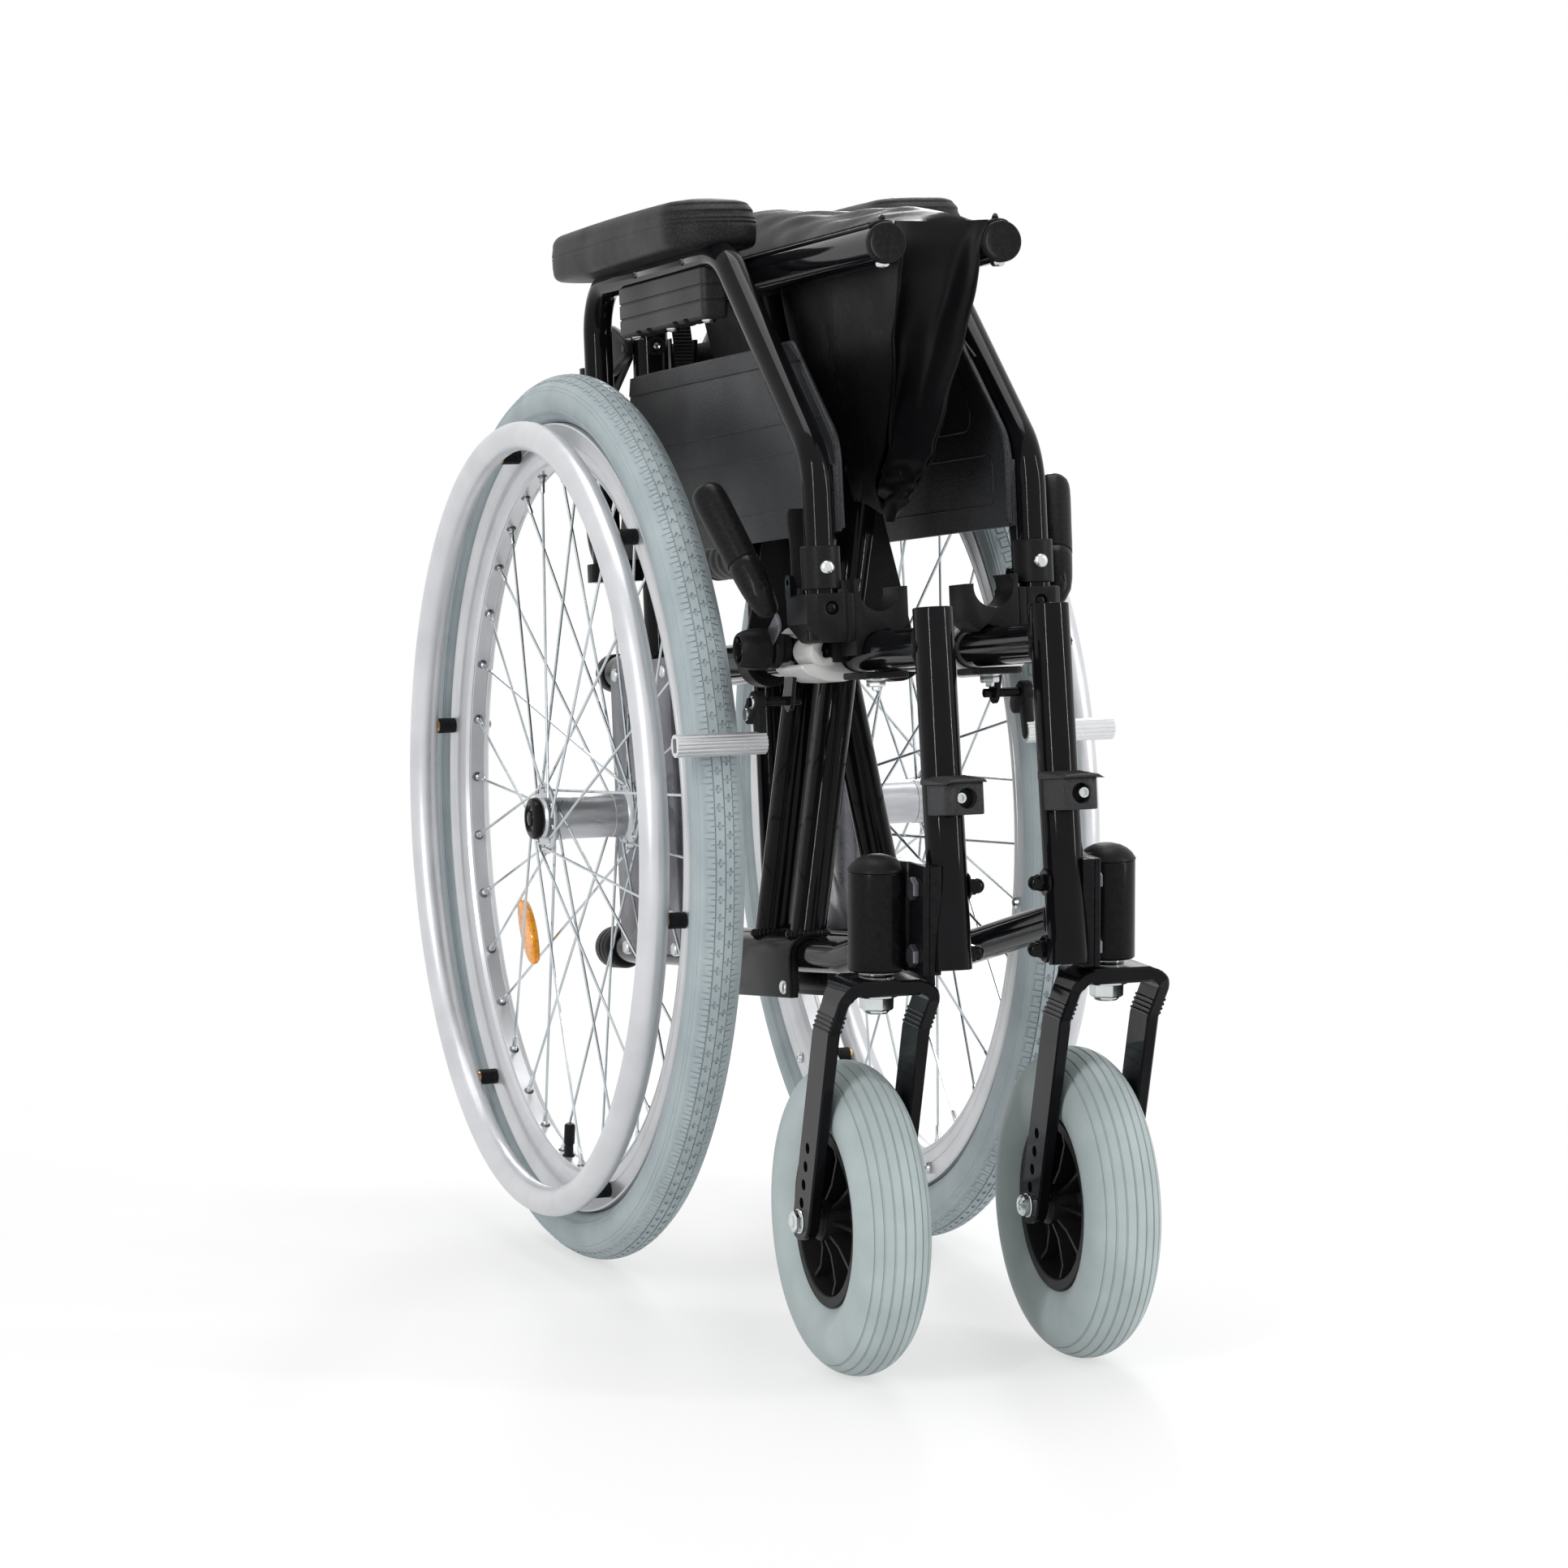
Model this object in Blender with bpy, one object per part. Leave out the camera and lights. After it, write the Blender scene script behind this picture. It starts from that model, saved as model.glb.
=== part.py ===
import bpy
import bmesh
from math import acos, atan2, cos, pi, radians, sin, sqrt, tan
from mathutils import Matrix, Vector

# A self-propelled wheelchair with a crossed brace, folded flat from side to side.
# Metres, +Z up, the front towards -Y. The side frames lean back by frame_tilt, so
# their pieces are placed in a leaning frame: x across, y back, z up along the lean.
# A side piece is drawn on the +X side, and mirrored for the other.

# Stance
frame_tilt = radians(7.1)
fit_gap = 0.0003
past_end = 0.01
tube_sides = 10

# Rear wheels
wheel_radius = 0.306
wheel_plane_x = 0.1166
tyre_half_width = 0.0175
wheel_facets = 36
tyre_height = 0.0334
rim_depth = 0.0276
rim_half_width = 0.012
handrim_drop = 0.0085
handrim_tube_radius = 0.010
handrim_offset = 0.0348
standoff_count = 6
standoff_radius = 0.0055
standoff_first_angle = radians(8)
hub_barrel_radius = 0.0155
hub_flange_radius = 0.025
hub_flange_thickness = 0.003
hub_inner_flange_x = 0.082
hub_outer_flange_x = 0.142
hub_end_overhang = 0.003
spoke_count = 36
spoke_radius = 0.0012
spoke_circle_radius = 0.0215
spoke_lead_angle = radians(60)
spoke_side_step = 0.0009
axle_radius = 0.006
axle_sleeve_radius = 0.011
axle_cap_radius = 0.0145
axle_cap_length = 0.007

# Casters
caster_axis_x = 0.0776
caster_stem_y = -0.478
caster_trail = 0.047
caster_radius = 0.100
caster_half_width = 0.0245
caster_facets = 24
caster_hub_radius = 0.056
caster_hub_rim_wall = 0.006
caster_hub_half_width = 0.017
caster_web_half = 0.003
caster_boss_radius = 0.014
caster_boss_half = 0.0225
caster_axle_radius = 0.004
caster_axle_head_radius = 0.0075
caster_axle_head_length = 0.006
fork_crown_top = 0.262
fork_crown_thickness = 0.010
fork_outer_half = 0.034
fork_inner_half = 0.026
fork_depth = 0.030
fork_shoulder_drop = 0.036
fork_shoulder_set = 0.018
fork_end_drop = 0.012
fork_hole_radius = 0.0035
fork_hole_pitch = 0.0128
fork_hole_count = 4
fork_top_shift = -0.012
stem_radius = 0.008
stem_length = 0.045
swivel_nut_radius = 0.0115
swivel_nut_height = 0.010
housing_radius = 0.018
housing_bottom = 0.265
housing_top = 0.328
housing_dome = 0.010
adapter_front_y = -0.505
adapter_rear_y = -0.462
adapter_top = 0.333

# Side frame tubes
tube_x = 0.039
seat_tube_z = 0.404
seat_tube_radius = 0.0125
seat_tube_rear_y = 0.112
seat_cap_radius = 0.0137
seat_cap_length = 0.014
lower_tube_z = 0.2068
lower_tube_radius = 0.011
lower_tube_rear_y = 0.143
lower_tip_radius = 0.015
lower_tip_length = 0.036
lower_bend_y = -0.345
lower_front_z = 0.232
lower_bend_radius = 0.080
rear_upright_y = 0.0
front_tube_radius = 0.0127
front_bore_radius = 0.0106
front_tube_top = (-0.531, 0.428)
front_tube_bottom = (-0.538, 0.202)
front_plug_length = 0.012

# Axle plate
plate_inner_x = 0.0625
plate_thickness = 0.006
plate_front_y = -0.100
plate_rear_y = 0.030
plate_bottom_z = 0.206
plate_top_z = 0.410
plate_corner = 0.012
plate_hole_radius = 0.0065
plate_hole_pitch = 0.030
plate_boss_radius = 0.008
plate_boss_inset = 0.012
plate_boss_below_tube = 0.003

# Footrest latch on the front tube
latch_reach = 0.040
latch_half_width = 0.013
latch_top_z = 0.319
latch_height = 0.0205
latch_lid_rise = 0.0055
latch_lid_overhang = 0.003
latch_back_set = 0.005
latch_recess_radius = 0.0075
latch_recess_depth = 0.010

# Seat rail and its cradle
rail_radius = 0.0128
rail_raised_z = 0.660
rail_seated_z = 0.4425
rail_front_y = -0.479
rail_rear_y = -0.070
cradle_inner_x = 0.0200
cradle_outer_x = 0.0562
cradle_front_y = -0.4385
cradle_rear_y = -0.4085
cradle_bottom_z = 0.4020
cradle_inner_top = 0.4445
cradle_outer_top = 0.4500
cradle_recess_radius = 0.0136

# Armrest
arm_x = 0.073
arm_tube_radius = 0.010
arm_post_y = -0.4245
arm_post_bottom = 0.412
arm_elbow_z = 0.527
arm_top_front_y = -0.264
arm_top_z = 0.674
arm_rear_y = 0.012
arm_rear_bottom = 0.4668
arm_elbow_bend = 0.050
arm_shoulder_bend = 0.060
arm_rear_bend = 0.035
collar_radius = 0.0115
collar_top = 0.472
bar_block_half_width = 0.009
bar_block_front_y = -0.243
bar_block_rear_y = -0.064
bar_block_bottom = 0.632
pad_inner_x = 0.0403
pad_outer_x = 0.1063
pad_front_y = -0.262
pad_rear_y = 0.030
pad_height = 0.0385
pad_crown = 0.004
pad_end_round = 0.024
pad_skirt = 0.0065
pad_taper_front_y = -0.044
pad_taper_rear_y = -0.016
pad_cane_relief = 0.0105
panel_inner_x = 0.0572
panel_thickness = 0.0035
panel_bottom_z = 0.481
panel_top_z = 0.608
panel_front_y = -0.426
panel_front_top_y = -0.348
panel_front_knee_z = 0.540
panel_rear_top_y = -0.022
panel_rear_low_y = 0.025
panel_lip_width = 0.014
socket_inner_x = 0.0566
socket_outer_x = 0.0885
socket_front_y = -0.439
socket_rear_y = -0.3955
socket_bottom_z = 0.4085
socket_top_z = 0.444
socket_floor = 0.003
socket_lug_front_y = -0.4078
socket_lug_bottom = 0.398
release_pivot_y = -0.4005
release_pivot_z = 0.4500
release_top_z = 0.497
release_thickness = 0.005
release_inner_x = 0.068
release_outer_x = 0.084
release_pin_radius = 0.002
release_ear_thickness = 0.003
release_ear_radius = 0.0045

# Brake
clamp_front_y = -0.394
clamp_rear_y = -0.346
clamp_ring_radius = 0.0165
clamp_bottom_z = 0.3875
clamp_lug_x = 0.066
clamp_lug_bottom = 0.392
clamp_lug_top = 0.418
brake_pivot_y = -0.360
brake_pivot_z = 0.409
brake_pin_radius = 0.004
pin_set_back = 0.003
knob_radius = 0.0135
knob_outer_x = 0.109
lever_radius = 0.0085
lever_bend = 0.014
lever_points = ((0.098, -0.360, 0.409), (0.100, -0.395, 0.437), (0.115, -0.344, 0.515))
shoe_pivot_y = -0.350
shoe_pivot_z = 0.375
shoe_pin_radius = 0.003
shoe_eye_radius = 0.007
shoe_eye_thickness = 0.010
shoe_bar_radius = 0.0075
shoe_bar_inner_x = 0.090
shoe_bar_outer_x = 0.152
shoe_rest_clearance = 0.004
shoe_bar_drop = 0.0262
bracket_thickness = 0.007

# Back
cane_x = 0.0385
cane_radius = 0.0125
cane_y = 0.0
cane_top_z = 0.652
upper_cane_radius = 0.0111
hinge_y = 0.064
hinge_z = 0.640
hinge_pin_radius = 0.004
hinge_eye_radius = 0.009
hinge_plate_thickness = 0.006
hinge_plate_height = 0.026
handle_height = 0.158
handle_reach = 0.100
handle_bend = 0.030
grip_radius = 0.0145
grip_past_bend = 0.001
grip_end_wall = 0.003
receiver_bottom = 0.4665
receiver_top = 0.4795
receiver_wall = 0.0035
receiver_neck_y = 0.0141
receiver_neck_x = 0.003
fold_lever_pivot_y = 0.004
fold_lever_pivot_z = 0.630
fold_lever_thickness = 0.0055
fold_lever_eye_radius = 0.008
fold_lever_reach = 0.047
fold_lever_half_height = 0.017
fold_lever_pin_radius = 0.003

# Crossed brace
leg_radius = 0.012
double_leg_front_y = -0.270
double_leg_rear_y = -0.200
single_leg_y = -0.235
double_sleeve_front_y = -0.283
double_sleeve_rear_y = -0.150
single_sleeve_half_length = 0.025
sleeve_half_width = 0.0165
sleeve_bottom_z = 0.180
sleeve_top_z = 0.2212
cross_bolt_radius = 0.004
cross_bolt_overhang = 0.004
link_length = 0.123
link_lean_x = 0.023
link_collar_radius = 0.018
link_collar_length = 0.020
link_thickness = 0.004
link_root_half = 0.010
link_tip_half = 0.0075
left_link_y = -0.2525
right_link_y = -0.2175

# Seat sling and back cloth
cloth_thickness = 0.003
sling_front_y = -0.475
sling_rear_y = -0.072
sling_tip_z = 0.495
sling_tip_x = 0.0021
sling_knee_z = 0.560
sling_fold_depth = 0.007
sling_fold_count = 2
sling_notch_margin = 0.008
sling_leg_gap = 0.0006
back_cloth_top = 0.636
back_cloth_bottom = 0.505
back_fold_depth = 0.085
back_fold_half_width = 0.0205
back_fold_steps = 26

# Colours: base colour, roughness and metallic value
gloss_black = ((0.012, 0.012, 0.014), 0.18, 0.0)
dark_plastic = ((0.030, 0.030, 0.032), 0.55, 0.0)
grey_rubber = ((0.42, 0.47, 0.48), 0.75, 0.0)
satin_silver = ((0.72, 0.73, 0.74), 0.35, 0.9)
zinc_steel = ((0.65, 0.66, 0.66), 0.30, 1.0)
cast_grey = ((0.60, 0.60, 0.58), 0.50, 0.3)
black_cloth = ((0.010, 0.010, 0.011), 0.60, 0.0)
soft_black = ((0.022, 0.022, 0.024), 0.70, 0.0)


# Places worked out from the sizes above

def to_world(y, z):
    return (y * cos(frame_tilt) + z * sin(frame_tilt), -y * sin(frame_tilt) + z * cos(frame_tilt))


def to_lean(y, z):
    return (y * cos(frame_tilt) - z * sin(frame_tilt), y * sin(frame_tilt) + z * cos(frame_tilt))


rim_outer_radius = wheel_radius - tyre_height
rim_inner_radius = rim_outer_radius - rim_depth
handrim_radius = rim_outer_radius - handrim_drop
axle_y, axle_z = to_lean(0.0, wheel_radius)
front_lean = (front_tube_top[0] - front_tube_bottom[0]) / (front_tube_top[1] - front_tube_bottom[1])
latch_bottom_z = latch_top_z - latch_height
latch_middle_z = latch_top_z - latch_height / 2
latch_tube_y = front_tube_bottom[0] + (latch_middle_z - front_tube_bottom[1]) * front_lean
latch_front_y = latch_tube_y - latch_reach
lid_front_y = latch_front_y - latch_lid_overhang
caster_axle_y = caster_stem_y + caster_trail
foremost_y = min(to_world(lid_front_y, latch_top_z)[0], caster_axle_y - caster_radius)
origin_shift = -(foremost_y + wheel_radius) / 2
knob_inner_x = clamp_lug_x + bracket_thickness + fit_gap
shoe_eye_inner_x = shoe_bar_inner_x - 0.001


# Shapes

def clear_scene():
    for item in list(bpy.data.objects):
        bpy.data.objects.remove(item, do_unlink=True)


def finished_shape(bm):
    bmesh.ops.recalc_face_normals(bm, faces=bm.faces)
    mesh = bpy.data.meshes.new("shape")
    bm.to_mesh(mesh)
    bm.free()
    shape = bpy.data.objects.new("shape", mesh)
    bpy.context.scene.collection.objects.link(shape)
    return shape


def box(low, high):
    bm = bmesh.new()
    middle = (Vector(low) + Vector(high)) / 2
    size = Vector(high) - Vector(low)
    place = Matrix.Translation(middle) @ Matrix.Diagonal((*size, 1.0))
    bmesh.ops.create_cube(bm, size=1.0, matrix=place)
    return finished_shape(bm)


def rod(start, end, radius, sides=tube_sides):
    bm = bmesh.new()
    run = Vector(end) - Vector(start)
    turn = run.to_track_quat("Z", "X").to_matrix().to_4x4()
    place = Matrix.Translation((Vector(start) + Vector(end)) / 2) @ turn
    bmesh.ops.create_cone(bm, cap_ends=True, segments=sides, radius1=radius, radius2=radius,
                          depth=run.length, matrix=place)
    return finished_shape(bm)


def hole(start, end, radius, sides=tube_sides):
    # A cutter whose flats, not its corners, lie at the radius, so a rod always fits.
    return rod(start, end, (radius + fit_gap) / cos(pi / sides), sides)


def turned(profile, axis, centre, sides, ring=False):
    # profile holds (radius, distance along the axis); a ring joins its end to its start.
    # A ring's flats, not its corners, lie at the given radius, one of them facing down.
    bm = bmesh.new()
    reach = 1 / cos(pi / sides) if ring else 1.0
    rows = []
    for radius, along in profile:
        row = []
        for step in range(sides if radius > 0 else 1):
            angle = 2 * pi * (step + 0.5) / sides - pi / 2
            first, second = radius * reach * cos(angle), radius * reach * sin(angle)
            spots = {"X": (along, first, second), "Y": (first, along, second), "Z": (first, second, along)}
            row.append(bm.verts.new(Vector(centre) + Vector(spots[axis])))
        rows.append(row)
    pairs = list(zip(rows, rows[1:]))
    if ring:
        pairs.append((rows[-1], rows[0]))
    for row, following in pairs:
        for step in range(sides):
            corners = [row[step % len(row)], row[(step + 1) % len(row)],
                       following[(step + 1) % len(following)], following[step % len(following)]]
            bm.faces.new(list(dict.fromkeys(corners)))
    if not ring:
        for row in (rows[0], rows[-1]):
            if len(row) > 1:
                bm.faces.new(row)
    return finished_shape(bm)


def prism(outline, axis, low, high):
    # outline lies across the axis: (y, z) for X, (x, z) for Y and (x, y) for Z.
    bm = bmesh.new()
    corners = []
    for first, second in outline:
        spots = {"X": (low, first, second), "Y": (first, low, second), "Z": (first, second, low)}
        corners.append(bm.verts.new(spots[axis]))
    face = bm.faces.new(corners)
    run = {"X": (high - low, 0, 0), "Y": (0, high - low, 0), "Z": (0, 0, high - low)}
    made = bmesh.ops.extrude_face_region(bm, geom=[face])
    moved = [item for item in made["geom"] if isinstance(item, bmesh.types.BMVert)]
    bmesh.ops.translate(bm, verts=moved, vec=run[axis])
    return finished_shape(bm)


def rounded(points, radii, steps=3):
    # The polyline with an arc at each inner corner, of that corner's radius.
    path = [Vector(points[0])]
    for before, corner, after, radius in zip(points, points[1:], points[2:], radii):
        corner = Vector(corner)
        back = (Vector(before) - corner).normalized()
        ahead = (Vector(after) - corner).normalized()
        half = acos(max(-1.0, min(1.0, back.dot(ahead)))) / 2
        reach = radius / tan(half)
        centre = corner + (back + ahead).normalized() * (radius / sin(half))
        start = corner + back * reach - centre
        sweep = pi - 2 * half
        normal = start.cross(corner + ahead * reach - centre).normalized()
        for step in range(steps + 1):
            path.append(centre + Matrix.Rotation(sweep * step / steps, 3, normal) @ start)
    path.append(Vector(points[-1]))
    return path


def swept(path, radius, sides=tube_sides):
    # A round tube along the path, mitred at each point, with closed ends.
    bm = bmesh.new()
    path = [Vector(point) for point in path]
    rings = []
    across = Vector((1, 0, 0))
    for number, point in enumerate(path):
        incoming = (point - path[number - 1]).normalized() if number > 0 else None
        outgoing = (path[number + 1] - point).normalized() if number + 1 < len(path) else None
        run = incoming or outgoing
        plane = ((incoming or outgoing) + (outgoing or incoming)).normalized()
        side = (across - run * across.dot(run)).normalized()
        up = run.cross(side)
        ring = []
        for step in range(sides):
            angle = 2 * pi * (step + 0.5) / sides
            spot = side * radius * cos(angle) + up * radius * sin(angle)
            spot = spot - run * (spot.dot(plane) / run.dot(plane))
            ring.append(bm.verts.new(point + spot))
        rings.append(ring)
    for ring, following in zip(rings, rings[1:]):
        for step in range(sides):
            nearby = (step + 1) % sides
            bm.faces.new((ring[step], ring[nearby], following[nearby], following[step]))
    bm.faces.new(rings[0])
    bm.faces.new(rings[-1])
    return finished_shape(bm)


def combined(body, tools, operation):
    for tool in tools:
        change = body.modifiers.new("change", "BOOLEAN")
        change.operation = operation
        change.solver = "EXACT"
        change.object = tool
    graph = bpy.context.evaluated_depsgraph_get()
    mesh = bpy.data.meshes.new_from_object(body.evaluated_get(graph))
    body.modifiers.clear()
    body.data = mesh
    for tool in tools:
        bpy.data.objects.remove(tool, do_unlink=True)
    return body


def union(body, *tools):
    return combined(body, tools, "UNION")


def cut(body, *tools):
    return combined(body, tools, "DIFFERENCE")


def slanted_bar(start, end, half_start, half_end, low, high):
    # A tapered flat bar in the y-z plane with rounded ends, from x = low to x = high.
    run = Vector((end[0] - start[0], end[1] - start[1]))
    heading = atan2(run.y, run.x)
    outline = []
    for centre, half, turn in ((start, half_start, pi / 2), (end, half_end, -pi / 2)):
        for step in range(7):
            angle = heading + turn + pi * step / 6
            outline.append((centre[0] + half * cos(angle), centre[1] + half * sin(angle)))
    return prism(outline, "X", low, high)


# Nodes

def material(name, finish):
    colour, roughness, metallic = finish
    made = bpy.data.materials.new(name)
    made.use_nodes = True
    shader = made.node_tree.nodes["Principled BSDF"]
    shader.inputs["Base Color"].default_value = (*colour, 1.0)
    shader.inputs["Roughness"].default_value = roughness
    shader.inputs["Metallic"].default_value = metallic
    return made


def node(name, shape, finish, parent, side=1, pivot=(0.0, 0.0, 0.0)):
    # side -1 mirrors the piece; pivot becomes the object's own origin.
    mesh = shape.data
    place = Vector((pivot[0] * side, pivot[1], pivot[2]))
    if side < 0:
        mesh.transform(Matrix.Diagonal((-1.0, 1.0, 1.0, 1.0)))
        mesh.flip_normals()
    mesh.transform(Matrix.Translation(-place))
    shape.name = name
    mesh.name = name
    mesh.materials.clear()
    mesh.materials.append(material(name, finish))
    mesh.shade_smooth()
    mesh.set_sharp_from_angle(angle=radians(35))
    shape.parent = parent
    shape.location = place
    return shape


def empty(name, location, rotation, parent):
    spot = bpy.data.objects.new(name, None)
    bpy.context.scene.collection.objects.link(spot)
    spot.location = location
    spot.rotation_euler = rotation
    spot.parent = parent
    return spot


# Side frame

def front_tube_ends(extra=0.0):
    top = Vector((tube_x, *front_tube_top))
    bottom = Vector((tube_x, *front_tube_bottom))
    run = (top - bottom).normalized()
    return bottom - run * extra, top + run * extra


def front_tube():
    bottom, top = front_tube_ends()
    run = (top - bottom).normalized()
    tube = rod(bottom, top, front_tube_radius, 16)
    return cut(tube, rod(bottom + run * front_plug_length, top + run * past_end, front_bore_radius, 16))


def side_frame():
    front_y = front_tube_top[0]
    seat_tube = rod((tube_x, front_y, seat_tube_z), (tube_x, seat_tube_rear_y, seat_tube_z), seat_tube_radius)
    low_front = front_tube_bottom[0] + (lower_front_z - front_tube_bottom[1]) * front_lean
    lower_path = rounded([(tube_x, low_front, lower_front_z),
                          (tube_x, lower_bend_y, lower_tube_z),
                          (tube_x, lower_tube_rear_y - lower_tip_length / 2, lower_tube_z)],
                         [lower_bend_radius])
    tip_start = lower_tube_rear_y - lower_tip_length
    tip = turned([(lower_tip_radius - 0.001, tip_start), (lower_tip_radius, tip_start + 0.003),
                  (lower_tip_radius, lower_tube_rear_y - 0.006),
                  (lower_tip_radius - 0.005, lower_tube_rear_y)],
                 "Y", (tube_x, 0, lower_tube_z), tube_sides)
    cap_start = seat_tube_rear_y - seat_cap_length
    cap = rod((tube_x, cap_start, seat_tube_z), (tube_x, seat_tube_rear_y + 0.002, seat_tube_z),
              seat_cap_radius)
    upright = rod((tube_x, rear_upright_y, lower_tube_z), (tube_x, rear_upright_y, seat_tube_z),
                  lower_tube_radius)
    frame = union(seat_tube, upright)
    frame = union(frame, swept(lower_path, lower_tube_radius))
    frame = union(frame, tip)
    frame = union(frame, cap)
    return cut(frame, hole(*front_tube_ends(0.02), front_tube_radius, 16))


def axle_plate():
    outer_x = plate_inner_x + plate_thickness
    outline = []
    corners = ((plate_rear_y, plate_top_z, 0), (plate_front_y, plate_top_z, 1),
               (plate_front_y, plate_bottom_z, 2), (plate_rear_y, plate_bottom_z, 3))
    for y, z, quarter in corners:
        towards_y = 1 if y > axle_y else -1
        towards_z = 1 if z > axle_z else -1
        for step in range(4):
            angle = quarter * pi / 2 + step * pi / 6
            outline.append((y - towards_y * plate_corner + plate_corner * cos(angle),
                            z - towards_z * plate_corner + plate_corner * sin(angle)))
    plate = prism(outline, "X", plate_inner_x, outer_x)
    front_boss = plate_front_y + plate_boss_inset
    rear_boss = plate_rear_y - plate_boss_inset
    for boss_y in (front_boss, rear_boss):
        for tube_z, tube_radius, drop in ((seat_tube_z, seat_tube_radius, -plate_boss_below_tube),
                                          (lower_tube_z, lower_tube_radius, plate_boss_below_tube)):
            start_x = tube_x + tube_radius + fit_gap
            boss = rod((start_x, boss_y, tube_z + drop), (plate_inner_x + 0.002, boss_y, tube_z + drop),
                       plate_boss_radius)
            plate = union(plate, boss)
    holes = []
    for step in (-2, -1, 0, 1, 2):
        radius, sides = (plate_hole_radius, 8) if step else (axle_radius, tube_sides)
        hole_z = axle_z + step * plate_hole_pitch
        holes.append(hole((plate_inner_x - past_end, axle_y, hole_z), (outer_x + past_end, axle_y, hole_z),
                          radius, sides))
    return cut(plate, *holes)


def axle_pin():
    # Turned about X at the wheel centre: tail in the plate, sleeve, shaft and outer cap.
    sleeve_start = plate_inner_x + plate_thickness + fit_gap
    sleeve_end = hub_inner_flange_x - hub_end_overhang - hub_flange_thickness / 2 - fit_gap
    cap_start = hub_outer_flange_x + hub_end_overhang + hub_flange_thickness / 2 + fit_gap
    profile = [(axle_radius, plate_inner_x - 0.002), (axle_radius, sleeve_start),
               (axle_sleeve_radius, sleeve_start), (axle_sleeve_radius, sleeve_end),
               (axle_radius, sleeve_end), (axle_radius, cap_start),
               (axle_cap_radius, cap_start), (axle_cap_radius, cap_start + axle_cap_length * 0.6),
               (axle_cap_radius * 0.7, cap_start + axle_cap_length)]
    return turned(profile, "X", (0, 0, wheel_radius), tube_sides)


def front_latch():
    rear_y = latch_tube_y - latch_back_set
    lid_z = latch_top_z + latch_lid_rise
    outline = [(rear_y, latch_bottom_z), (latch_front_y, latch_bottom_z),
               (latch_front_y, latch_top_z - 0.001),
               (lid_front_y, latch_top_z), (lid_front_y + 0.002, lid_z - 0.002), (rear_y, lid_z + 0.003)]
    block = prism(outline, "X", tube_x - latch_half_width, tube_x + latch_half_width)
    recess_z = latch_middle_z
    recess = rod((tube_x, latch_front_y - past_end, recess_z),
                 (tube_x, latch_front_y + latch_recess_depth, recess_z),
                 latch_recess_radius)
    return cut(block, hole(*front_tube_ends(0.02), front_tube_radius, 16), recess)


# Caster

def upright_front_tube_hole():
    ends = [Vector((tube_x, *to_world(point.y, point.z))) for point in front_tube_ends(0.02)]
    return hole(*ends, front_tube_radius, 16)


def caster_housing():
    cylinder = turned([(housing_radius, housing_bottom), (housing_radius, housing_top),
                       (housing_radius * 0.8, housing_top + housing_dome * 0.6),
                       (housing_radius * 0.4, housing_top + housing_dome * 0.93),
                       (0, housing_top + housing_dome)], "Z", (caster_axis_x, caster_stem_y, 0), 16)
    adapter = box((tube_x + lower_tube_radius + fit_gap, adapter_front_y, housing_bottom),
                  (caster_axis_x - housing_radius / 2, adapter_rear_y, adapter_top))
    shaped = union(cylinder, adapter)
    stem_top = fork_crown_top + stem_length + 0.001
    bore = hole((caster_axis_x, caster_stem_y, housing_bottom - past_end),
                (caster_axis_x, caster_stem_y, stem_top),
                stem_radius)
    return cut(shaped, upright_front_tube_hole(), bore)


def fork_arm(inner, outer):
    # The flat bar seen from the side: shoulder, then a straight run back to the axle.
    top_y = caster_stem_y + fork_top_shift
    top_z = fork_crown_top - fork_crown_thickness
    knee_y = caster_stem_y + fork_shoulder_set * 0.5
    knee_z = fork_crown_top - fork_shoulder_drop
    half = fork_depth / 2
    end_y = caster_axle_y + 0.002
    end_z = caster_radius - fork_end_drop
    outline = [(top_y - half, fork_crown_top), (top_y - half, top_z), (knee_y - half, knee_z),
               (end_y - half, end_z + 0.004), (end_y - half * 0.5, end_z), (end_y + half * 0.7, end_z),
               (end_y + half * 0.9, end_z + 0.006), (knee_y + half, knee_z), (top_y + half, top_z),
               (top_y + half, fork_crown_top)]
    return prism(outline, "X", inner, outer)


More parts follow.
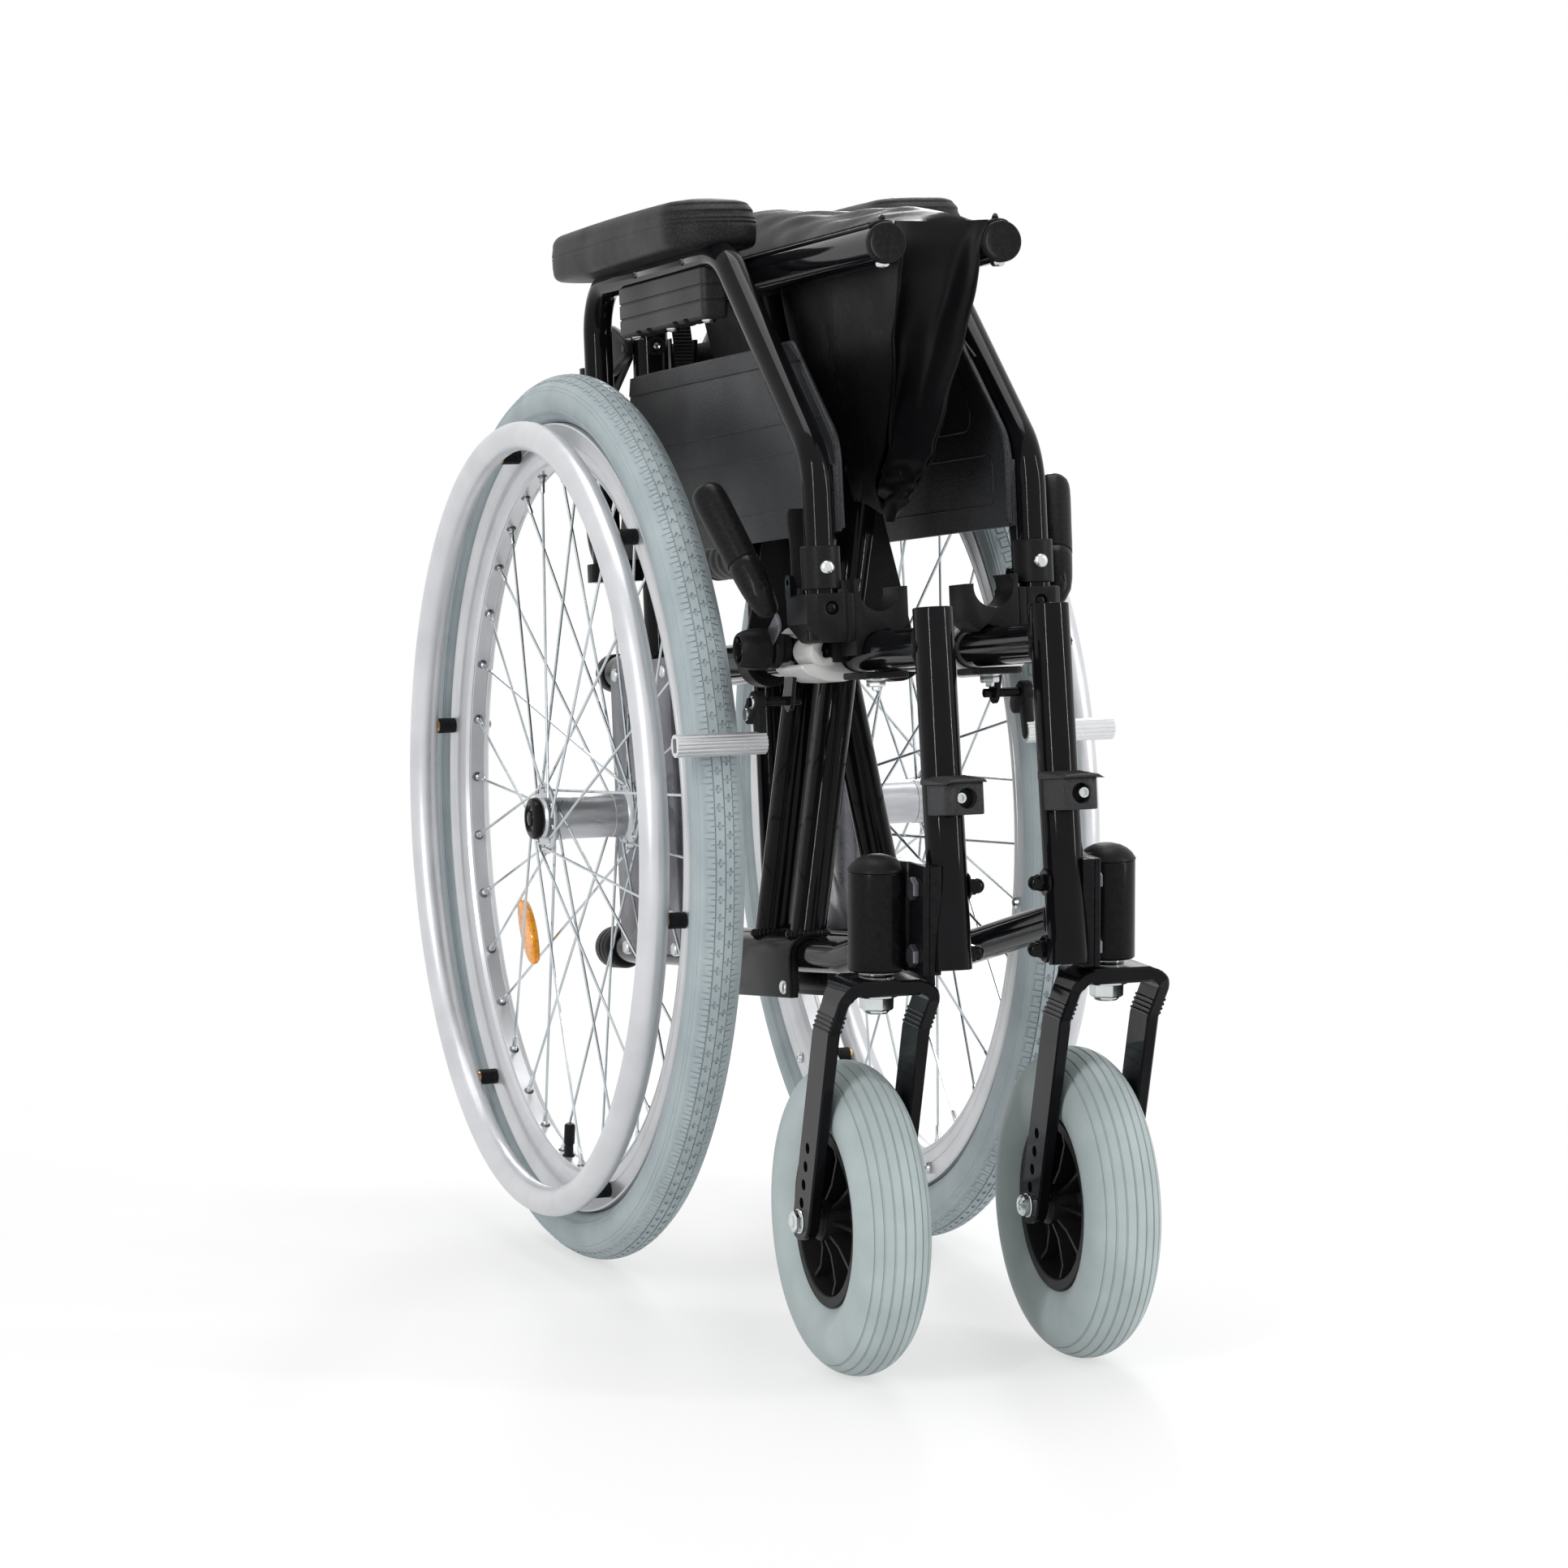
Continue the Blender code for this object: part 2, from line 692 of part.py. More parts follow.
def caster_fork():
    top_y = caster_stem_y + fork_top_shift
    half = fork_depth / 2
    crown = box((caster_axis_x - fork_outer_half, top_y - half, fork_crown_top - fork_crown_thickness),
                (caster_axis_x + fork_outer_half, caster_stem_y + half, fork_crown_top))
    fork = union(crown, fork_arm(caster_axis_x + fork_inner_half, caster_axis_x + fork_outer_half))
    fork = union(fork, fork_arm(caster_axis_x - fork_outer_half, caster_axis_x - fork_inner_half))
    stem_foot = fork_crown_top - fork_crown_thickness - swivel_nut_height
    stem = turned([(swivel_nut_radius, stem_foot), (swivel_nut_radius, fork_crown_top - 0.004),
                   (swivel_nut_radius, housing_bottom - fit_gap), (stem_radius, housing_bottom - fit_gap),
                   (stem_radius, fork_crown_top + stem_length)], "Z",
                   (caster_axis_x, caster_stem_y, 0), tube_sides)
    fork = union(fork, stem)
    holes = []
    run = Vector((0, fork_shoulder_set * 0.5 - caster_trail,
                  fork_crown_top - fork_shoulder_drop - caster_radius))
    run.normalize()
    for step in range(1, fork_hole_count + 1):
        spot = Vector((0, caster_axle_y, caster_radius)) + run * fork_hole_pitch * step
        holes.append(rod((caster_axis_x - 0.05, spot.y, spot.z), (caster_axis_x + 0.05, spot.y, spot.z),
                         fork_hole_radius, 6))
    fork = cut(fork, *holes)
    reach = fork_outer_half + caster_axle_head_length
    axle = turned([(caster_axle_head_radius, -reach), (caster_axle_head_radius, 0.001 - fork_outer_half),
                   (caster_axle_radius, 0.001 - fork_outer_half),
                   (caster_axle_radius, fork_outer_half - 0.001),
                   (caster_axle_head_radius, fork_outer_half - 0.001), (caster_axle_head_radius, reach)],
                  "X", (caster_axis_x, caster_axle_y, caster_radius), tube_sides)
    return union(fork, axle)


def clipped_circle(centre_radius, section_radius, least_radius, points):
    # The round section of a tyre, flattened where it sits on what carries it.
    low = centre_radius - least_radius
    start = acos(min(1.0, low / section_radius))
    profile = []
    for step in range(points):
        angle = start + (2 * pi - 2 * start) * step / (points - 1)
        profile.append((centre_radius - section_radius * cos(angle), section_radius * sin(angle)))
    return profile


def caster_tyre():
    profile = clipped_circle(caster_radius - caster_half_width, caster_half_width,
                             caster_hub_radius + fit_gap, 11)
    return turned(profile, "X", (caster_axis_x, caster_axle_y, caster_radius), caster_facets, ring=True)


def caster_hub():
    rim_inner = caster_hub_radius - caster_hub_rim_wall
    bore = caster_axle_radius + fit_gap
    profile = [(caster_hub_radius, -caster_hub_half_width), (caster_hub_radius, caster_hub_half_width),
               (rim_inner, caster_hub_half_width), (rim_inner - 0.002, caster_web_half),
               (caster_boss_radius, caster_web_half), (caster_boss_radius - 0.001, caster_boss_half),
               (bore, caster_boss_half), (bore, -caster_boss_half),
               (caster_boss_radius - 0.001, -caster_boss_half), (caster_boss_radius, -caster_web_half),
               (rim_inner - 0.002, -caster_web_half), (rim_inner, -caster_hub_half_width)]
    return turned(profile, "X", (caster_axis_x, caster_axle_y, caster_radius), caster_facets, ring=True)


# Rear wheel

def wheel_tyre():
    profile = clipped_circle(wheel_radius - tyre_half_width, tyre_half_width,
                             rim_outer_radius + fit_gap, 9)
    return turned(profile, "X", (wheel_plane_x, 0, wheel_radius), wheel_facets, ring=True)


def wheel_rim():
    profile = [(rim_inner_radius, -rim_half_width * 0.4), (rim_inner_radius, rim_half_width * 0.4),
               (rim_inner_radius + 0.008, rim_half_width), (rim_outer_radius, rim_half_width),
               (rim_outer_radius, -rim_half_width), (rim_inner_radius + 0.008, -rim_half_width)]
    return turned(profile, "X", (wheel_plane_x, 0, wheel_radius), wheel_facets, ring=True)


def wheel_hub():
    bore = axle_radius + fit_gap
    half = hub_flange_thickness / 2
    start = hub_inner_flange_x - half - hub_end_overhang
    end = hub_outer_flange_x + half + hub_end_overhang
    profile = [(bore, start), (hub_barrel_radius, start)]
    for flange_x in (hub_inner_flange_x, hub_outer_flange_x):
        profile += [(hub_barrel_radius, flange_x - half), (hub_flange_radius, flange_x - half),
                    (hub_flange_radius, flange_x + half), (hub_barrel_radius, flange_x + half)]
    profile += [(hub_barrel_radius, end), (bore, end)]
    hub = turned(profile, "X", (0, 0, wheel_radius), tube_sides, ring=True)
    spokes = []
    for number in range(spoke_count):
        outer_angle = 2 * pi * number / spoke_count
        lead = 1 if (number // 2) % 2 else -1
        inner_angle = outer_angle + lead * spoke_lead_angle
        flange_x = hub_outer_flange_x if number % 2 else hub_inner_flange_x
        start_x = flange_x + lead * spoke_side_step
        end_radius = rim_inner_radius - fit_gap
        begin = (start_x, spoke_circle_radius * cos(inner_angle),
                 wheel_radius + spoke_circle_radius * sin(inner_angle))
        finish = (wheel_plane_x, end_radius * cos(outer_angle), wheel_radius + end_radius * sin(outer_angle))
        spokes.append(rod(begin, finish, spoke_radius, 3))
    return union(hub, *spokes)


def handrim():
    profile = []
    for step in range(7):
        angle = 2 * pi * step / 7
        profile.append((handrim_radius + handrim_tube_radius * cos(angle), handrim_tube_radius * sin(angle)))
    plane_x = wheel_plane_x + handrim_offset
    ring = turned(profile, "X", (plane_x, 0, wheel_radius), wheel_facets, ring=True)
    standoffs = []
    for step in range(standoff_count):
        angle = standoff_first_angle + 2 * pi * step / standoff_count
        reach = handrim_radius - 0.002
        y, z = reach * cos(angle), wheel_radius + reach * sin(angle)
        standoffs.append(rod((wheel_plane_x + rim_half_width + fit_gap, y, z), (plane_x, y, z),
                             standoff_radius, 6))
    return union(ring, *standoffs)


# Armrest

def arm_tube():
    post = [(arm_x, arm_post_y, arm_post_bottom), (arm_x, arm_post_y, arm_elbow_z),
            (arm_x, arm_top_front_y, arm_top_z), (arm_x, arm_rear_y, arm_top_z),
            (arm_x, arm_rear_y, arm_rear_bottom)]
    path = rounded(post, [arm_elbow_bend, arm_shoulder_bend, arm_rear_bend])
    tube = swept(path, arm_tube_radius)
    collar = rod((arm_x, arm_post_y, socket_top_z + fit_gap), (arm_x, arm_post_y, collar_top), collar_radius)
    block = box((arm_x - bar_block_half_width, bar_block_front_y, bar_block_bottom),
                (arm_x + bar_block_half_width, bar_block_rear_y, arm_top_z - arm_tube_radius * 0.5))
    return union(union(tube, collar), block)


def arm_pad():
    # Rounded sections along the pad, drawn in at both ends and crowned on top.
    # The skirt hangs over the tube, which lies in a groove along the underside. Its inner
    # side is narrower at the rear, where the raised upper cane stands beside it.
    bm = bmesh.new()
    base = arm_top_z + arm_tube_radius + fit_gap - pad_skirt
    middle_x = (pad_inner_x + pad_outer_x) / 2
    half = (pad_outer_x - pad_inner_x) / 2
    stations = [0.0, 0.15, 0.45, 1.0]
    length = pad_rear_y - pad_front_y
    spots = [(pad_front_y + pad_end_round * s, s) for s in stations]
    spots += [(pad_front_y + length * s, 1.0) for s in (0.25, 0.5)]
    spots += [(pad_taper_front_y, 1.0), (pad_taper_rear_y, 1.0)]
    spots += [(pad_rear_y - pad_end_round * s, s) for s in reversed(stations)]
    rings = []
    for y, share in spots:
        draw = 0.72 + 0.28 * sqrt(max(0.0, 1 - (1 - share) ** 2))
        relief = pad_cane_relief if y >= pad_taper_rear_y else 0.0
        ring = []
        for across, up in ((-0.80, 0.0), (-1.0, 0.22), (-1.0, 0.60), (-0.86, 0.86), (-0.5, 0.97), (0.0, 1.0),
                           (0.5, 0.97), (0.86, 0.86), (1.0, 0.60), (1.0, 0.22), (0.80, 0.0)):
            crown = pad_crown * (1 - across * across) * up
            height = (pad_height - pad_crown) * up + crown
            lift = pad_height * (1 - draw) * 0.5 * up
            aside = (half * across + relief * max(0.0, -across)) * draw
            ring.append(bm.verts.new((middle_x + aside, y, base + height - lift)))
        rings.append(ring)
    count = len(rings[0])
    for ring, following in zip(rings, rings[1:]):
        for step in range(count):
            nearby = (step + 1) % count
            bm.faces.new((ring[step], ring[nearby], following[nearby], following[step]))
    bm.faces.new(rings[0])
    bm.faces.new(rings[-1])
    groove = arm_tube_radius + fit_gap
    return cut(finished_shape(bm), box((arm_x - groove, pad_front_y - past_end, base - past_end),
                                       (arm_x + groove, pad_rear_y + past_end, base + pad_skirt)))


def arm_panel():
    outline = [(panel_rear_low_y, panel_bottom_z), (panel_rear_top_y, panel_top_z),
               (panel_front_top_y, panel_top_z), (panel_front_top_y - 0.014, panel_top_z - 0.005),
               (panel_front_y + 0.004, panel_front_knee_z), (panel_front_y, panel_front_knee_z - 0.015),
               (panel_front_y, panel_bottom_z)]
    sheet = prism(outline, "X", panel_inner_x, panel_inner_x + panel_thickness)
    lip_outline = [(panel_front_y, panel_bottom_z), (panel_front_y, panel_front_knee_z - 0.015),
                   (panel_front_y + panel_lip_width, panel_front_knee_z - 0.015),
                   (panel_front_y + panel_lip_width, panel_bottom_z)]
    lip = prism(lip_outline, "X", panel_inner_x + 0.001, arm_x - arm_tube_radius - fit_gap)
    return union(sheet, lip)


def arm_socket():
    block = box((socket_inner_x, socket_front_y, socket_bottom_z),
                (socket_outer_x, socket_rear_y, socket_top_z))
    lug = box((tube_x + seat_tube_radius + fit_gap, socket_lug_front_y, socket_lug_bottom),
              (socket_inner_x + 0.004, socket_rear_y, seat_tube_z + 0.014))
    shaped = union(block, lug)
    for ear_x in (release_inner_x - fit_gap - release_ear_thickness, release_outer_x + fit_gap):
        ear = prism([(release_pivot_y - release_ear_radius, socket_top_z - 0.001),
                     (release_pivot_y + release_ear_radius, socket_top_z - 0.001),
                     (release_pivot_y + release_ear_radius, release_pivot_z + 0.002),
                     (release_pivot_y, release_pivot_z + release_ear_radius),
                     (release_pivot_y - release_ear_radius, release_pivot_z + 0.002)],
                    "X", ear_x, ear_x + release_ear_thickness)
        shaped = union(shaped, ear)
    pin = rod((release_inner_x - fit_gap - release_ear_thickness / 2, release_pivot_y, release_pivot_z),
              (release_outer_x + fit_gap + release_ear_thickness / 2, release_pivot_y, release_pivot_z),
              release_pin_radius, 8)
    shaped = union(shaped, pin)
    bore = hole((arm_x, arm_post_y, socket_bottom_z + socket_floor),
                (arm_x, arm_post_y, socket_top_z + past_end),
                arm_tube_radius)
    return cut(shaped, bore)


def arm_release():
    low = release_pivot_z - 0.0035
    half = release_thickness / 2
    outline = [(release_pivot_y - half, low), (release_pivot_y + half, low),
               (release_pivot_y + half, release_top_z - 0.012),
               (release_pivot_y + half + 0.003, release_top_z),
               (release_pivot_y + 0.001, release_top_z), (release_pivot_y - half, release_top_z - 0.012)]
    tab = prism(outline, "X", release_inner_x, release_outer_x)
    return cut(tab, hole((release_inner_x - past_end, release_pivot_y, release_pivot_z),
                         (release_outer_x + past_end, release_pivot_y,
                          release_pivot_z), release_pin_radius, 8))


def rail_cradle():
    outline = [(cradle_inner_x, cradle_bottom_z), (cradle_outer_x, cradle_bottom_z),
               (cradle_outer_x, cradle_outer_top), (cradle_outer_x - 0.004, cradle_outer_top)]
    for step in range(13):
        angle = -pi * step / 12
        outline.append((tube_x + cradle_recess_radius * cos(angle),
                        rail_seated_z + cradle_recess_radius * sin(angle)))
    outline += [(cradle_inner_x, cradle_inner_top)]
    block = prism(outline, "Y", cradle_front_y, cradle_rear_y)
    return cut(block, hole((tube_x, cradle_front_y - past_end, seat_tube_z),
                           (tube_x, cradle_rear_y + past_end, seat_tube_z), seat_tube_radius))


# Brake

def shoe_bar_spot():
    # On the circle round the axle that leaves the rest clearance to the tyre's corners.
    tyre_reach = wheel_radius / cos(pi / wheel_facets)
    distance = tyre_reach + shoe_bar_radius + shoe_rest_clearance
    bar_z = shoe_pivot_z - shoe_bar_drop
    return axle_y - sqrt(distance ** 2 - (bar_z - axle_z) ** 2), bar_z


def brake_clamp():
    outline = []
    for step in range(9):
        angle = pi / 2 + pi * step / 8
        outline.append((tube_x + clamp_ring_radius * cos(angle),
                        seat_tube_z + clamp_ring_radius * sin(angle)))
    outline += [(tube_x + clamp_ring_radius * 0.7, clamp_bottom_z), (clamp_lug_x, clamp_lug_bottom),
                (clamp_lug_x, clamp_lug_top),
                (tube_x + clamp_ring_radius * 0.7, seat_tube_z + clamp_ring_radius)]
    ring = prism(outline, "Y", clamp_front_y, clamp_rear_y)
    bore = hole((tube_x, clamp_front_y - past_end, seat_tube_z),
                (tube_x, clamp_rear_y + past_end, seat_tube_z),
                seat_tube_radius)
    clamp = cut(ring, bore)
    bracket = slanted_bar((brake_pivot_y, brake_pivot_z), (shoe_pivot_y, shoe_pivot_z), 0.010,
                          shoe_eye_radius,
                          clamp_lug_x - 0.002, clamp_lug_x + bracket_thickness)
    clamp = union(clamp, bracket)
    pivot = rod((clamp_lug_x, brake_pivot_y, brake_pivot_z),
                (knob_outer_x - pin_set_back, brake_pivot_y, brake_pivot_z),
                brake_pin_radius)
    shoe_pin = rod((clamp_lug_x, shoe_pivot_y, shoe_pivot_z),
                   (shoe_eye_inner_x + shoe_eye_thickness, shoe_pivot_y, shoe_pivot_z), shoe_pin_radius)
    return union(union(clamp, pivot), shoe_pin)


def brake_lever():
    knob = rod((knob_inner_x, brake_pivot_y, brake_pivot_z), (knob_outer_x, brake_pivot_y, brake_pivot_z),
               knob_radius)
    handle = swept(rounded(lever_points, [lever_bend]), lever_radius)
    lever = union(knob, handle)
    pin_end = knob_outer_x - pin_set_back + fit_gap
    return cut(lever, hole((knob_inner_x - past_end, brake_pivot_y, brake_pivot_z),
                           (pin_end, brake_pivot_y, brake_pivot_z), brake_pin_radius))


def brake_shoe():
    bar_y, bar_z = shoe_bar_spot()
    arm = slanted_bar((shoe_pivot_y, shoe_pivot_z), (bar_y, bar_z), shoe_eye_radius, shoe_bar_radius * 0.9,
                      shoe_eye_inner_x, shoe_eye_inner_x + shoe_eye_thickness)
    bar = rod((shoe_bar_inner_x, bar_y, bar_z), (shoe_bar_outer_x, bar_y, bar_z), shoe_bar_radius)
    shoe = union(arm, bar)
    return cut(shoe, hole((shoe_eye_inner_x - past_end, shoe_pivot_y, shoe_pivot_z),
                          (shoe_eye_inner_x + shoe_eye_thickness + fit_gap, shoe_pivot_y, shoe_pivot_z),
                          shoe_pin_radius))


# Back

def back_cane():
    cane = rod((cane_x, cane_y, seat_tube_z), (cane_x, cane_y, cane_top_z), cane_radius)
    cane = cut(cane, hole((tube_x, cane_y - 0.03, seat_tube_z), (tube_x, cane_y + 0.03, seat_tube_z),
                          seat_tube_radius))
    half = hinge_plate_thickness / 2
    plate = slanted_bar((cane_y, hinge_z - 0.005), (hinge_y, hinge_z), 0.010, hinge_eye_radius,
                        cane_x - half, cane_x + half)
    cane = union(cane, plate)
    pin_half = half + fit_gap + hinge_plate_thickness
    cane = union(cane, rod((cane_x - pin_half, hinge_y, hinge_z), (cane_x + pin_half, hinge_y, hinge_z),
                           hinge_pin_radius))
    lever_end = cane_x + cane_radius + 0.002 + fold_lever_thickness
    cane = union(cane, rod((cane_x, fold_lever_pivot_y, fold_lever_pivot_z),
                           (lever_end, fold_lever_pivot_y, fold_lever_pivot_z), fold_lever_pin_radius))
    wall = arm_tube_radius + fit_gap + receiver_wall
    receiver = box((cane_x + cane_radius * 0.5, arm_rear_y - wall, receiver_bottom),
                   (arm_x + wall, arm_rear_y + wall, receiver_top))
    receiver = cut(receiver, hole((arm_x, arm_rear_y, receiver_bottom - past_end),
                                  (arm_x, arm_rear_y, receiver_top + past_end), arm_tube_radius))
    trim = box((0.0, cane_y + receiver_neck_y, receiver_bottom - past_end),
               (cane_x + cane_radius + receiver_neck_x, arm_rear_y + wall + past_end,
                receiver_top + past_end))
    return union(cane, cut(receiver, trim))


def turned_over(shape):
    # The upper cane is drawn raised and swung half a turn about its hinge.
    swing = Matrix.Translation((0, hinge_y, hinge_z)) @ Matrix.Rotation(pi, 4, "X")
    shape.data.transform(swing @ Matrix.Translation((0, -hinge_y, -hinge_z)))
    return shape


def upper_cane():
    start_z = cane_top_z + 0.003
    handle_z = hinge_z + handle_height
    path = rounded([(cane_x, cane_y, start_z), (cane_x, cane_y, handle_z),
                    (cane_x, cane_y + handle_reach, handle_z)],
                   [handle_bend])
    cane = swept(path, upper_cane_radius)
    half = hinge_plate_thickness / 2 + fit_gap
    for low, high in ((cane_x - half - hinge_plate_thickness, cane_x - half),
                      (cane_x + half, cane_x + half + hinge_plate_thickness)):
        outline = [(cane_y, start_z), (cane_y + 0.020, start_z),
                   (hinge_y - 0.004, hinge_z - hinge_eye_radius),
                   (hinge_y + 0.006, hinge_z - hinge_eye_radius + 0.002),
                   (hinge_y + hinge_eye_radius, hinge_z),
                   (hinge_y + 0.005, hinge_z + hinge_eye_radius),
                   (cane_y + 0.014, start_z + hinge_plate_height),
                   (cane_y, start_z + hinge_plate_height)]
        cane = union(cane, prism(outline, "X", low, high))
    return turned_over(cut(cane, hole((cane_x - 0.02, hinge_y, hinge_z), (cane_x + 0.02, hinge_y, hinge_z),
                                      hinge_pin_radius)))


def push_grip():
    handle_z = hinge_z + handle_height
    start_y = cane_y + handle_bend + grip_past_bend
    cane_end_y = cane_y + handle_reach
    grip = rod((cane_x, start_y, handle_z), (cane_x, cane_end_y + grip_end_wall, handle_z), grip_radius)
    return turned_over(cut(grip, hole((cane_x, start_y - past_end, handle_z),
                                      (cane_x, cane_end_y + fit_gap, handle_z), upper_cane_radius)))


def fold_lever():
    # A flat wavy lever behind the cane.
    outline = []
    eye = fold_lever_eye_radius
    for step in range(7):
        angle = pi / 2 + pi * step / 6
        outline.append((fold_lever_pivot_y + eye * cos(angle), fold_lever_pivot_z + eye * sin(angle)))
    reach = fold_lever_reach
    half = fold_lever_half_height
    for share, height in ((0.25, -0.62), (0.6, -0.95), (0.88, -1.0), (1.0, -0.78), (0.93, -0.35), (0.80, 0.1),
                          (0.84, 0.45), (1.0, 0.72), (0.97, 1.0), (0.7, 1.1), (0.35, 0.85)):
        outline.append((fold_lever_pivot_y + reach * share, fold_lever_pivot_z + half * height))
    low = cane_x + cane_radius + 0.001
    lever = prism(outline, "X", low, low + fold_lever_thickness)
    return cut(lever, hole((low - 0.01, fold_lever_pivot_y, fold_lever_pivot_z),
                           (low + 0.02, fold_lever_pivot_y, fold_lever_pivot_z), fold_lever_pin_radius))


# Crossed brace, drawn with the foot on the -X tube and the rail on the +X side

def leg_spot(share):
    foot = Vector((-tube_x, lower_tube_z))
    head = Vector((tube_x, rail_raised_z))
    return foot + (head - foot) * share


def brace(leg_rows, sleeve_front, sleeve_rear):
    rail = rod((tube_x, rail_front_y, rail_raised_z), (tube_x, rail_rear_y, rail_raised_z), rail_radius)
    sleeve = box((-tube_x - sleeve_half_width, sleeve_front, sleeve_bottom_z),
                 (-tube_x + sleeve_half_width, sleeve_rear, sleeve_top_z))
    body = rail
    for row in leg_rows:
        foot = leg_spot(0.0)
        head = leg_spot(1.0)
        body = union(body, rod((foot.x, row, foot.y), (head.x, row, head.y), leg_radius))
    body = union(body, sleeve)
    return cut(body, hole((-tube_x, sleeve_front - past_end, lower_tube_z),
                          (-tube_x, sleeve_rear + past_end, lower_tube_z), lower_tube_radius))


def double_brace():
    body = brace((double_leg_front_y, double_leg_rear_y), double_sleeve_front_y, double_sleeve_rear_y)
    middle = leg_spot(0.5)
    bolt = rod((middle.x, double_leg_front_y - leg_radius - cross_bolt_overhang, middle.y),
               (middle.x, double_leg_rear_y + leg_radius + cross_bolt_overhang, middle.y), cross_bolt_radius)
    return union(body, bolt)


def single_brace():
    half = single_sleeve_half_length
    body = brace((single_leg_y,), single_leg_y - half, single_leg_y + half)
    middle = leg_spot(0.5)
    return cut(body,
               hole((middle.x, single_leg_y - 0.03, middle.y), (middle.x, single_leg_y + 0.03, middle.y),
                          cross_bolt_radius))


def link(plane_y, boss_side, leg_row):
    # The stay from the seat tube to a brace leg; boss_side points to that leg.
    half = link_thickness / 2
    root = (tube_x, seat_tube_z)
    rise = sqrt(link_length ** 2 - link_lean_x ** 2)
    tip = (tube_x - link_lean_x, seat_tube_z + rise)
    heading = atan2(tip[1] - root[1], tip[0] - root[0])
    outline = []
    for centre, reach, turn in ((root, link_root_half, pi / 2), (tip, link_tip_half, -pi / 2)):
        for step in range(7):
            angle = heading + turn + pi * step / 6
            outline.append((centre[0] + reach * cos(angle), centre[1] + reach * sin(angle)))
    arm = prism(outline, "Y", plane_y - half, plane_y + half)
    collar = rod((root[0], plane_y - link_collar_length / 2, root[1]),
                 (root[0], plane_y + link_collar_length / 2, root[1]), link_collar_radius)
    boss_end = leg_row - boss_side * (leg_radius + fit_gap)
    boss = rod((tip[0], plane_y, tip[1]), (tip[0], boss_end, tip[1]), link_tip_half * 0.8, 10)
    body = union(union(collar, arm), boss)
    return cut(body, hole((root[0], plane_y - 0.02, root[1]), (root[0], plane_y + 0.02, root[1]),
                          seat_tube_radius))


# Cloth

def sling_leaf():
    # Half of the seat sling: hung from the +X rail, down its leg's inner side to the fold.
    inner = rail_radius + fit_gap + cloth_thickness / 2
    lean = (2 * tube_x) / (rail_raised_z - lower_tube_z)
    leg_width = leg_radius * sqrt(1 + lean * lean)

    def leg_side(z):
        return -tube_x + (z - lower_tube_z) * lean - leg_width - sling_leg_gap - cloth_thickness / 2

    upper_z = rail_raised_z - 0.009
    line = [Vector((tube_x - inner, rail_raised_z + 0.002)), Vector((leg_side(upper_z), upper_z)),
            Vector((leg_side((upper_z + sling_knee_z) / 2), (upper_z + sling_knee_z) / 2)),
            Vector((leg_side(sling_knee_z), sling_knee_z)),
            Vector(((leg_side(sling_knee_z) + sling_tip_x) / 2, (sling_knee_z + sling_tip_z) / 2)),
            Vector((sling_tip_x, sling_tip_z))]
    knee_row = 3
    notch_front = double_leg_front_y - leg_radius - sling_notch_margin
    notch_rear = double_leg_rear_y + leg_radius + sling_notch_margin
    stops = [sling_front_y + (notch_front - sling_front_y) * step / 8 for step in range(9)]
    stops += [(notch_front + notch_rear) / 2]
    stops += [notch_rear + (sling_rear_y - notch_rear) * step / 4 for step in range(5)]
    bm = bmesh.new()
    skins = []
    for offset in (-cloth_thickness / 2, cloth_thickness / 2):
        skin = []
        for y in stops:
            share = (y - sling_front_y) / (sling_rear_y - sling_front_y)
            column = []
            for row, spot in enumerate(line):
                depth = max(0.0, (row - knee_row) / (len(line) - 1 - knee_row))
                wave = sling_fold_depth * depth * (1 - cos(2 * pi * sling_fold_count * share)) / 2
                column.append(bm.verts.new((spot.x + offset + wave, y, spot.y)))
            skin.append(column)
        skins.append(skin)
    notch_cells = {8, 9}
    kept = {(column, row) for column in range(len(stops) - 1) for row in range(len(line) - 1)
            if not (column in notch_cells and row >= knee_row)}
    for column, row in kept:
        for skin in skins:
            bm.faces.new((skin[column][row], skin[column + 1][row], skin[column + 1][row + 1],
                          skin[column][row + 1]))
        edges = (((column, row), (column + 1, row), (column, row - 1)),
                 ((column, row + 1), (column + 1, row + 1), (column, row + 1)),
                 ((column, row), (column, row + 1), (column - 1, row)),
                 ((column + 1, row), (column + 1, row + 1), (column + 1, row)))
        for first, second, neighbour in edges:
            if neighbour not in kept:
                bm.faces.new((skins[0][first[0]][first[1]], skins[0][second[0]][second[1]],
                              skins[1][second[0]][second[1]], skins[1][first[0]][first[1]]))
    loose = [vert for vert in bm.verts if not vert.link_faces]
    bmesh.ops.delete(bm, geom=loose, context="VERTS")
    return finished_shape(bm)


def back_cloth():
    # The back upholstery, gathered in two deep folds between the canes.
    ends_x = cane_x - cane_radius - fit_gap - cloth_thickness / 2
    line = [Vector((-ends_x, cane_y - 0.004)), Vector((-ends_x + 0.001, cane_y + 0.006))]
    for step in range(back_fold_steps + 1):
        share = step / back_fold_steps
        x = -back_fold_half_width + 2 * back_fold_half_width * share
        line.append(Vector((x, cane_y + 0.012 + back_fold_depth * sin(2 * pi * share) ** 2)))
    line += [Vector((ends_x - 0.001, cane_y + 0.006)), Vector((ends_x, cane_y - 0.004))]
    left_edge = []
    right_edge = []
    for number, point in enumerate(line):
        before = line[max(0, number - 1)]
        after = line[min(len(line) - 1, number + 1)]
        run = (after - before).normalized()
        aside = Vector((-run.y, run.x)) * cloth_thickness / 2
        left_edge.append(point + aside)
        right_edge.append(point - aside)
    outline = [tuple(point) for point in left_edge + right_edge[::-1]]
    return prism(outline, "Z", back_cloth_bottom, back_cloth_top)


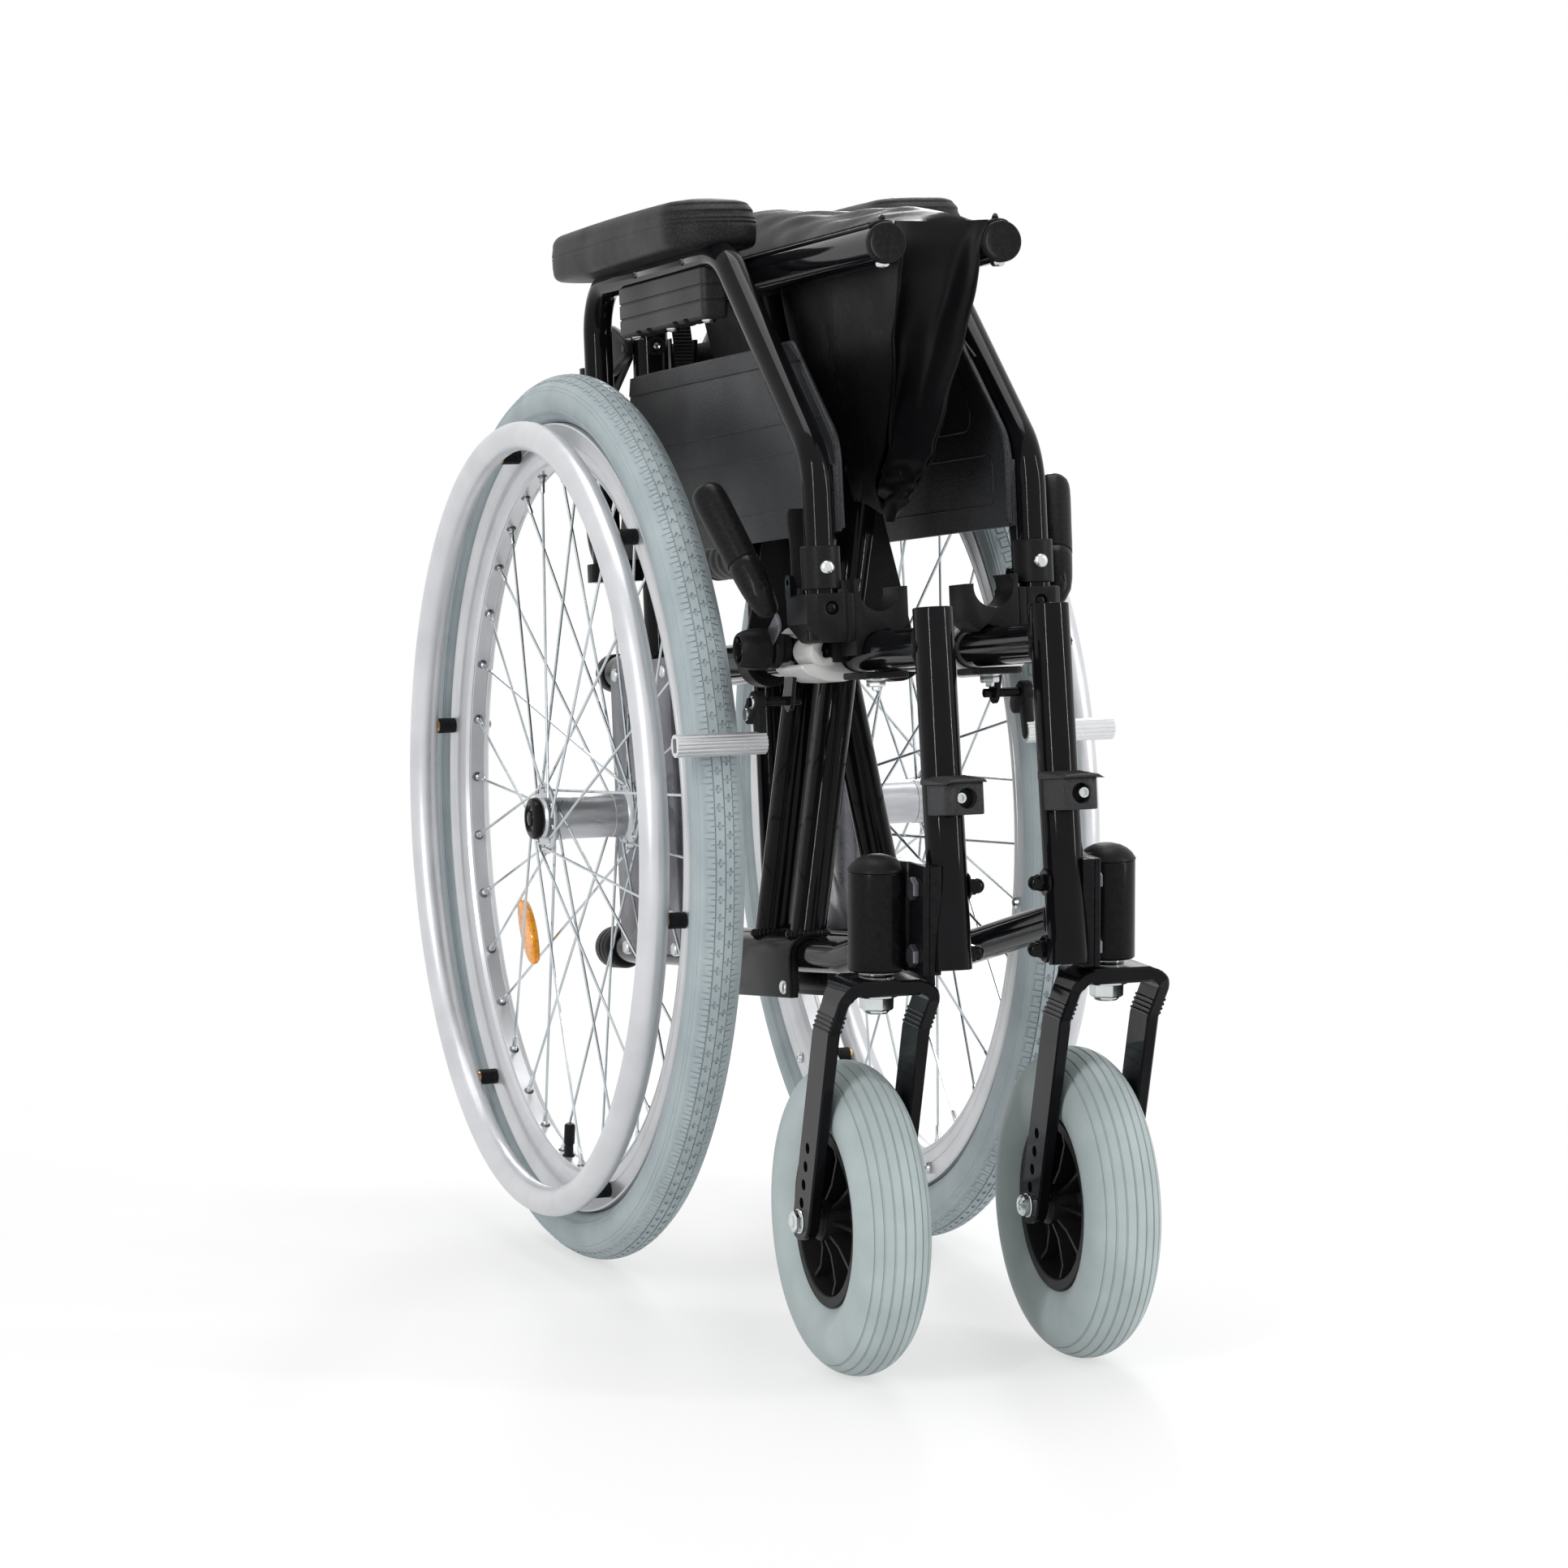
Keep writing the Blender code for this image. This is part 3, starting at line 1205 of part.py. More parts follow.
def build_side(prefix, side, stance, leaning):
    node(prefix + "side_frame", side_frame(), gloss_black, leaning, side)
    node(prefix + "front_tube", front_tube(), gloss_black, leaning, side)
    node(prefix + "axle_plate", axle_plate(), dark_plastic, leaning, side)
    node(prefix + "axle_pin", axle_pin(), dark_plastic, stance, side)
    node(prefix + "front_latch", front_latch(), dark_plastic, leaning, side)
    node(prefix + "rail_cradle", rail_cradle(), dark_plastic, leaning, side)
    node(prefix + "arm_socket", arm_socket(), dark_plastic, leaning, side)
    node(prefix + "arm_release", arm_release(), dark_plastic, leaning, side,
         (arm_x, release_pivot_y, release_pivot_z))
    node(prefix + "brake_clamp", brake_clamp(), cast_grey, leaning, side)
    node(prefix + "back_cane", back_cane(), gloss_black, leaning, side)
    lever_pivot = (knob_outer_x, brake_pivot_y, brake_pivot_z)
    node(prefix + "brake_lever", brake_lever(), dark_plastic, leaning, side, lever_pivot)
    node(prefix + "brake_shoe", brake_shoe(), satin_silver, leaning, side,
         (shoe_eye_inner_x, shoe_pivot_y, shoe_pivot_z))
    node(prefix + "arm_tube", arm_tube(), gloss_black, leaning, side, (arm_x, arm_post_y, arm_post_bottom))
    node(prefix + "arm_pad", arm_pad(), soft_black, leaning, side, (arm_x, arm_post_y, arm_post_bottom))
    node(prefix + "arm_panel", arm_panel(), dark_plastic, leaning, side, (arm_x, arm_post_y, arm_post_bottom))
    node(prefix + "upper_cane", upper_cane(), gloss_black, leaning, side, (cane_x, hinge_y, hinge_z))
    node(prefix + "push_grip", push_grip(), soft_black, leaning, side, (cane_x, hinge_y, hinge_z))
    node(prefix + "fold_lever", fold_lever(), dark_plastic, leaning, side,
         (cane_x, fold_lever_pivot_y, fold_lever_pivot_z))
    node(prefix + "caster_housing", caster_housing(), gloss_black, stance, side)
    node(prefix + "caster_fork", caster_fork(), gloss_black, stance, side,
         (caster_axis_x, caster_stem_y, fork_crown_top))
    caster_centre = (caster_axis_x, caster_axle_y, caster_radius)
    node(prefix + "caster_tyre", caster_tyre(), grey_rubber, stance, side, caster_centre)
    node(prefix + "caster_hub", caster_hub(), dark_plastic, stance, side, caster_centre)
    wheel_centre = (wheel_plane_x, 0.0, wheel_radius)
    node(prefix + "wheel_tyre", wheel_tyre(), grey_rubber, stance, side, wheel_centre)
    node(prefix + "wheel_rim", wheel_rim(), satin_silver, stance, side, wheel_centre)
    node(prefix + "wheel_hub", wheel_hub(), satin_silver, stance, side, wheel_centre)
    node(prefix + "handrim", handrim(), satin_silver, stance, side, wheel_centre)


def build_middle(leaning):
    foot = (-tube_x, single_leg_y, lower_tube_z)
    middle = leg_spot(0.5)
    centre = (middle.x, single_leg_y, middle.y)
    node("double_brace", double_brace(), gloss_black, leaning, 1, foot)
    node("single_brace", single_brace(), gloss_black, leaning, -1, centre)
    node("left_link", link(left_link_y, -1, double_leg_front_y), gloss_black, leaning, 1,
         (tube_x, left_link_y, seat_tube_z))
    node("right_link", link(right_link_y, -1, single_leg_y), gloss_black, leaning, -1,
         (tube_x, right_link_y, seat_tube_z))
    node("left_seat_cloth", sling_leaf(), black_cloth, leaning, 1, foot)
    node("right_seat_cloth", sling_leaf(), black_cloth, leaning, -1, centre)
    node("back_cloth", back_cloth(), black_cloth, leaning)


def main():
    clear_scene()
    stance = empty("stance", (0, origin_shift, 0), (0, 0, 0), None)
    leaning = empty("leaning_frame", (0, 0, 0), (-frame_tilt, 0, 0), stance)
    for prefix, side in (("right_", -1), ("left_", 1)):
        build_side(prefix, side, stance, leaning)
    build_middle(leaning)
    bpy.context.view_layer.update()


main()
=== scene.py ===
import bpy
import bmesh
from math import acos, atan2, cos, exp, pi, radians, sin, sqrt, tau
from mathutils import Matrix, Vector, noise


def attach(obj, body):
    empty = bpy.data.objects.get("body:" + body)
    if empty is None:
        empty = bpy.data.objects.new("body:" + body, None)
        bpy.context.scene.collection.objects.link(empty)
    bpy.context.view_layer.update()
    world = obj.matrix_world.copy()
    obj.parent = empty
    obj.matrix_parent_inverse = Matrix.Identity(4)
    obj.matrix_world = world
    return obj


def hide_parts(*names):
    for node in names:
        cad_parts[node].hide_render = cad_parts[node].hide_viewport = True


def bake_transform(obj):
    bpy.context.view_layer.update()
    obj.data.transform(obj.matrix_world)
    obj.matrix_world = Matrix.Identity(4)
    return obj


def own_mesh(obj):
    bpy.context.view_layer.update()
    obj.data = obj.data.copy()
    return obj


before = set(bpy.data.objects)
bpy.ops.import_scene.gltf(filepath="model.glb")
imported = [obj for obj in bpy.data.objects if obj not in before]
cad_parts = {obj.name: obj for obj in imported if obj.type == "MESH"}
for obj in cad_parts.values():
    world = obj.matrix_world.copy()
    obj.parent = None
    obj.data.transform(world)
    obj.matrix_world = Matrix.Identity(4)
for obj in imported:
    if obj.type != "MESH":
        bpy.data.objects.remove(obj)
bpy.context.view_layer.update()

# Pieces are drawn upright on the +X side and mirrored for the other; the side frames then lean back.
stance = {"tilt": radians(7.1), "shift": 0.11391746}
standPlace = Matrix.Translation((0, stance["shift"], 0))
leanPlace = standPlace @ Matrix.Rotation(-stance["tilt"], 4, "X")
words = {-1: "right", 1: "left"}
xAxis, yAxis, zAxis = (1, 0, 0), (0, 1, 0), (0, 0, 1)


def placed(side, lean=True):
    return (leanPlace if lean else standPlace) @ Matrix.Diagonal((side, 1.0, 1.0, 1.0))


# Shapes drawn into a bmesh

def joinRings(bm, rings, closed=False):
    pairs = list(zip(rings, rings[1:])) + ([(rings[-1], rings[0])] if closed else [])
    count = max(len(ring) for ring in rings)
    for ring, following in pairs:
        for step in range(count):
            later = (step + 1) % count
            corners = list(dict.fromkeys([
                ring[step % len(ring)], ring[later % len(ring)],
                following[later % len(following)], following[step % len(following)]]))
            if len(corners) > 2:
                bm.faces.new(corners)


def capRings(bm, rings):
    # Joined rings with a face over each end that isn't a pole.
    joinRings(bm, rings)
    for ring in (rings[0], rings[-1]):
        if len(ring) > 2:
            bm.faces.new(ring)
    return bm


def loft(bm, rows):
    # A closed form through rows of places.
    return capRings(bm, [[bm.verts.new(spot) for spot in row] for row in rows])


def ringAt(bm, centre, across, up, radius, count):
    angles = [tau * step / count for step in range(count)]
    return [bm.verts.new(centre + (across * cos(angle) + up * sin(angle)) * radius) for angle in angles]


def sweepTube(bm, path, radius, count=28):
    # A round tube along the path; radius is one number or one for each point.
    path = [Vector(point) for point in path]
    radii = radius if isinstance(radius, (list, tuple)) else [radius] * len(path)
    rings, across = [], None
    for number, point in enumerate(path):
        incoming = (point - path[number - 1]).normalized() if number else None
        outgoing = (path[number + 1] - point).normalized() if number + 1 < len(path) else None
        run = ((incoming or outgoing) + (outgoing or incoming)).normalized()
        if across is None:
            across = Vector(xAxis if abs(run.x) < 0.9 else yAxis)
        across = (across - run * across.dot(run)).normalized()
        rings.append(ringAt(bm, point, across, run.cross(across), radii[number], count))
    return capRings(bm, rings)


def turn(bm, profile, centre, axis, count=48, closed=False):
    # profile holds (radius, distance along the axis); radius 0 is a pole.
    axis = Vector(axis).normalized()
    across = Vector(zAxis if abs(axis.z) < 0.9 else yAxis)
    across = (across - axis * across.dot(axis)).normalized()
    rings = [ringAt(bm, Vector(centre) + axis * along, across, axis.cross(across), radius,
                    count if radius > 1e-7 else 1) for radius, along in profile]
    if not closed:
        return capRings(bm, rings)
    joinRings(bm, rings, True)
    return bm


def turned(profile, centre, axis, count=48, closed=False):
    return turn(bmesh.new(), profile, centre, axis, count, closed)


def rod(radius, low, high, centre, axis, count=28):
    # A plain cylinder, for cutting holes.
    return turned([(radius, low), (radius, high)], centre, axis, count)


def extrude(bm, outline, axis, low, high):
    # outline lies across the axis: (y, z) for X, (x, z) for Y and (x, y) for Z.
    order = {"X": (2, 0, 1), "Y": (0, 2, 1), "Z": (0, 1, 2)}[axis]
    return loft(bm, [[[(a, b, along)[at] for at in order] for a, b in outline] for along in (low, high)])


def block(bm, low, high):
    plan = [(low[0], low[1]), (high[0], low[1]), (high[0], high[1]), (low[0], high[1])]
    return extrude(bm, plan, "Z", low[2], high[2])


def ball(bm, radius, place, segments, rings):
    bmesh.ops.create_uvsphere(bm, u_segments=segments, v_segments=rings, radius=radius, matrix=place)
    return bm


def cornerArc(before, spot, after, radius):
    # Half the corner's angle, the arc's centre, and its ends as seen from there.
    spot = Vector(spot)
    back, ahead = (Vector(before) - spot).normalized(), (Vector(after) - spot).normalized()
    half = acos(max(-1.0, min(1.0, back.dot(ahead)))) / 2
    centre = spot + (back + ahead).normalized() * (radius / sin(half))
    reach = radius * cos(half) / sin(half)
    return half, centre, spot + back * reach - centre, spot + ahead * reach - centre


def bend(points, radii, steps=8):
    # The polyline with an arc of the given radius at each inner corner.
    path = [Vector(points[0])]
    for before, spot, after, radius in zip(points, points[1:], points[2:], radii):
        half, centre, start, finish = cornerArc(before, spot, after, radius)
        normal = start.cross(finish).normalized()
        for step in range(steps + 1):
            path.append(centre + Matrix.Rotation((pi - 2 * half) * step / steps, 3, normal) @ start)
    return path + [Vector(points[-1])]


def roundOutline(points, radii, steps=5):
    # A closed outline with rounded corners; radii is one number or one for each corner.
    if not isinstance(radii, (list, tuple)):
        radii = [radii] * len(points)
    made = []
    for number, (spot, radius) in enumerate(zip(points, radii)):
        half, centre, start, finish = cornerArc(points[number - 1], spot,
                                                points[(number + 1) % len(points)], radius)
        if radius <= 0 or half > pi / 2 - 0.02:
            made.append(Vector(spot))
            continue
        sweep = atan2(start.x * finish.y - start.y * finish.x, start.dot(finish))
        made += [centre + Matrix.Rotation(sweep * step / steps, 2) @ start for step in range(steps + 1)]
    return [(point.x, point.y) for point in made]


def arc(centre, reach, first, last, steps):
    # Spots on an arc, or on an ellipse where reach is a pair.
    wide, high = reach if isinstance(reach, tuple) else (reach, reach)
    angles = [first + (last - first) * step / steps for step in range(steps + 1)]
    return [(centre[0] + wide * cos(angle), centre[1] + high * sin(angle)) for angle in angles]


def smoothLoop(points, steps):
    # A closed curve through the points.
    points = [Vector(point) for point in points]
    made, count = [], len(points)
    for number in range(count):
        a, b, c, d = (points[(number + shift) % count] for shift in (-1, 0, 1, 2))
        for step in range(steps):
            t = step / steps
            square, cube = 2 * a - 5 * b + 4 * c - d, 3 * b - a - 3 * c + d
            spot = 2 * b + (c - a) * t + square * t * t + cube * t ** 3
            made.append((spot.x / 2, spot.y / 2))
    return made


def mirroredRows(profile, skip=1):
    # The profile with its own mirror image behind it, for a shape the same on both sides of its middle.
    return profile + [(radius, -along) for radius, along in reversed(profile[skip:])]


# Turning a drawn shape into a finished piece

def linked(name, data):
    made = bpy.data.objects.new(name, data)
    bpy.context.scene.collection.objects.link(made)
    return made


def meshObject(name, bm):
    mesh = bpy.data.meshes.new(name)
    bm.to_mesh(mesh)
    bm.free()
    return linked(name, mesh)


def bareObject(name, bm, place=None):
    if place is not None:
        bm.transform(place)
    bmesh.ops.remove_doubles(bm, verts=bm.verts, dist=1e-7)
    bmesh.ops.recalc_face_normals(bm, faces=bm.faces)
    return meshObject(name, bm)


def drop(*items):
    for item in items:
        bpy.data.objects.remove(item, do_unlink=True)


def modify(item, kind, **settings):
    change = item.modifiers.new(kind.lower(), kind)
    for name, value in settings.items():
        setattr(change, name, value)


def settled(item):
    # The object with its modifiers worked into a plain mesh.
    graph = bpy.context.evaluated_depsgraph_get()
    graph.update()
    mesh = bpy.data.meshes.new_from_object(item.evaluated_get(graph))
    item.modifiers.clear()
    item.data = mesh
    mesh.name = item.name
    return item


def unite(name, items):
    bm = bmesh.new()
    for item in items:
        bm.from_mesh(item.data)
    drop(*items)
    return meshObject(name, bm)


def hang(item, body, finish, smooth=35, nodes=()):
    # Shades a finished piece, and hangs it on its body.
    item.data.materials.clear()
    item.data.materials.append(finishes[finish])
    item.data.shade_smooth()
    item.data.set_sharp_from_angle(angle=radians(smooth))
    if body:
        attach(item, body)
    if nodes:
        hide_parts(*nodes)
    return item


def piece(name, bm, side, body, finish, lean=True, bevel=0.0, steps=2, smooth=35, slot=None, nodes=(),
          holes=()):
    # Mirrors, cuts and bevels a drawn shape.
    place = placed(side, lean)
    item = bareObject(name, bm, place)
    if holes:
        cutters = [bareObject("cutter", hole, place) for hole in holes]
        for cutter in cutters:
            modify(item, "BOOLEAN", operation="DIFFERENCE", solver="EXACT", object=cutter)
        settled(item)
        drop(*cutters)
    if bevel:
        modify(item, "BEVEL", width=bevel, segments=steps, limit_method="ANGLE", angle_limit=radians(32))
        settled(item)
    return hang(item, body, finish, smooth, nodes)


def part(label, bm, side, body, finish, node=None, **how):
    # A piece whose name, body and node start with the word of its side.
    word = words[side]
    nodes = [word + "_" + node] if node else ()
    return piece(word + label, bm, side, word + "_" + body, finish, nodes=nodes, **how)


# Geometry Nodes trees for what repeats

def addNode(tree, kind, inputs=(), **settings):
    node = tree.nodes.new(kind)
    for name, value in settings.items():
        setattr(node, name, value)
    for name, value in dict(inputs).items():
        node.inputs[name].default_value = value
    return node


def wire(tree, *links):
    for source, outlet, target, inlet in links:
        tree.links.new(source.outputs[outlet], target.inputs[inlet])


def startTree(name, inputs):
    tree = bpy.data.node_groups.new(name, "GeometryNodeTree")
    for label, (kind, value) in {"Geometry": ("Geometry", None), **inputs,
                                 "Material": ("Material", None)}.items():
        socket = tree.interface.new_socket(name=label, in_out="INPUT", socket_type="NodeSocket" + kind)
        if value is not None:
            socket.default_value = value
    tree.interface.new_socket(name="Geometry", in_out="OUTPUT", socket_type="NodeSocketGeometry")
    return tree, tree.nodes.new("NodeGroupInput")


def endTree(tree, given, spread):
    realize, paint = addNode(tree, "GeometryNodeRealizeInstances"), addNode(tree, "GeometryNodeSetMaterial")
    wire(tree, (spread, 0, realize, 0), (realize, 0, paint, 0), (given, "Material", paint, "Material"),
         (paint, 0, tree.nodes.new("NodeGroupOutput"), 0))
    return tree


def makeRoundTree():
    # Repeats the drawn piece about an axle that runs along X through Centre.
    tree, given = startTree("repeatRoundAxle", {
        "Count": ("Int", 6), "First Angle": ("Float", 0.0), "Centre": ("Vector", None)})
    points, index = addNode(tree, "GeometryNodePoints"), addNode(tree, "GeometryNodeInputIndex")
    share = addNode(tree, "ShaderNodeMath", operation="DIVIDE")
    angle = addNode(tree, "ShaderNodeMath", {1: tau}, operation="MULTIPLY_ADD")
    about, rotation = addNode(tree, "ShaderNodeCombineXYZ"), addNode(tree, "FunctionNodeEulerToRotation")
    home = addNode(tree, "ShaderNodeVectorMath", operation="SCALE")
    home.inputs["Scale"].default_value = -1.0
    shifted, spread = addNode(tree, "GeometryNodeTransform"), addNode(tree, "GeometryNodeInstanceOnPoints")
    wire(tree, (given, "Count", points, "Count"), (given, "Centre", points, "Position"),
         (index, 0, share, 0), (given, "Count", share, 1), (share, 0, angle, 0),
         (given, "First Angle", angle, 2), (angle, 0, about, "X"), (about, 0, rotation, "Euler"),
         (given, "Centre", home, 0), (given, "Geometry", shifted, "Geometry"),
         (home, 0, shifted, "Translation"), (points, 0, spread, "Points"), (shifted, 0, spread, "Instance"),
         (rotation, 0, spread, "Rotation"))
    return endTree(tree, given, spread)


def makeAlongTree():
    # Sets the named piece along a drawn path, one every Spacing, its X axis along the path.
    tree, given = startTree("repeatAlongPath", {
        "Piece": ("Object", None), "Spacing": ("Float", 0.01), "Size Change": ("Float", 0.0),
        "Seed": ("Int", 3)})
    curve, info = addNode(tree, "GeometryNodeMeshToCurve"), addNode(tree, "GeometryNodeObjectInfo")
    points = addNode(tree, "GeometryNodeCurveToPoints", mode="LENGTH")
    aim = addNode(tree, "FunctionNodeAlignRotationToVector", axis="X")
    least = addNode(tree, "ShaderNodeMath", {0: 1.0}, operation="SUBTRACT")
    most = addNode(tree, "ShaderNodeMath", {0: 1.0})
    size, spread = addNode(tree, "FunctionNodeRandomValue"), addNode(tree, "GeometryNodeInstanceOnPoints")
    wire(tree, (given, "Geometry", curve, "Mesh"), (curve, 0, points, "Curve"),
         (given, "Spacing", points, "Length"), (given, "Piece", info, "Object"),
         (points, "Tangent", aim, "Vector"), (given, "Size Change", least, 1),
         (given, "Size Change", most, 1), (given, "Seed", size, "Seed"), (points, 0, spread, "Points"),
         (info, "Geometry", spread, "Instance"), (aim, 0, spread, "Rotation"))
    floats = [socket for socket in size.inputs if socket.type == "VALUE"]
    for limit, socket in zip((least, most), floats):
        tree.links.new(limit.outputs[0], socket)
    tree.links.new([socket for socket in size.outputs if socket.type == "VALUE"][0], spread.inputs["Scale"])
    return endTree(tree, given, spread)


def makeFacingTree():
    # Sets the named piece on each drawn point, its Z axis along the point's own facing.
    tree, given = startTree("repeatOnPoints", {"Piece": ("Object", None)})
    info = addNode(tree, "GeometryNodeObjectInfo")
    facing = addNode(tree, "GeometryNodeInputNamedAttribute", {"Name": "facing"}, data_type="FLOAT_VECTOR")
    aim = addNode(tree, "FunctionNodeAlignRotationToVector", axis="Z")
    spread = addNode(tree, "GeometryNodeInstanceOnPoints")
    wire(tree, (given, "Piece", info, "Object"), (facing, "Attribute", aim, "Vector"),
         (given, "Geometry", spread, "Points"), (info, "Geometry", spread, "Instance"),
         (aim, 0, spread, "Rotation"))
    return endTree(tree, given, spread)


trees = {"round": makeRoundTree(), "along": makeAlongTree(), "facing": makeFacingTree()}


def runTree(item, kind, finish, values):
    change = item.modifiers.new(kind, "NODES")
    change.node_group = trees[kind]
    values["Material"] = finishes[finish]
    for socket in trees[kind].interface.items_tree:
        if socket.in_out == "INPUT" and socket.name in values:
            change[socket.identifier] = values[socket.name]
    return settled(item)


def repeatRound(name, bm, side, count, first, centre, finish):
    # Drawn on the +X side, mirrored, then repeated about the axle through centre.
    place = placed(side, False)
    item = bareObject(name, bm, place)
    return runTree(item, "round", finish,
                   {"Count": count, "First Angle": first, "Centre": place @ Vector(centre)})


def repeatAlong(name, path, bead, spacing, change, finish, seed=3):
    bm = bmesh.new()
    spots = [bm.verts.new(point) for point in path]
    for pair in zip(spots, spots[1:]):
        bm.edges.new(pair)
    values = {"Piece": bead, "Spacing": spacing, "Size Change": change, "Seed": seed}
    return runTree(meshObject(name, bm), "along", finish, values)


def fasten(name, spots, kind, side, body, finish="zinc", lean=True):
    # Screws or nuts on (place, facing) spots, drawn on the +X side.
    place = placed(side, lean)
    mesh = bpy.data.meshes.new(name)
    mesh.from_pydata([place @ Vector(spot) for spot, facing in spots], [], [])
    made = mesh.attributes.new("facing", "FLOAT_VECTOR", "POINT")
    for number, (spot, facing) in enumerate(spots):
        made.data[number].vector = (place.to_3x3() @ Vector(facing)).normalized()
    hang(runTree(linked(name, mesh), "facing", finish, {"Piece": fasteners[kind]}), body, finish, 30)


# Materials

slots = {"tyre": "grey_tyre", "casterTyre": "grey_tyre", "cast": "cast_alloy", "nylon": "seat_fabric",
         "pad": "soft_pad", **dict.fromkeys(("gloss", "satinBlack"), "gloss_paint"),
         **dict.fromkeys(("satin", "alloy", "zinc", "spoke", "graphite", "extruded", "brass", "reflector"),
                         "satin_alloy")}


def surface(name, colour, sockets=()):
    # sockets holds the shader's other inputs by name.
    made = bpy.data.materials.new(name)
    made.use_nodes = True
    shader = made.node_tree.nodes["Principled BSDF"]
    for label, value in {"Base Color": (*colour, 1.0), **dict(sockets)}.items():
        shader.inputs[label].default_value = value
    return made.node_tree, shader


def objectSpace(tree, stretch=(1, 1, 1)):
    where, mapping = addNode(tree, "ShaderNodeTexCoord"), addNode(tree, "ShaderNodeMapping",
                                                                  {"Scale": stretch})
    wire(tree, (where, "Object", mapping, "Vector"))
    return mapping.outputs["Vector"]


def grain(tree, vector, scale, detail=2.0):
    # Noise of this detail, or rounded cells where detail is 0.
    texture = addNode(tree, "ShaderNodeTexNoise" if detail else "ShaderNodeTexVoronoi", {"Scale": scale})
    if detail:
        texture.inputs["Detail"].default_value = detail
    tree.links.new(vector, texture.inputs["Vector"])
    return texture.outputs["Fac" if detail else "Distance"]


def ramp(tree, value, low, high, fromLow=0.3, fromHigh=0.7):
    node = addNode(tree, "ShaderNodeMapRange", {"From Min": fromLow, "From Max": fromHigh, "To Min": low,
                                                "To Max": high})
    tree.links.new(value, node.inputs["Value"])
    return node.outputs["Result"]


def tint(tree, shader, value, dark, light):
    node = addNode(tree, "ShaderNodeMix", data_type="RGBA")
    sockets = [socket for socket in node.inputs if socket.type == "RGBA"]
    sockets[0].default_value, sockets[1].default_value = (*dark, 1.0), (*light, 1.0)
    tree.links.new(value, node.inputs["Factor"])
    colour = [socket for socket in node.outputs if socket.type == "RGBA"][0]
    tree.links.new(colour, shader.inputs["Base Color"])


def roughen(tree, shader, value, low, high):
    tree.links.new(ramp(tree, value, low, high), shader.inputs["Roughness"])


def bump(tree, shader, value, strength, distance, before=None):
    node = addNode(tree, "ShaderNodeBump", {"Strength": strength, "Distance": distance})
    tree.links.new(value, node.inputs["Height"])
    if before is not None:
        tree.links.new(before, node.inputs["Normal"])
    wire(tree, (node, "Normal", shader, "Normal"))
    return node.outputs["Normal"]


def grained(name, dark, light, mottle, wander, rough, fine, strength, depth, stretch=(1, 1, 1), sockets=()):
    # Colour and roughness that wander over the surface, under a fine grain.
    tree, shader = surface(name, light, sockets)
    place = objectSpace(tree)
    tint(tree, shader, ramp(tree, grain(tree, place, *mottle), 0, 1), dark, light)
    roughen(tree, shader, grain(tree, place, *wander), *rough)
    bump(tree, shader, grain(tree, objectSpace(tree, stretch), *fine), strength, depth)
    return bpy.data.materials[name]


def moulded(name, dark, light, rough, scale, depth, specular=0.10):
    return grained(name, dark, light, (scale, 3.0), (14, 3.0), (rough - 0.06, rough + 0.08), (scale, 3.0),
                   0.5, depth, sockets={"Specular IOR Level": specular})


def rubber(name, dark, light, rough):
    return grained(name, dark, light, (34, 5.0), (22, 3.0), (rough - 0.08, rough + 0.08), (900, 2.0), 0.15,
                   0.0003, sockets={"Specular IOR Level": 0.15})


def metal(name, dark, light, low, high, metallic, stretch=(1, 1, 1), depth=0.0002, scale=500):
    return grained(name, dark, light, (26, 5.0), (40, 4.0), (low, high), (scale, 2.0), 0.12, depth, stretch,
                   {"Metallic": metallic})


def makePad():
    tree, shader = surface("pebbledPad", (0.018, 0.018, 0.020), {"Specular IOR Level": 0.22})
    place = objectSpace(tree)
    pebble = grain(tree, place, 620, 0)
    tint(tree, shader, ramp(tree, pebble, 1, 0, 0.1, 0.6), (0.006, 0.006, 0.007), (0.022, 0.022, 0.024))
    roughen(tree, shader, grain(tree, place, 16, 3.0), 0.42, 0.58)
    first = bump(tree, shader, pebble, -0.55, 0.0006)
    bump(tree, shader, grain(tree, place, 1500), 0.2, 0.0003, first)
    return bpy.data.materials["pebbledPad"]


def makeReflector():
    tree, shader = surface("orangeReflector", (1.0, 0.30, 0.01), {
        "Roughness": 0.12, "Coat Weight": 0.8, "Coat Roughness": 0.06})
    cell = grain(tree, objectSpace(tree), 380, 0)
    tint(tree, shader, ramp(tree, cell, 0, 1, 0.0, 0.6), (0.95, 0.19, 0.004), (1.0, 0.42, 0.02))
    bump(tree, shader, cell, 0.6, 0.0006)
    return bpy.data.materials["orangeReflector"]


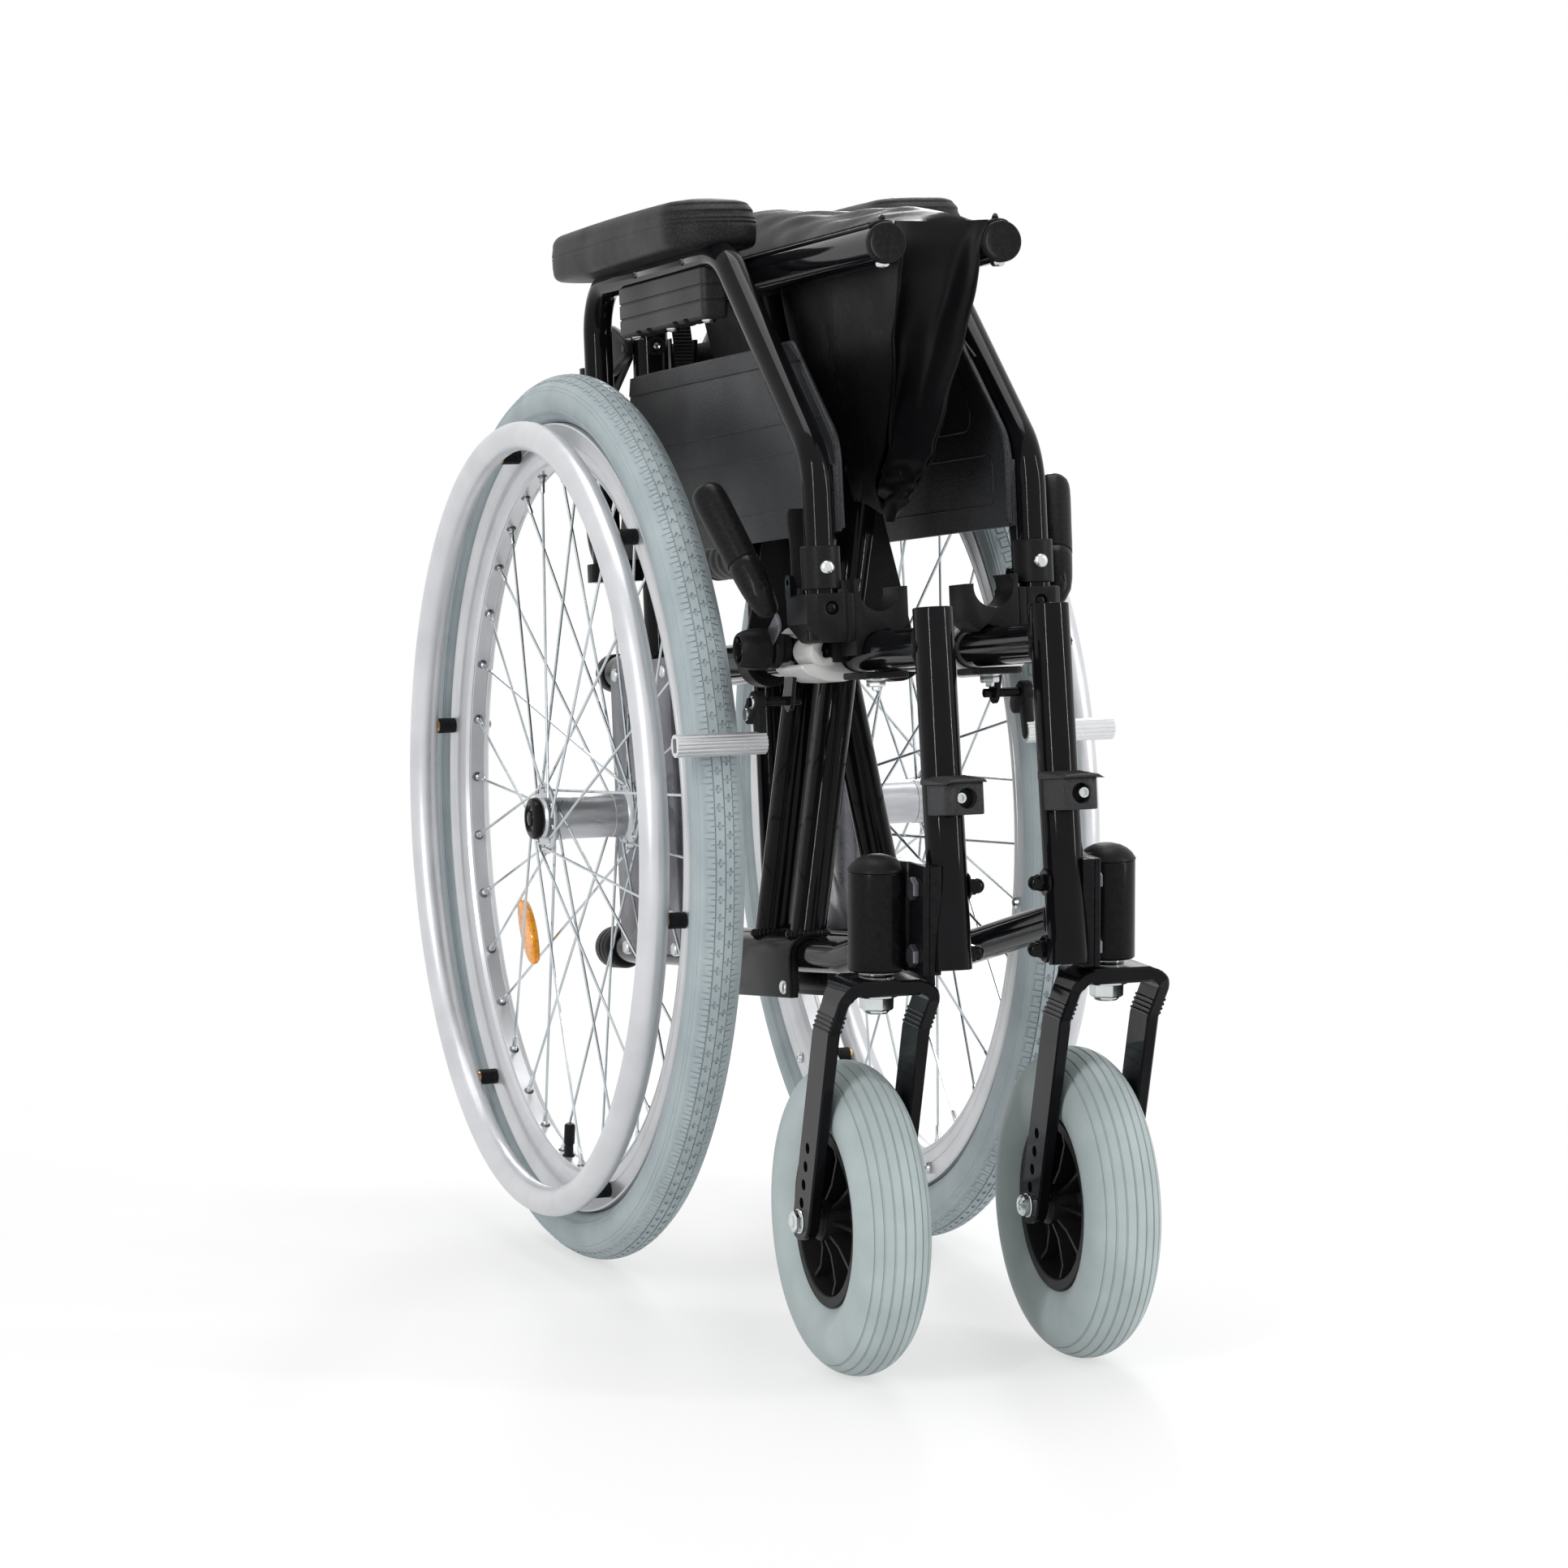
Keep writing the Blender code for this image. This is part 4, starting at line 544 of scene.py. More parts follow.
def makeNylon():
    # Satin black cloth: a fine plain weave on the piece's own UV map, in metres.
    tree, shader = surface("blackNylon", (0.010, 0.010, 0.011), {
        "Sheen Weight": 0.03, "Specular IOR Level": 0.14, "Sheen Roughness": 0.35,
        "Sheen Tint": (0.55, 0.55, 0.62, 1.0)})
    where = addNode(tree, "ShaderNodeUVMap", uv_map="weave")
    weave = addNode(tree, "ShaderNodeMath", operation="MULTIPLY")
    for number, direction in enumerate("XY"):
        thread = addNode(tree, "ShaderNodeTexWave", {"Scale": 620, "Distortion": 0.6},
                         bands_direction=direction)
        wire(tree, (where, "UV", thread, "Vector"), (thread, "Fac", weave, number))
    height = weave.outputs["Value"]
    tint(tree, shader, ramp(tree, height, 0, 1, 0, 1), (0.0026, 0.0026, 0.0032), (0.0075, 0.0075, 0.0090))
    roughen(tree, shader, grain(tree, objectSpace(tree), 30, 4.0), 0.32, 0.46)
    first = bump(tree, shader, height, 0.25, 0.0003)
    bump(tree, shader, grain(tree, objectSpace(tree), 60, 4.0), 0.25, 0.0012, first)
    return bpy.data.materials["blackNylon"]


def grey(dark, light, tilt=0.001):
    # A dark and a light shade of near black, a little blue.
    return (dark, dark, dark + tilt), (light, light, light + tilt)


finishes = {
    "gloss": grained("glossPaint", (0.0035, 0.0035, 0.0042), (0.0060, 0.0060, 0.0072), (30, 4.0), (18, 5.0),
                     (0.05, 0.11), (260, 2.0), 0.05, 0.0004, sockets={"Specular IOR Level": 0.11}),
    "moulded": moulded("mouldedPlastic", *grey(0.007, 0.013), 0.40, 900, 0.0003),
    "panel": moulded("grainedPanel", (0.013, 0.0135, 0.015), (0.034, 0.0355, 0.039), 0.42, 760, 0.0007,
                     0.2),
    "block": moulded("grainedBlock", (0.017, 0.017, 0.018), (0.034, 0.034, 0.036), 0.46, 620, 0.0004, 0.2),
    "pad": makePad(),
    "satinBlack": moulded("satinBlackPaint", *grey(0.004, 0.008), 0.26, 300, 0.0001),
    "gripPlastic": moulded("handlePlastic", *grey(0.006, 0.013), 0.30, 420, 0.0002),
    "grip": rubber("blackRubber", *grey(0.006, 0.011), 0.48),
    "tyre": rubber("greyTyre", (0.36, 0.42, 0.44), (0.43, 0.49, 0.51), 0.50),
    "casterTyre": rubber("greyCasterTyre", (0.37, 0.43, 0.43), (0.43, 0.49, 0.49), 0.42),
    "satin": metal("satinSilver", (0.60, 0.61, 0.63), (0.69, 0.70, 0.72), 0.30, 0.38, 0.55),
    "alloy": metal("hubAlloy", (0.50, 0.51, 0.53), (0.62, 0.63, 0.65), 0.26, 0.36, 0.9, (1, 30, 30)),
    "zinc": metal("zincSteel", (0.52, 0.55, 0.56), (0.74, 0.77, 0.76), 0.14, 0.30, 1.0),
    "spoke": metal("spokeWire", (0.50, 0.55, 0.57), (0.66, 0.70, 0.72), 0.16, 0.26, 1.0),
    "cast": metal("castAlloy", (0.56, 0.56, 0.55), (0.70, 0.70, 0.69), 0.40, 0.52, 0.35, scale=300),
    "graphite": metal("graphitePlate", (0.10, 0.10, 0.115), (0.22, 0.22, 0.25), 0.22, 0.40, 0.8),
    "extruded": metal("drawnAlloy", (0.66, 0.67, 0.68), (0.74, 0.75, 0.76), 0.26, 0.34, 0.8, (2, 60, 60),
                      0.00005),
    "brass": metal("brassInsert", (0.55, 0.32, 0.12), (0.72, 0.46, 0.18), 0.22, 0.36, 1.0),
    "reflector": makeReflector(),
    "nylon": makeNylon(),
}
print("materials made:", len(finishes))


# Small fasteners, drawn at the origin with their heads towards +Z

def fastener(name, *shapes):
    bm = bmesh.new()
    for count, profile in shapes:
        turn(bm, profile, (0, 0, 0), zAxis, count)
    return bareObject(name, bm)


def buttonHead():
    r, h, socket = 0.0048, 0.0026, 0.0019
    bm = turned([(r, -0.002), (r, 0.0003), (r * 0.93, h * 0.5), (r * 0.72, h * 0.88), (r * 0.5, h)],
                (0, 0, 0), zAxis, 20)
    top = [face for face in bm.faces if len(face.verts) > 4 and face.calc_center_median().z > 0]
    bmesh.ops.delete(bm, geom=top, context="FACES_ONLY")
    turn(bm, [(r * 0.5, h), (socket, h * 0.95), (socket, h * 0.3), (0, h * 0.3)], (0, 0, 0), zAxis, 20)
    return bareObject("buttonHead", bm)


def hexNut():
    r, h, bolt = 0.0062, 0.0052, 0.0028
    return fastener(
        "hexNut",
        (6, [(r * 0.92, 0), (r, h * 0.15), (r, h * 0.85), (r * 0.9, h), (bolt * 1.15, h), (bolt, h * 0.8),
             (bolt, h * 1.35), (bolt * 0.8, h * 1.5), (0, h * 1.5)]),
        (24, [(0.0076, -0.0008), (0.0076, 0.0002), (0.0072, 0.0006), (0, 0.0006)]))


def acornNut():
    r, h, dome, top = 0.0058, 0.0050, 0.0048, 0.0056
    return fastener(
        "acornNut", (24, [(0.0088, -0.0006), (0.0088, 0.0006), (0.0080, 0.0012), (0, 0.0012)]),
        (6, [(r * 0.9, 0.0012), (r, 0.0022), (r, h), (r * 0.88, h + 0.0007)]),
        (20, [(dome, top - 0.001), (dome, top + 0.0022), (dome * 0.86, top + 0.0040),
              (dome * 0.5, top + 0.0056),
              (0, top + 0.0062)]))


fasteners = {"button": buttonHead(), "hex": hexNut(), "acorn": acornNut(), "small": fastener(
    "smallHead", (16, [(0, -0.0010), (0.0025, -0.0010), (0.0026, 0.0002), (0.0022, 0.0010), (0.0013, 0.0013),
                       (0.0011, 0.0004), (0, 0.0004)]))}


# Rear wheels

wheel = {
    "centre": (0.1166, 0.0, 0.306), "radius": 0.306, "section": 0.0175, "rimTop": 0.2732,
    "rimInner": 0.2450,
    "rimHalf": 0.0120, "treadCount": 160, "treadHeight": 0.0011, "spokes": 36, "hubBarrel": 0.0155,
    "flange": 0.025,
    "flangeHalf": 0.0015, "innerFlange": 0.082, "outerFlange": 0.142, "gap": 0.0004, "shoulder": 0.0068,
}


def onTyre(along, across, height):
    # A spot on the tread: along the tyre and across its section, both in metres.
    middle = wheel["radius"] - wheel["section"]
    angle, tilt = along / wheel["radius"], across / wheel["section"]
    lifted = wheel["section"] - wheel["treadHeight"] + height
    reach = middle + lifted * cos(tilt)
    x, y, z = wheel["centre"]
    return Vector((x + lifted * sin(tilt), y + reach * sin(angle), z + reach * cos(angle)))


def drawTread():
    # One pitch of the tread: two notched middle blocks and short ribs on each shoulder.
    pitch, gap, shoulder = tau * wheel["radius"] / wheel["treadCount"], wheel["gap"], wheel["shoulder"]
    half = pitch / 2 - gap
    notch = [(-half, 0.0004), (half, 0.0004), (half, 0.0020), (half * 0.62, 0.0026), (half * 0.62, 0.0040),
             (half, 0.0046), (half, 0.0060), (-half, 0.0060), (-half, 0.0048), (-half * 0.58, 0.0042),
             (-half * 0.58, 0.0028), (-half, 0.0022)]
    blocks = [notch, [(along + pitch / 2, -across) for along, across in notch]]
    for way in (1, -1):
        for number in range(3):
            low = -pitch / 2 + pitch * number / 3 + gap
            high = low + pitch / 3 - 0.0007
            reach, lean = (0.0118 + 0.0020 * (number % 2)) * way, 0.0006 * (number - 1)
            blocks.append([(low, shoulder * way), (high, shoulder * way), (high + lean, reach),
                           (low + lean, reach)])
    bm = bmesh.new()
    for outline in blocks:
        middle = Vector([sum(values) / len(outline) for values in zip(*outline)])
        rows = []
        for height, scale in ((-0.0006, 1.0), (wheel["treadHeight"] * 0.75, 1.0),
                              (wheel["treadHeight"], 0.94)):
            spots = [middle + (Vector(spot) - middle) * scale for spot in outline]
            rows.append([onTyre(spot.x, spot.y, height) for spot in spots])
        loft(bm, rows)
    return bm


def drawTyre():
    middle = wheel["radius"] - wheel["section"]
    angle = acos((middle - wheel["rimTop"]) / wheel["section"])
    lines = (1.02, 1.12, 1.98, 2.12)  # section angles of the thin lines on each sidewall
    angles = [pi] + [line + shift for line in lines for shift in (-0.035, 0, 0.035)]
    while angle < pi:
        angles.append(angle)
        angle += 0.075
    profile = []
    for value in sorted(set(angles)):
        tread = max(0.0, min(1.0, (value - 2.30) / 0.12))
        radius = wheel["section"] - wheel["treadHeight"] * tread + (0.00045 if value in lines else 0)
        profile.append((middle - radius * cos(value), radius * sin(value)))
    profile += [(reach, -shift) for reach, shift in reversed(profile[:-1])]
    return turned(profile, wheel["centre"], xAxis, 180, True)


def drawRim():
    inner, half = wheel["rimInner"], wheel["rimHalf"]
    profile = [
        (0, 0), (0, 0.0046), (0.0007, 0.0052), (0.0002, 0.0058), (0.0016, 0.0082), (0.0048, 0.0100),
        (0.0056, 0.0104),
        (0.0060, 0.0100), (0.0068, 0.0106), (0.0120, half), (0.0150, half), (0.0153, half - 0.0004),
        (0.0157, half),
        (0.0250, half), (0.0262, half + 0.0006), (0.0274, half), (0.0276, half - 0.002)]
    return turned(mirroredRows([(inner + reach, along) for reach, along in profile]), wheel["centre"],
                  xAxis, 160, True)


def drawHub():
    half, barrel, flange = wheel["flangeHalf"], wheel["hubBarrel"], wheel["flange"]
    low, high = wheel["innerFlange"], wheel["outerFlange"]
    outside = [(0.0063, half + 0.003), (0.0125, half + 0.003), (0.0135, half + 0.0018),
               (0.0140, half + 0.0006), (flange - 0.001, half), (flange, half - 0.0008)]
    inside = [(flange, half - 0.0008), (flange - 0.001, half), (0.0185, half),
              (barrel + 0.0012, half + 0.0012), (barrel, half + 0.0030)]
    profile = [(radius, low - along) for radius, along in outside]
    profile += [(radius, low + along) for radius, along in inside]
    profile += [(barrel, 0.0950), (barrel - 0.0004, 0.0953), (barrel - 0.0004, 0.1287), (barrel, 0.1290)]
    profile += [(radius, high - along) for radius, along in reversed(inside)]
    profile += [(radius, high + along) for radius, along in reversed(outside)]
    return turned(profile, (0, *wheel["centre"][1:]), xAxis, 64, True)


def drawFlangeHoles():
    # The flanges' open spoke holes, between the spokes' heads.
    bm = bmesh.new()
    for flange in (wheel["innerFlange"], wheel["outerFlange"]):
        for y, z in arc((0, wheel["centre"][2]), wheel["flange"] - 0.0052, pi / 9, tau - pi / 9, 8):
            turn(bm, [(0.0016, 0), (0.0016, 0.008)], (flange - 0.004, y, z), xAxis, 10)
    return bm


def drawSpoke(number):
    # One spoke with its bent head in the flange, its nipple and its eye in the rim.
    lead = 1 if (number // 2) % 2 else -1
    outer = tau * number / wheel["spokes"]
    inner = outer + lead * radians(60)
    flange, axleZ = wheel["outerFlange"] if number % 2 else wheel["innerFlange"], wheel["centre"][2]
    begin = Vector((flange + lead * 0.0024, 0.0215 * cos(inner), axleZ + 0.0215 * sin(inner)))
    finish = Vector((wheel["centre"][0], 0.2449 * cos(outer), axleZ + 0.2449 * sin(outer)))
    run = (finish - begin).normalized()
    head = begin - Vector((lead * 0.0040, 0, 0))
    path = [head, begin - run * 0.0004, begin + run * 0.0022, finish - run * 0.010]
    wire = sweepTube(bmesh.new(), path, 0.00095, 8)
    turn(wire, [(0, -0.0009), (0.0014, -0.0009), (0.0018, 0.0001), (0.0012, 0.0011), (0, 0.0011)], head,
         (lead, 0, 0), 8)
    nipple = turned([(0, -0.0128), (0.0013, -0.0128), (0.0016, -0.0122), (0.0017, -0.0035), (0.0022, -0.0030),
                     (0.0023, 0.0012), (0, 0.0012)], finish, run, 10)
    eye = turned([(0.0022, -0.0008), (0.0034, -0.0004), (0.0036, 0.0006), (0.0022, 0.0006)], finish,
                 (0, cos(outer), sin(outer)), 14, True)
    return wire, nipple, eye


def makeWheel(side):
    word, centre = words[side], wheel["centre"]
    tyre = bareObject(word + "TyreBody", drawTyre(), placed(side, False))
    tread = repeatRound(word + "Tread", drawTread(), side, wheel["treadCount"], 0.0, centre, "tyre")
    hang(unite(word + "Tyre", [tyre, tread]), word + "_wheel", "tyre", 30, nodes=[word + "_wheel_tyre"])
    part("Rim", drawRim(), side, "wheel", "satin", "wheel_rim", lean=False, smooth=28)
    part("Hub", drawHub(), side, "wheel", "alloy", "wheel_hub", lean=False, smooth=28,
         holes=[drawFlangeHoles()])
    quarters = zip(*[drawSpoke(number) for number in range(4)])
    for label, finish, drawn in zip(("Spokes", "Nipples", "Eyelets"), ("spoke", "zinc", "graphite"),
                                    quarters):
        made = [repeatRound(word + label, bm, side, wheel["spokes"] // 4, 0.0, centre, finish)
                for bm in drawn]
        hang(unite(word + label, made), word + "_wheel", finish, 40)


handrim = {"radius": 0.2641, "tube": 0.0100, "plane": 0.1514, "standoffs": 6, "first": radians(8),
           "standoff": 0.0055}


def makeHandrim(side):
    x, y, z = wheel["centre"]
    profile = arc((handrim["radius"], 0), handrim["tube"], 0, tau * 23 / 24, 23)
    part("Handrim", turned(profile, (handrim["plane"], y, z), xAxis, 160, True), side, "wheel", "satin",
         "handrim", lean=False, smooth=50)
    start = x + wheel["rimHalf"] + 0.0004
    length = handrim["plane"] - handrim["tube"] + 0.0012 - start
    reach, r = y + handrim["radius"] - 0.0015, handrim["standoff"]
    groove = r - 0.0003
    foot, head = (start, reach, z), (x - wheel["rimHalf"] - 0.0002, reach, z)
    sleeve = [(0, 0), (r - 0.0004, 0), (r, 0.0004), (r, length * 0.30), (groove, length * 0.31),
              (groove, length * 0.35), (r, length * 0.36), (r, length - 0.0015), (groove, length - 0.0012),
              (0, length - 0.0012)]
    insert = [(0, length - 0.0014), (r - 0.0009, length - 0.0014), (r - 0.0009, length + 0.0006),
              (0, length + 0.0006)]
    screw = [(0, 0), (0.0040, 0), (0.0040, 0.0012), (0.0030, 0.0026), (0.0014, 0.0030), (0.0012, 0.0018),
             (0, 0.0018)]
    for label, profile, place, way, count, finish in (
            ("Standoffs", sleeve, foot, 1, 28, "moulded"), ("Inserts", insert, foot, 1, 20, "brass"),
            ("RimScrews", screw, head, -1, 18, "zinc")):
        made = repeatRound(words[side] + label, turned(profile, place, (way, 0, 0), count), side,
                           handrim["standoffs"], handrim["first"], wheel["centre"], finish)
        hang(made, words[side] + "_wheel", finish)


valve = {"angle": radians(-83), "length": 0.024}
reflector = {"angle": radians(-38), "reach": 0.158, "length": 0.054, "width": 0.022}


def makeValveAndReflector(side):
    # The valve stands on the rim's inner side; the reflector is held between crossing spokes.
    x, y, z = wheel["centre"]
    outward = Vector((0, cos(valve["angle"]), sin(valve["angle"])))
    foot, end = Vector((x, y, z)) + outward * (wheel["rimInner"] + 0.0006), valve["length"]
    stem = turned([(0, 0), (0.0044, 0), (0.0044, 0.0012), (0.0032, 0.0020), (0.0029, 0.0100), (0, 0.0100)],
                  foot, -outward, 20)
    cap = turned([(0, 0.0095), (0.0036, 0.0095), (0.0038, 0.0105), (0.0038, end - 0.0012), (0.0028, end),
                  (0, end)], foot, -outward, 16)
    part("Valve", stem, side, "wheel", "grip", lean=False)
    part("ValveCap", cap, side, "wheel", "moulded", lean=False)
    outward = Vector((0, cos(reflector["angle"]), sin(reflector["angle"])))
    around = Vector((0, -outward.z, outward.y))
    middle = Vector((x - 0.001, 0, z)) + outward * reflector["reach"]
    for label, levels in (("Reflector", ((0.0, 1.0), (0.0018, 1.0), (0.0030, 0.93), (0.0034, 0.80))),
                          ("ReflectorBack", ((-0.0002, 0.98), (-0.0016, 0.98), (-0.0030, 0.92),
                                             (-0.0034, 0.78)))):
        rows = []
        for height, scale in levels:
            spots = arc((0, 0), (scale, scale), 0, tau * 39 / 40, 39)
            rows.append([middle + around * a * reflector["length"] / 2 + Vector((height, 0, 0)) + outward
                         * b * reflector["width"] / 2 * (1 - 0.18 * (a / scale) ** 2) for a, b in spots])
        part(label, loft(bmesh.new(), rows), side, "wheel", "reflector", lean=False)


for side in words:
    makeWheel(side)
    makeHandrim(side)
    makeValveAndReflector(side)
print("rear wheels made")


# Casters

caster = {
    "axisX": 0.0776, "stemY": -0.478, "trail": 0.047, "radius": 0.100, "section": 0.0245, "grooves": 7,
    "hub": 0.0562, "hubHalf": 0.0172, "boss": 0.0140, "ribs": 9, "crownTop": 0.262, "barHalf": 0.004,
    "armHalf": 0.030, "topShift": -0.012, "depth": 0.030, "armEnd": 0.088, "corner": 0.011, "tipRound": 0.012,
}
casterAxle = (caster["axisX"], caster["stemY"] + caster["trail"], caster["radius"])


def drawCasterTyre():
    middle = caster["radius"] - caster["section"]
    start = acos((middle - caster["hub"]) / caster["section"])
    grooves = [pi + radians(15.5) * (number - (caster["grooves"] - 1) / 2)
               for number in range(caster["grooves"])]
    depths, angle = {}, start
    while angle < tau - start:
        depths[angle] = 0.0
        angle += 0.10
    depths[tau - start] = 0.0
    for groove in grooves:
        for offset, depth in ((-0.034, 0), (-0.018, 0.0009), (0.018, 0.0009), (0.034, 0)):
            depths[groove + offset] = depth
    profile = []
    for angle in sorted(depths):
        if depths[angle] == 0.0 and any(0 < abs(angle - groove) < 0.03 for groove in grooves):
            continue
        radius = caster["section"] - depths[angle]
        profile.append((middle - radius * cos(angle), radius * sin(angle)))
    return turned(profile, casterAxle, xAxis, 144, True)


def drawCasterHub():
    hub, half, boss = caster["hub"], caster["hubHalf"], caster["boss"]
    profile = [(hub, 0), (hub, half - 0.0008), (hub - 0.0008, half), (hub - 0.0066, half),
               (hub - 0.0074, half - 0.0008), (hub - 0.0092, 0.0052), (hub - 0.0110, 0.0035),
               (boss + 0.0016, 0.0035), (boss, 0.0050), (boss - 0.0008, 0.0210), (boss - 0.0016, 0.0222),
               (0.0085, 0.0222), (0.0080, 0.0216), (0.0043, 0.0216)]
    return turned(mirroredRows(profile), casterAxle, xAxis, 72, True)


def drawCasterRib():
    # One rib on each face of the web, lower at its middle than at its ends.
    bm, (x, y, z) = bmesh.new(), casterAxle
    low, high = caster["boss"] - 0.0012, caster["hub"] - 0.0082
    for way in (1, -1):
        outline = [(low, 0.0018), (low, 0.0178), (low + 0.010, 0.0142), (high - 0.008, 0.0122),
                   (high, 0.0146), (high, 0.0018)]
        loft(bm, [[(x + along * way, y + wall, z + reach) for reach, along in outline]
                  for wall in (-0.0012, 0.0012)])
    return bm


def makeCasterWheel(side):
    word = words[side]
    part("CasterTyre", drawCasterTyre(), side, "caster", "casterTyre", "caster_tyre", lean=False, smooth=25)
    web = bareObject(word + "CasterWeb", drawCasterHub(), placed(side, False))
    ribs = repeatRound(word + "CasterRibs", drawCasterRib(), side, caster["ribs"], 0.2, casterAxle, "moulded")
    hang(unite(word + "CasterHub", [web, ribs]), word + "_caster", "moulded", 30,
         nodes=[word + "_caster_hub"])


def forkStation(z):
    # Front and rear edge of the fork's bar at this height.
    top, half = caster["stemY"] + caster["topShift"], caster["depth"] / 2
    kneeZ, knee = caster["crownTop"] - 0.036, caster["stemY"] + 0.009
    if z >= 0.252:
        return top - half, top + half
    if z > kneeZ:
        middle = top + (knee - top) * (0.252 - z) / (0.252 - kneeZ)
        return middle - half, middle + half
    middle = knee + (casterAxle[1] + 0.002 - knee) * (kneeZ - z) / (kneeZ - caster["armEnd"])
    low, tip = z - caster["armEnd"], caster["tipRound"]
    if low < tip:
        half *= sqrt(max(0.0, 1 - ((tip - low) / tip) ** 2)) * 0.72 + 0.28
    return middle - half, middle + half


def drawFork():
    # A flat bar bent over the stem: its middle line runs up one arm, over and down the other.
    half, arm, corner = caster["barHalf"], caster["armHalf"], caster["corner"]
    crownZ, edge = caster["crownTop"] - 0.005, 0.0012
    full = caster["stemY"] + caster["depth"] / 2
    levels = (0.088, 0.089, 0.0905, 0.093, 0.096, 0.100, 0.13, 0.16, 0.19, 0.214, 0.222, 0.226, 0.230, 0.238)
    path = [(-arm, z, (-1, 0)) for z in levels]
    for step in range(9):
        a, b = cos(pi - pi / 2 * step / 8), sin(pi - pi / 2 * step / 8)
        path.append((-arm + corner + corner * a, crownZ - corner + corner * b, (a, b)))
    path += [(-x, z, (-n[0], n[1])) for x, z, n in reversed(path)]
    rows = []
    for x, z, normal in path:
        front, rear = forkStation(z)
        thick = half + (0.001 if abs(x) < 0.02 else 0.0)
        if abs(x) < 0.019 or z > crownZ - 0.002:
            rear = max(rear, full)
        elif z > crownZ - corner:
            rear += (full - rear) * ((z - (crownZ - corner)) / corner) ** 2
        rows.append([(caster["axisX"] + x + normal[0] * thick * out, y, z + normal[1] * thick * out)
                     for out, y in (
                         (1, front + edge), (0.72, front), (-0.72, front), (-1, front + edge),
                         (-1, rear - edge), (-0.72, rear),
                         (0.72, rear), (1, rear - edge))])
    return loft(bmesh.new(), rows)


def makeFork(side):
    axle, run = Vector(casterAxle), Vector((0, 0.009 - caster["trail"], 0.126)).normalized()
    holes = [rod(0.0036, -0.05, 0.05, axle + run * 0.0128 * step, xAxis, 20) for step in range(1, 5)]
    part("Fork", drawFork(), side, "fork", "gloss", "caster_fork", lean=False, smooth=30, holes=holes)
    ridges = bmesh.new()
    for way in (-1, 1):
        for number in range(4):
            z = 0.2285 + 0.0032 * number
            front, rear = forkStation(z)
            for face in (-1, 1):
                x = caster["axisX"] + way * caster["armHalf"] + face * (caster["barHalf"] - 0.0001)
                sweepTube(ridges, [(x, front + 0.0012, z), (x, rear - 0.0012, z + 0.0006)], 0.0009, 8)
    part("ForkRidges", ridges, side, "fork", "gloss", lean=False)
    stem = bmesh.new()
    for count, profile in (
        (32, [(0, 0.2622), (0.0112, 0.2622), (0.0114, 0.2626), (0.0114, 0.2642), (0.0080, 0.2644),
              (0.0080, 0.3060),
              (0, 0.3060)]),
        (6, [(0.0095, 0.2400), (0.0108, 0.2412), (0.0110, 0.2480), (0.0100, 0.2490)]),
        (28, [(0, 0.2380), (0.0070, 0.2380), (0.0082, 0.2392), (0.0084, 0.2410), (0, 0.2410)]),
        (32, [(0, 0.2488), (0.0135, 0.2488), (0.0135, 0.2520), (0, 0.2520)])):
        turn(stem, profile, (caster["axisX"], caster["stemY"], 0), zAxis, count)
    part("ForkStem", stem, side, "fork", "zinc", lean=False)
    bolt = turned([(0.0040, -0.036), (0.0040, 0.036)], casterAxle, xAxis, 20)
    washer = [(0, 0), (0.0078, 0), (0.0080, 0.0004), (0.0078, 0.0010), (0, 0.0010)]
    head = [(0.0066, 0), (0.0072, 0.0006), (0.0072, 0.0034), (0.0064, 0.0042), (0.0040, 0.0042),
            (0.0040, 0.0050), (0.0032, 0.0056), (0, 0.0056)]
    dome = [(0.0066, 0), (0.0070, 0.0004), (0.0068, 0.0032), (0.0056, 0.0046), (0.0030, 0.0052),
            (0.0026, 0.0036), (0, 0.0036)]
    for reach, way, profile, count in ((0.0340, -1, washer, 28), (0.0340, 1, washer, 28),
                                       (0.0348, 1, head, 6), (0.0348, -1, dome, 24)):
        turn(bolt, profile, axle + Vector((reach * way, 0, 0)), (way, 0, 0), count)
    part("CasterAxle", bolt, side, "fork", "zinc", lean=False)


for side in words:
    makeCasterWheel(side)
    makeFork(side)
print("casters made")


# Side frames

tube = {
    "x": 0.039, "seatZ": 0.404, "seatRadius": 0.0125, "seatRear": 0.112, "lowZ": 0.2068, "lowRadius": 0.011,
    "lowRear": 0.143, "lowFrontZ": 0.232, "bendY": -0.345, "bendRadius": 0.080, "frontRadius": 0.0127,
    "frontBore": 0.0106, "topY": -0.531, "topZ": 0.428, "footY": -0.538, "footZ": 0.202,
    "nuts": (0.276, 0.318),
}


def frontTubeY(z):
    change = (z - tube["footZ"]) * (tube["topY"] - tube["footY"])
    return tube["footY"] + change / (tube["topZ"] - tube["footZ"])


def weld(name, spots, side, body, radius=0.0015):
    # A rippled weld bead laid along a closed line of spots.
    bead = bareObject("bead", ball(bmesh.new(), radius, Matrix.Diagonal((0.9, 1.25, 1.25, 1.0)), 10, 6))
    path = [placed(side) @ Vector(spot) for spot in spots]
    hang(repeatAlong(name, path + path[:1], bead, radius * 1.15, 0.12, "gloss"), body, "gloss", 60)
    drop(bead)


def saddleRing(centre, radius, other, way, count=40):
    # The line on which a tube of this radius meets another across it; way is 0 towards +Y, 1 up and -1 down.
    spots = []
    for aside, up in arc((0, 0), radius, 0, tau * (count - 1) / count, count - 1):
        reach = sqrt(max(0.0, other * other - aside * aside))
        spots.append(Vector(centre) + Vector((aside, up, reach * way) if way else (aside, reach, up)))
    return spots


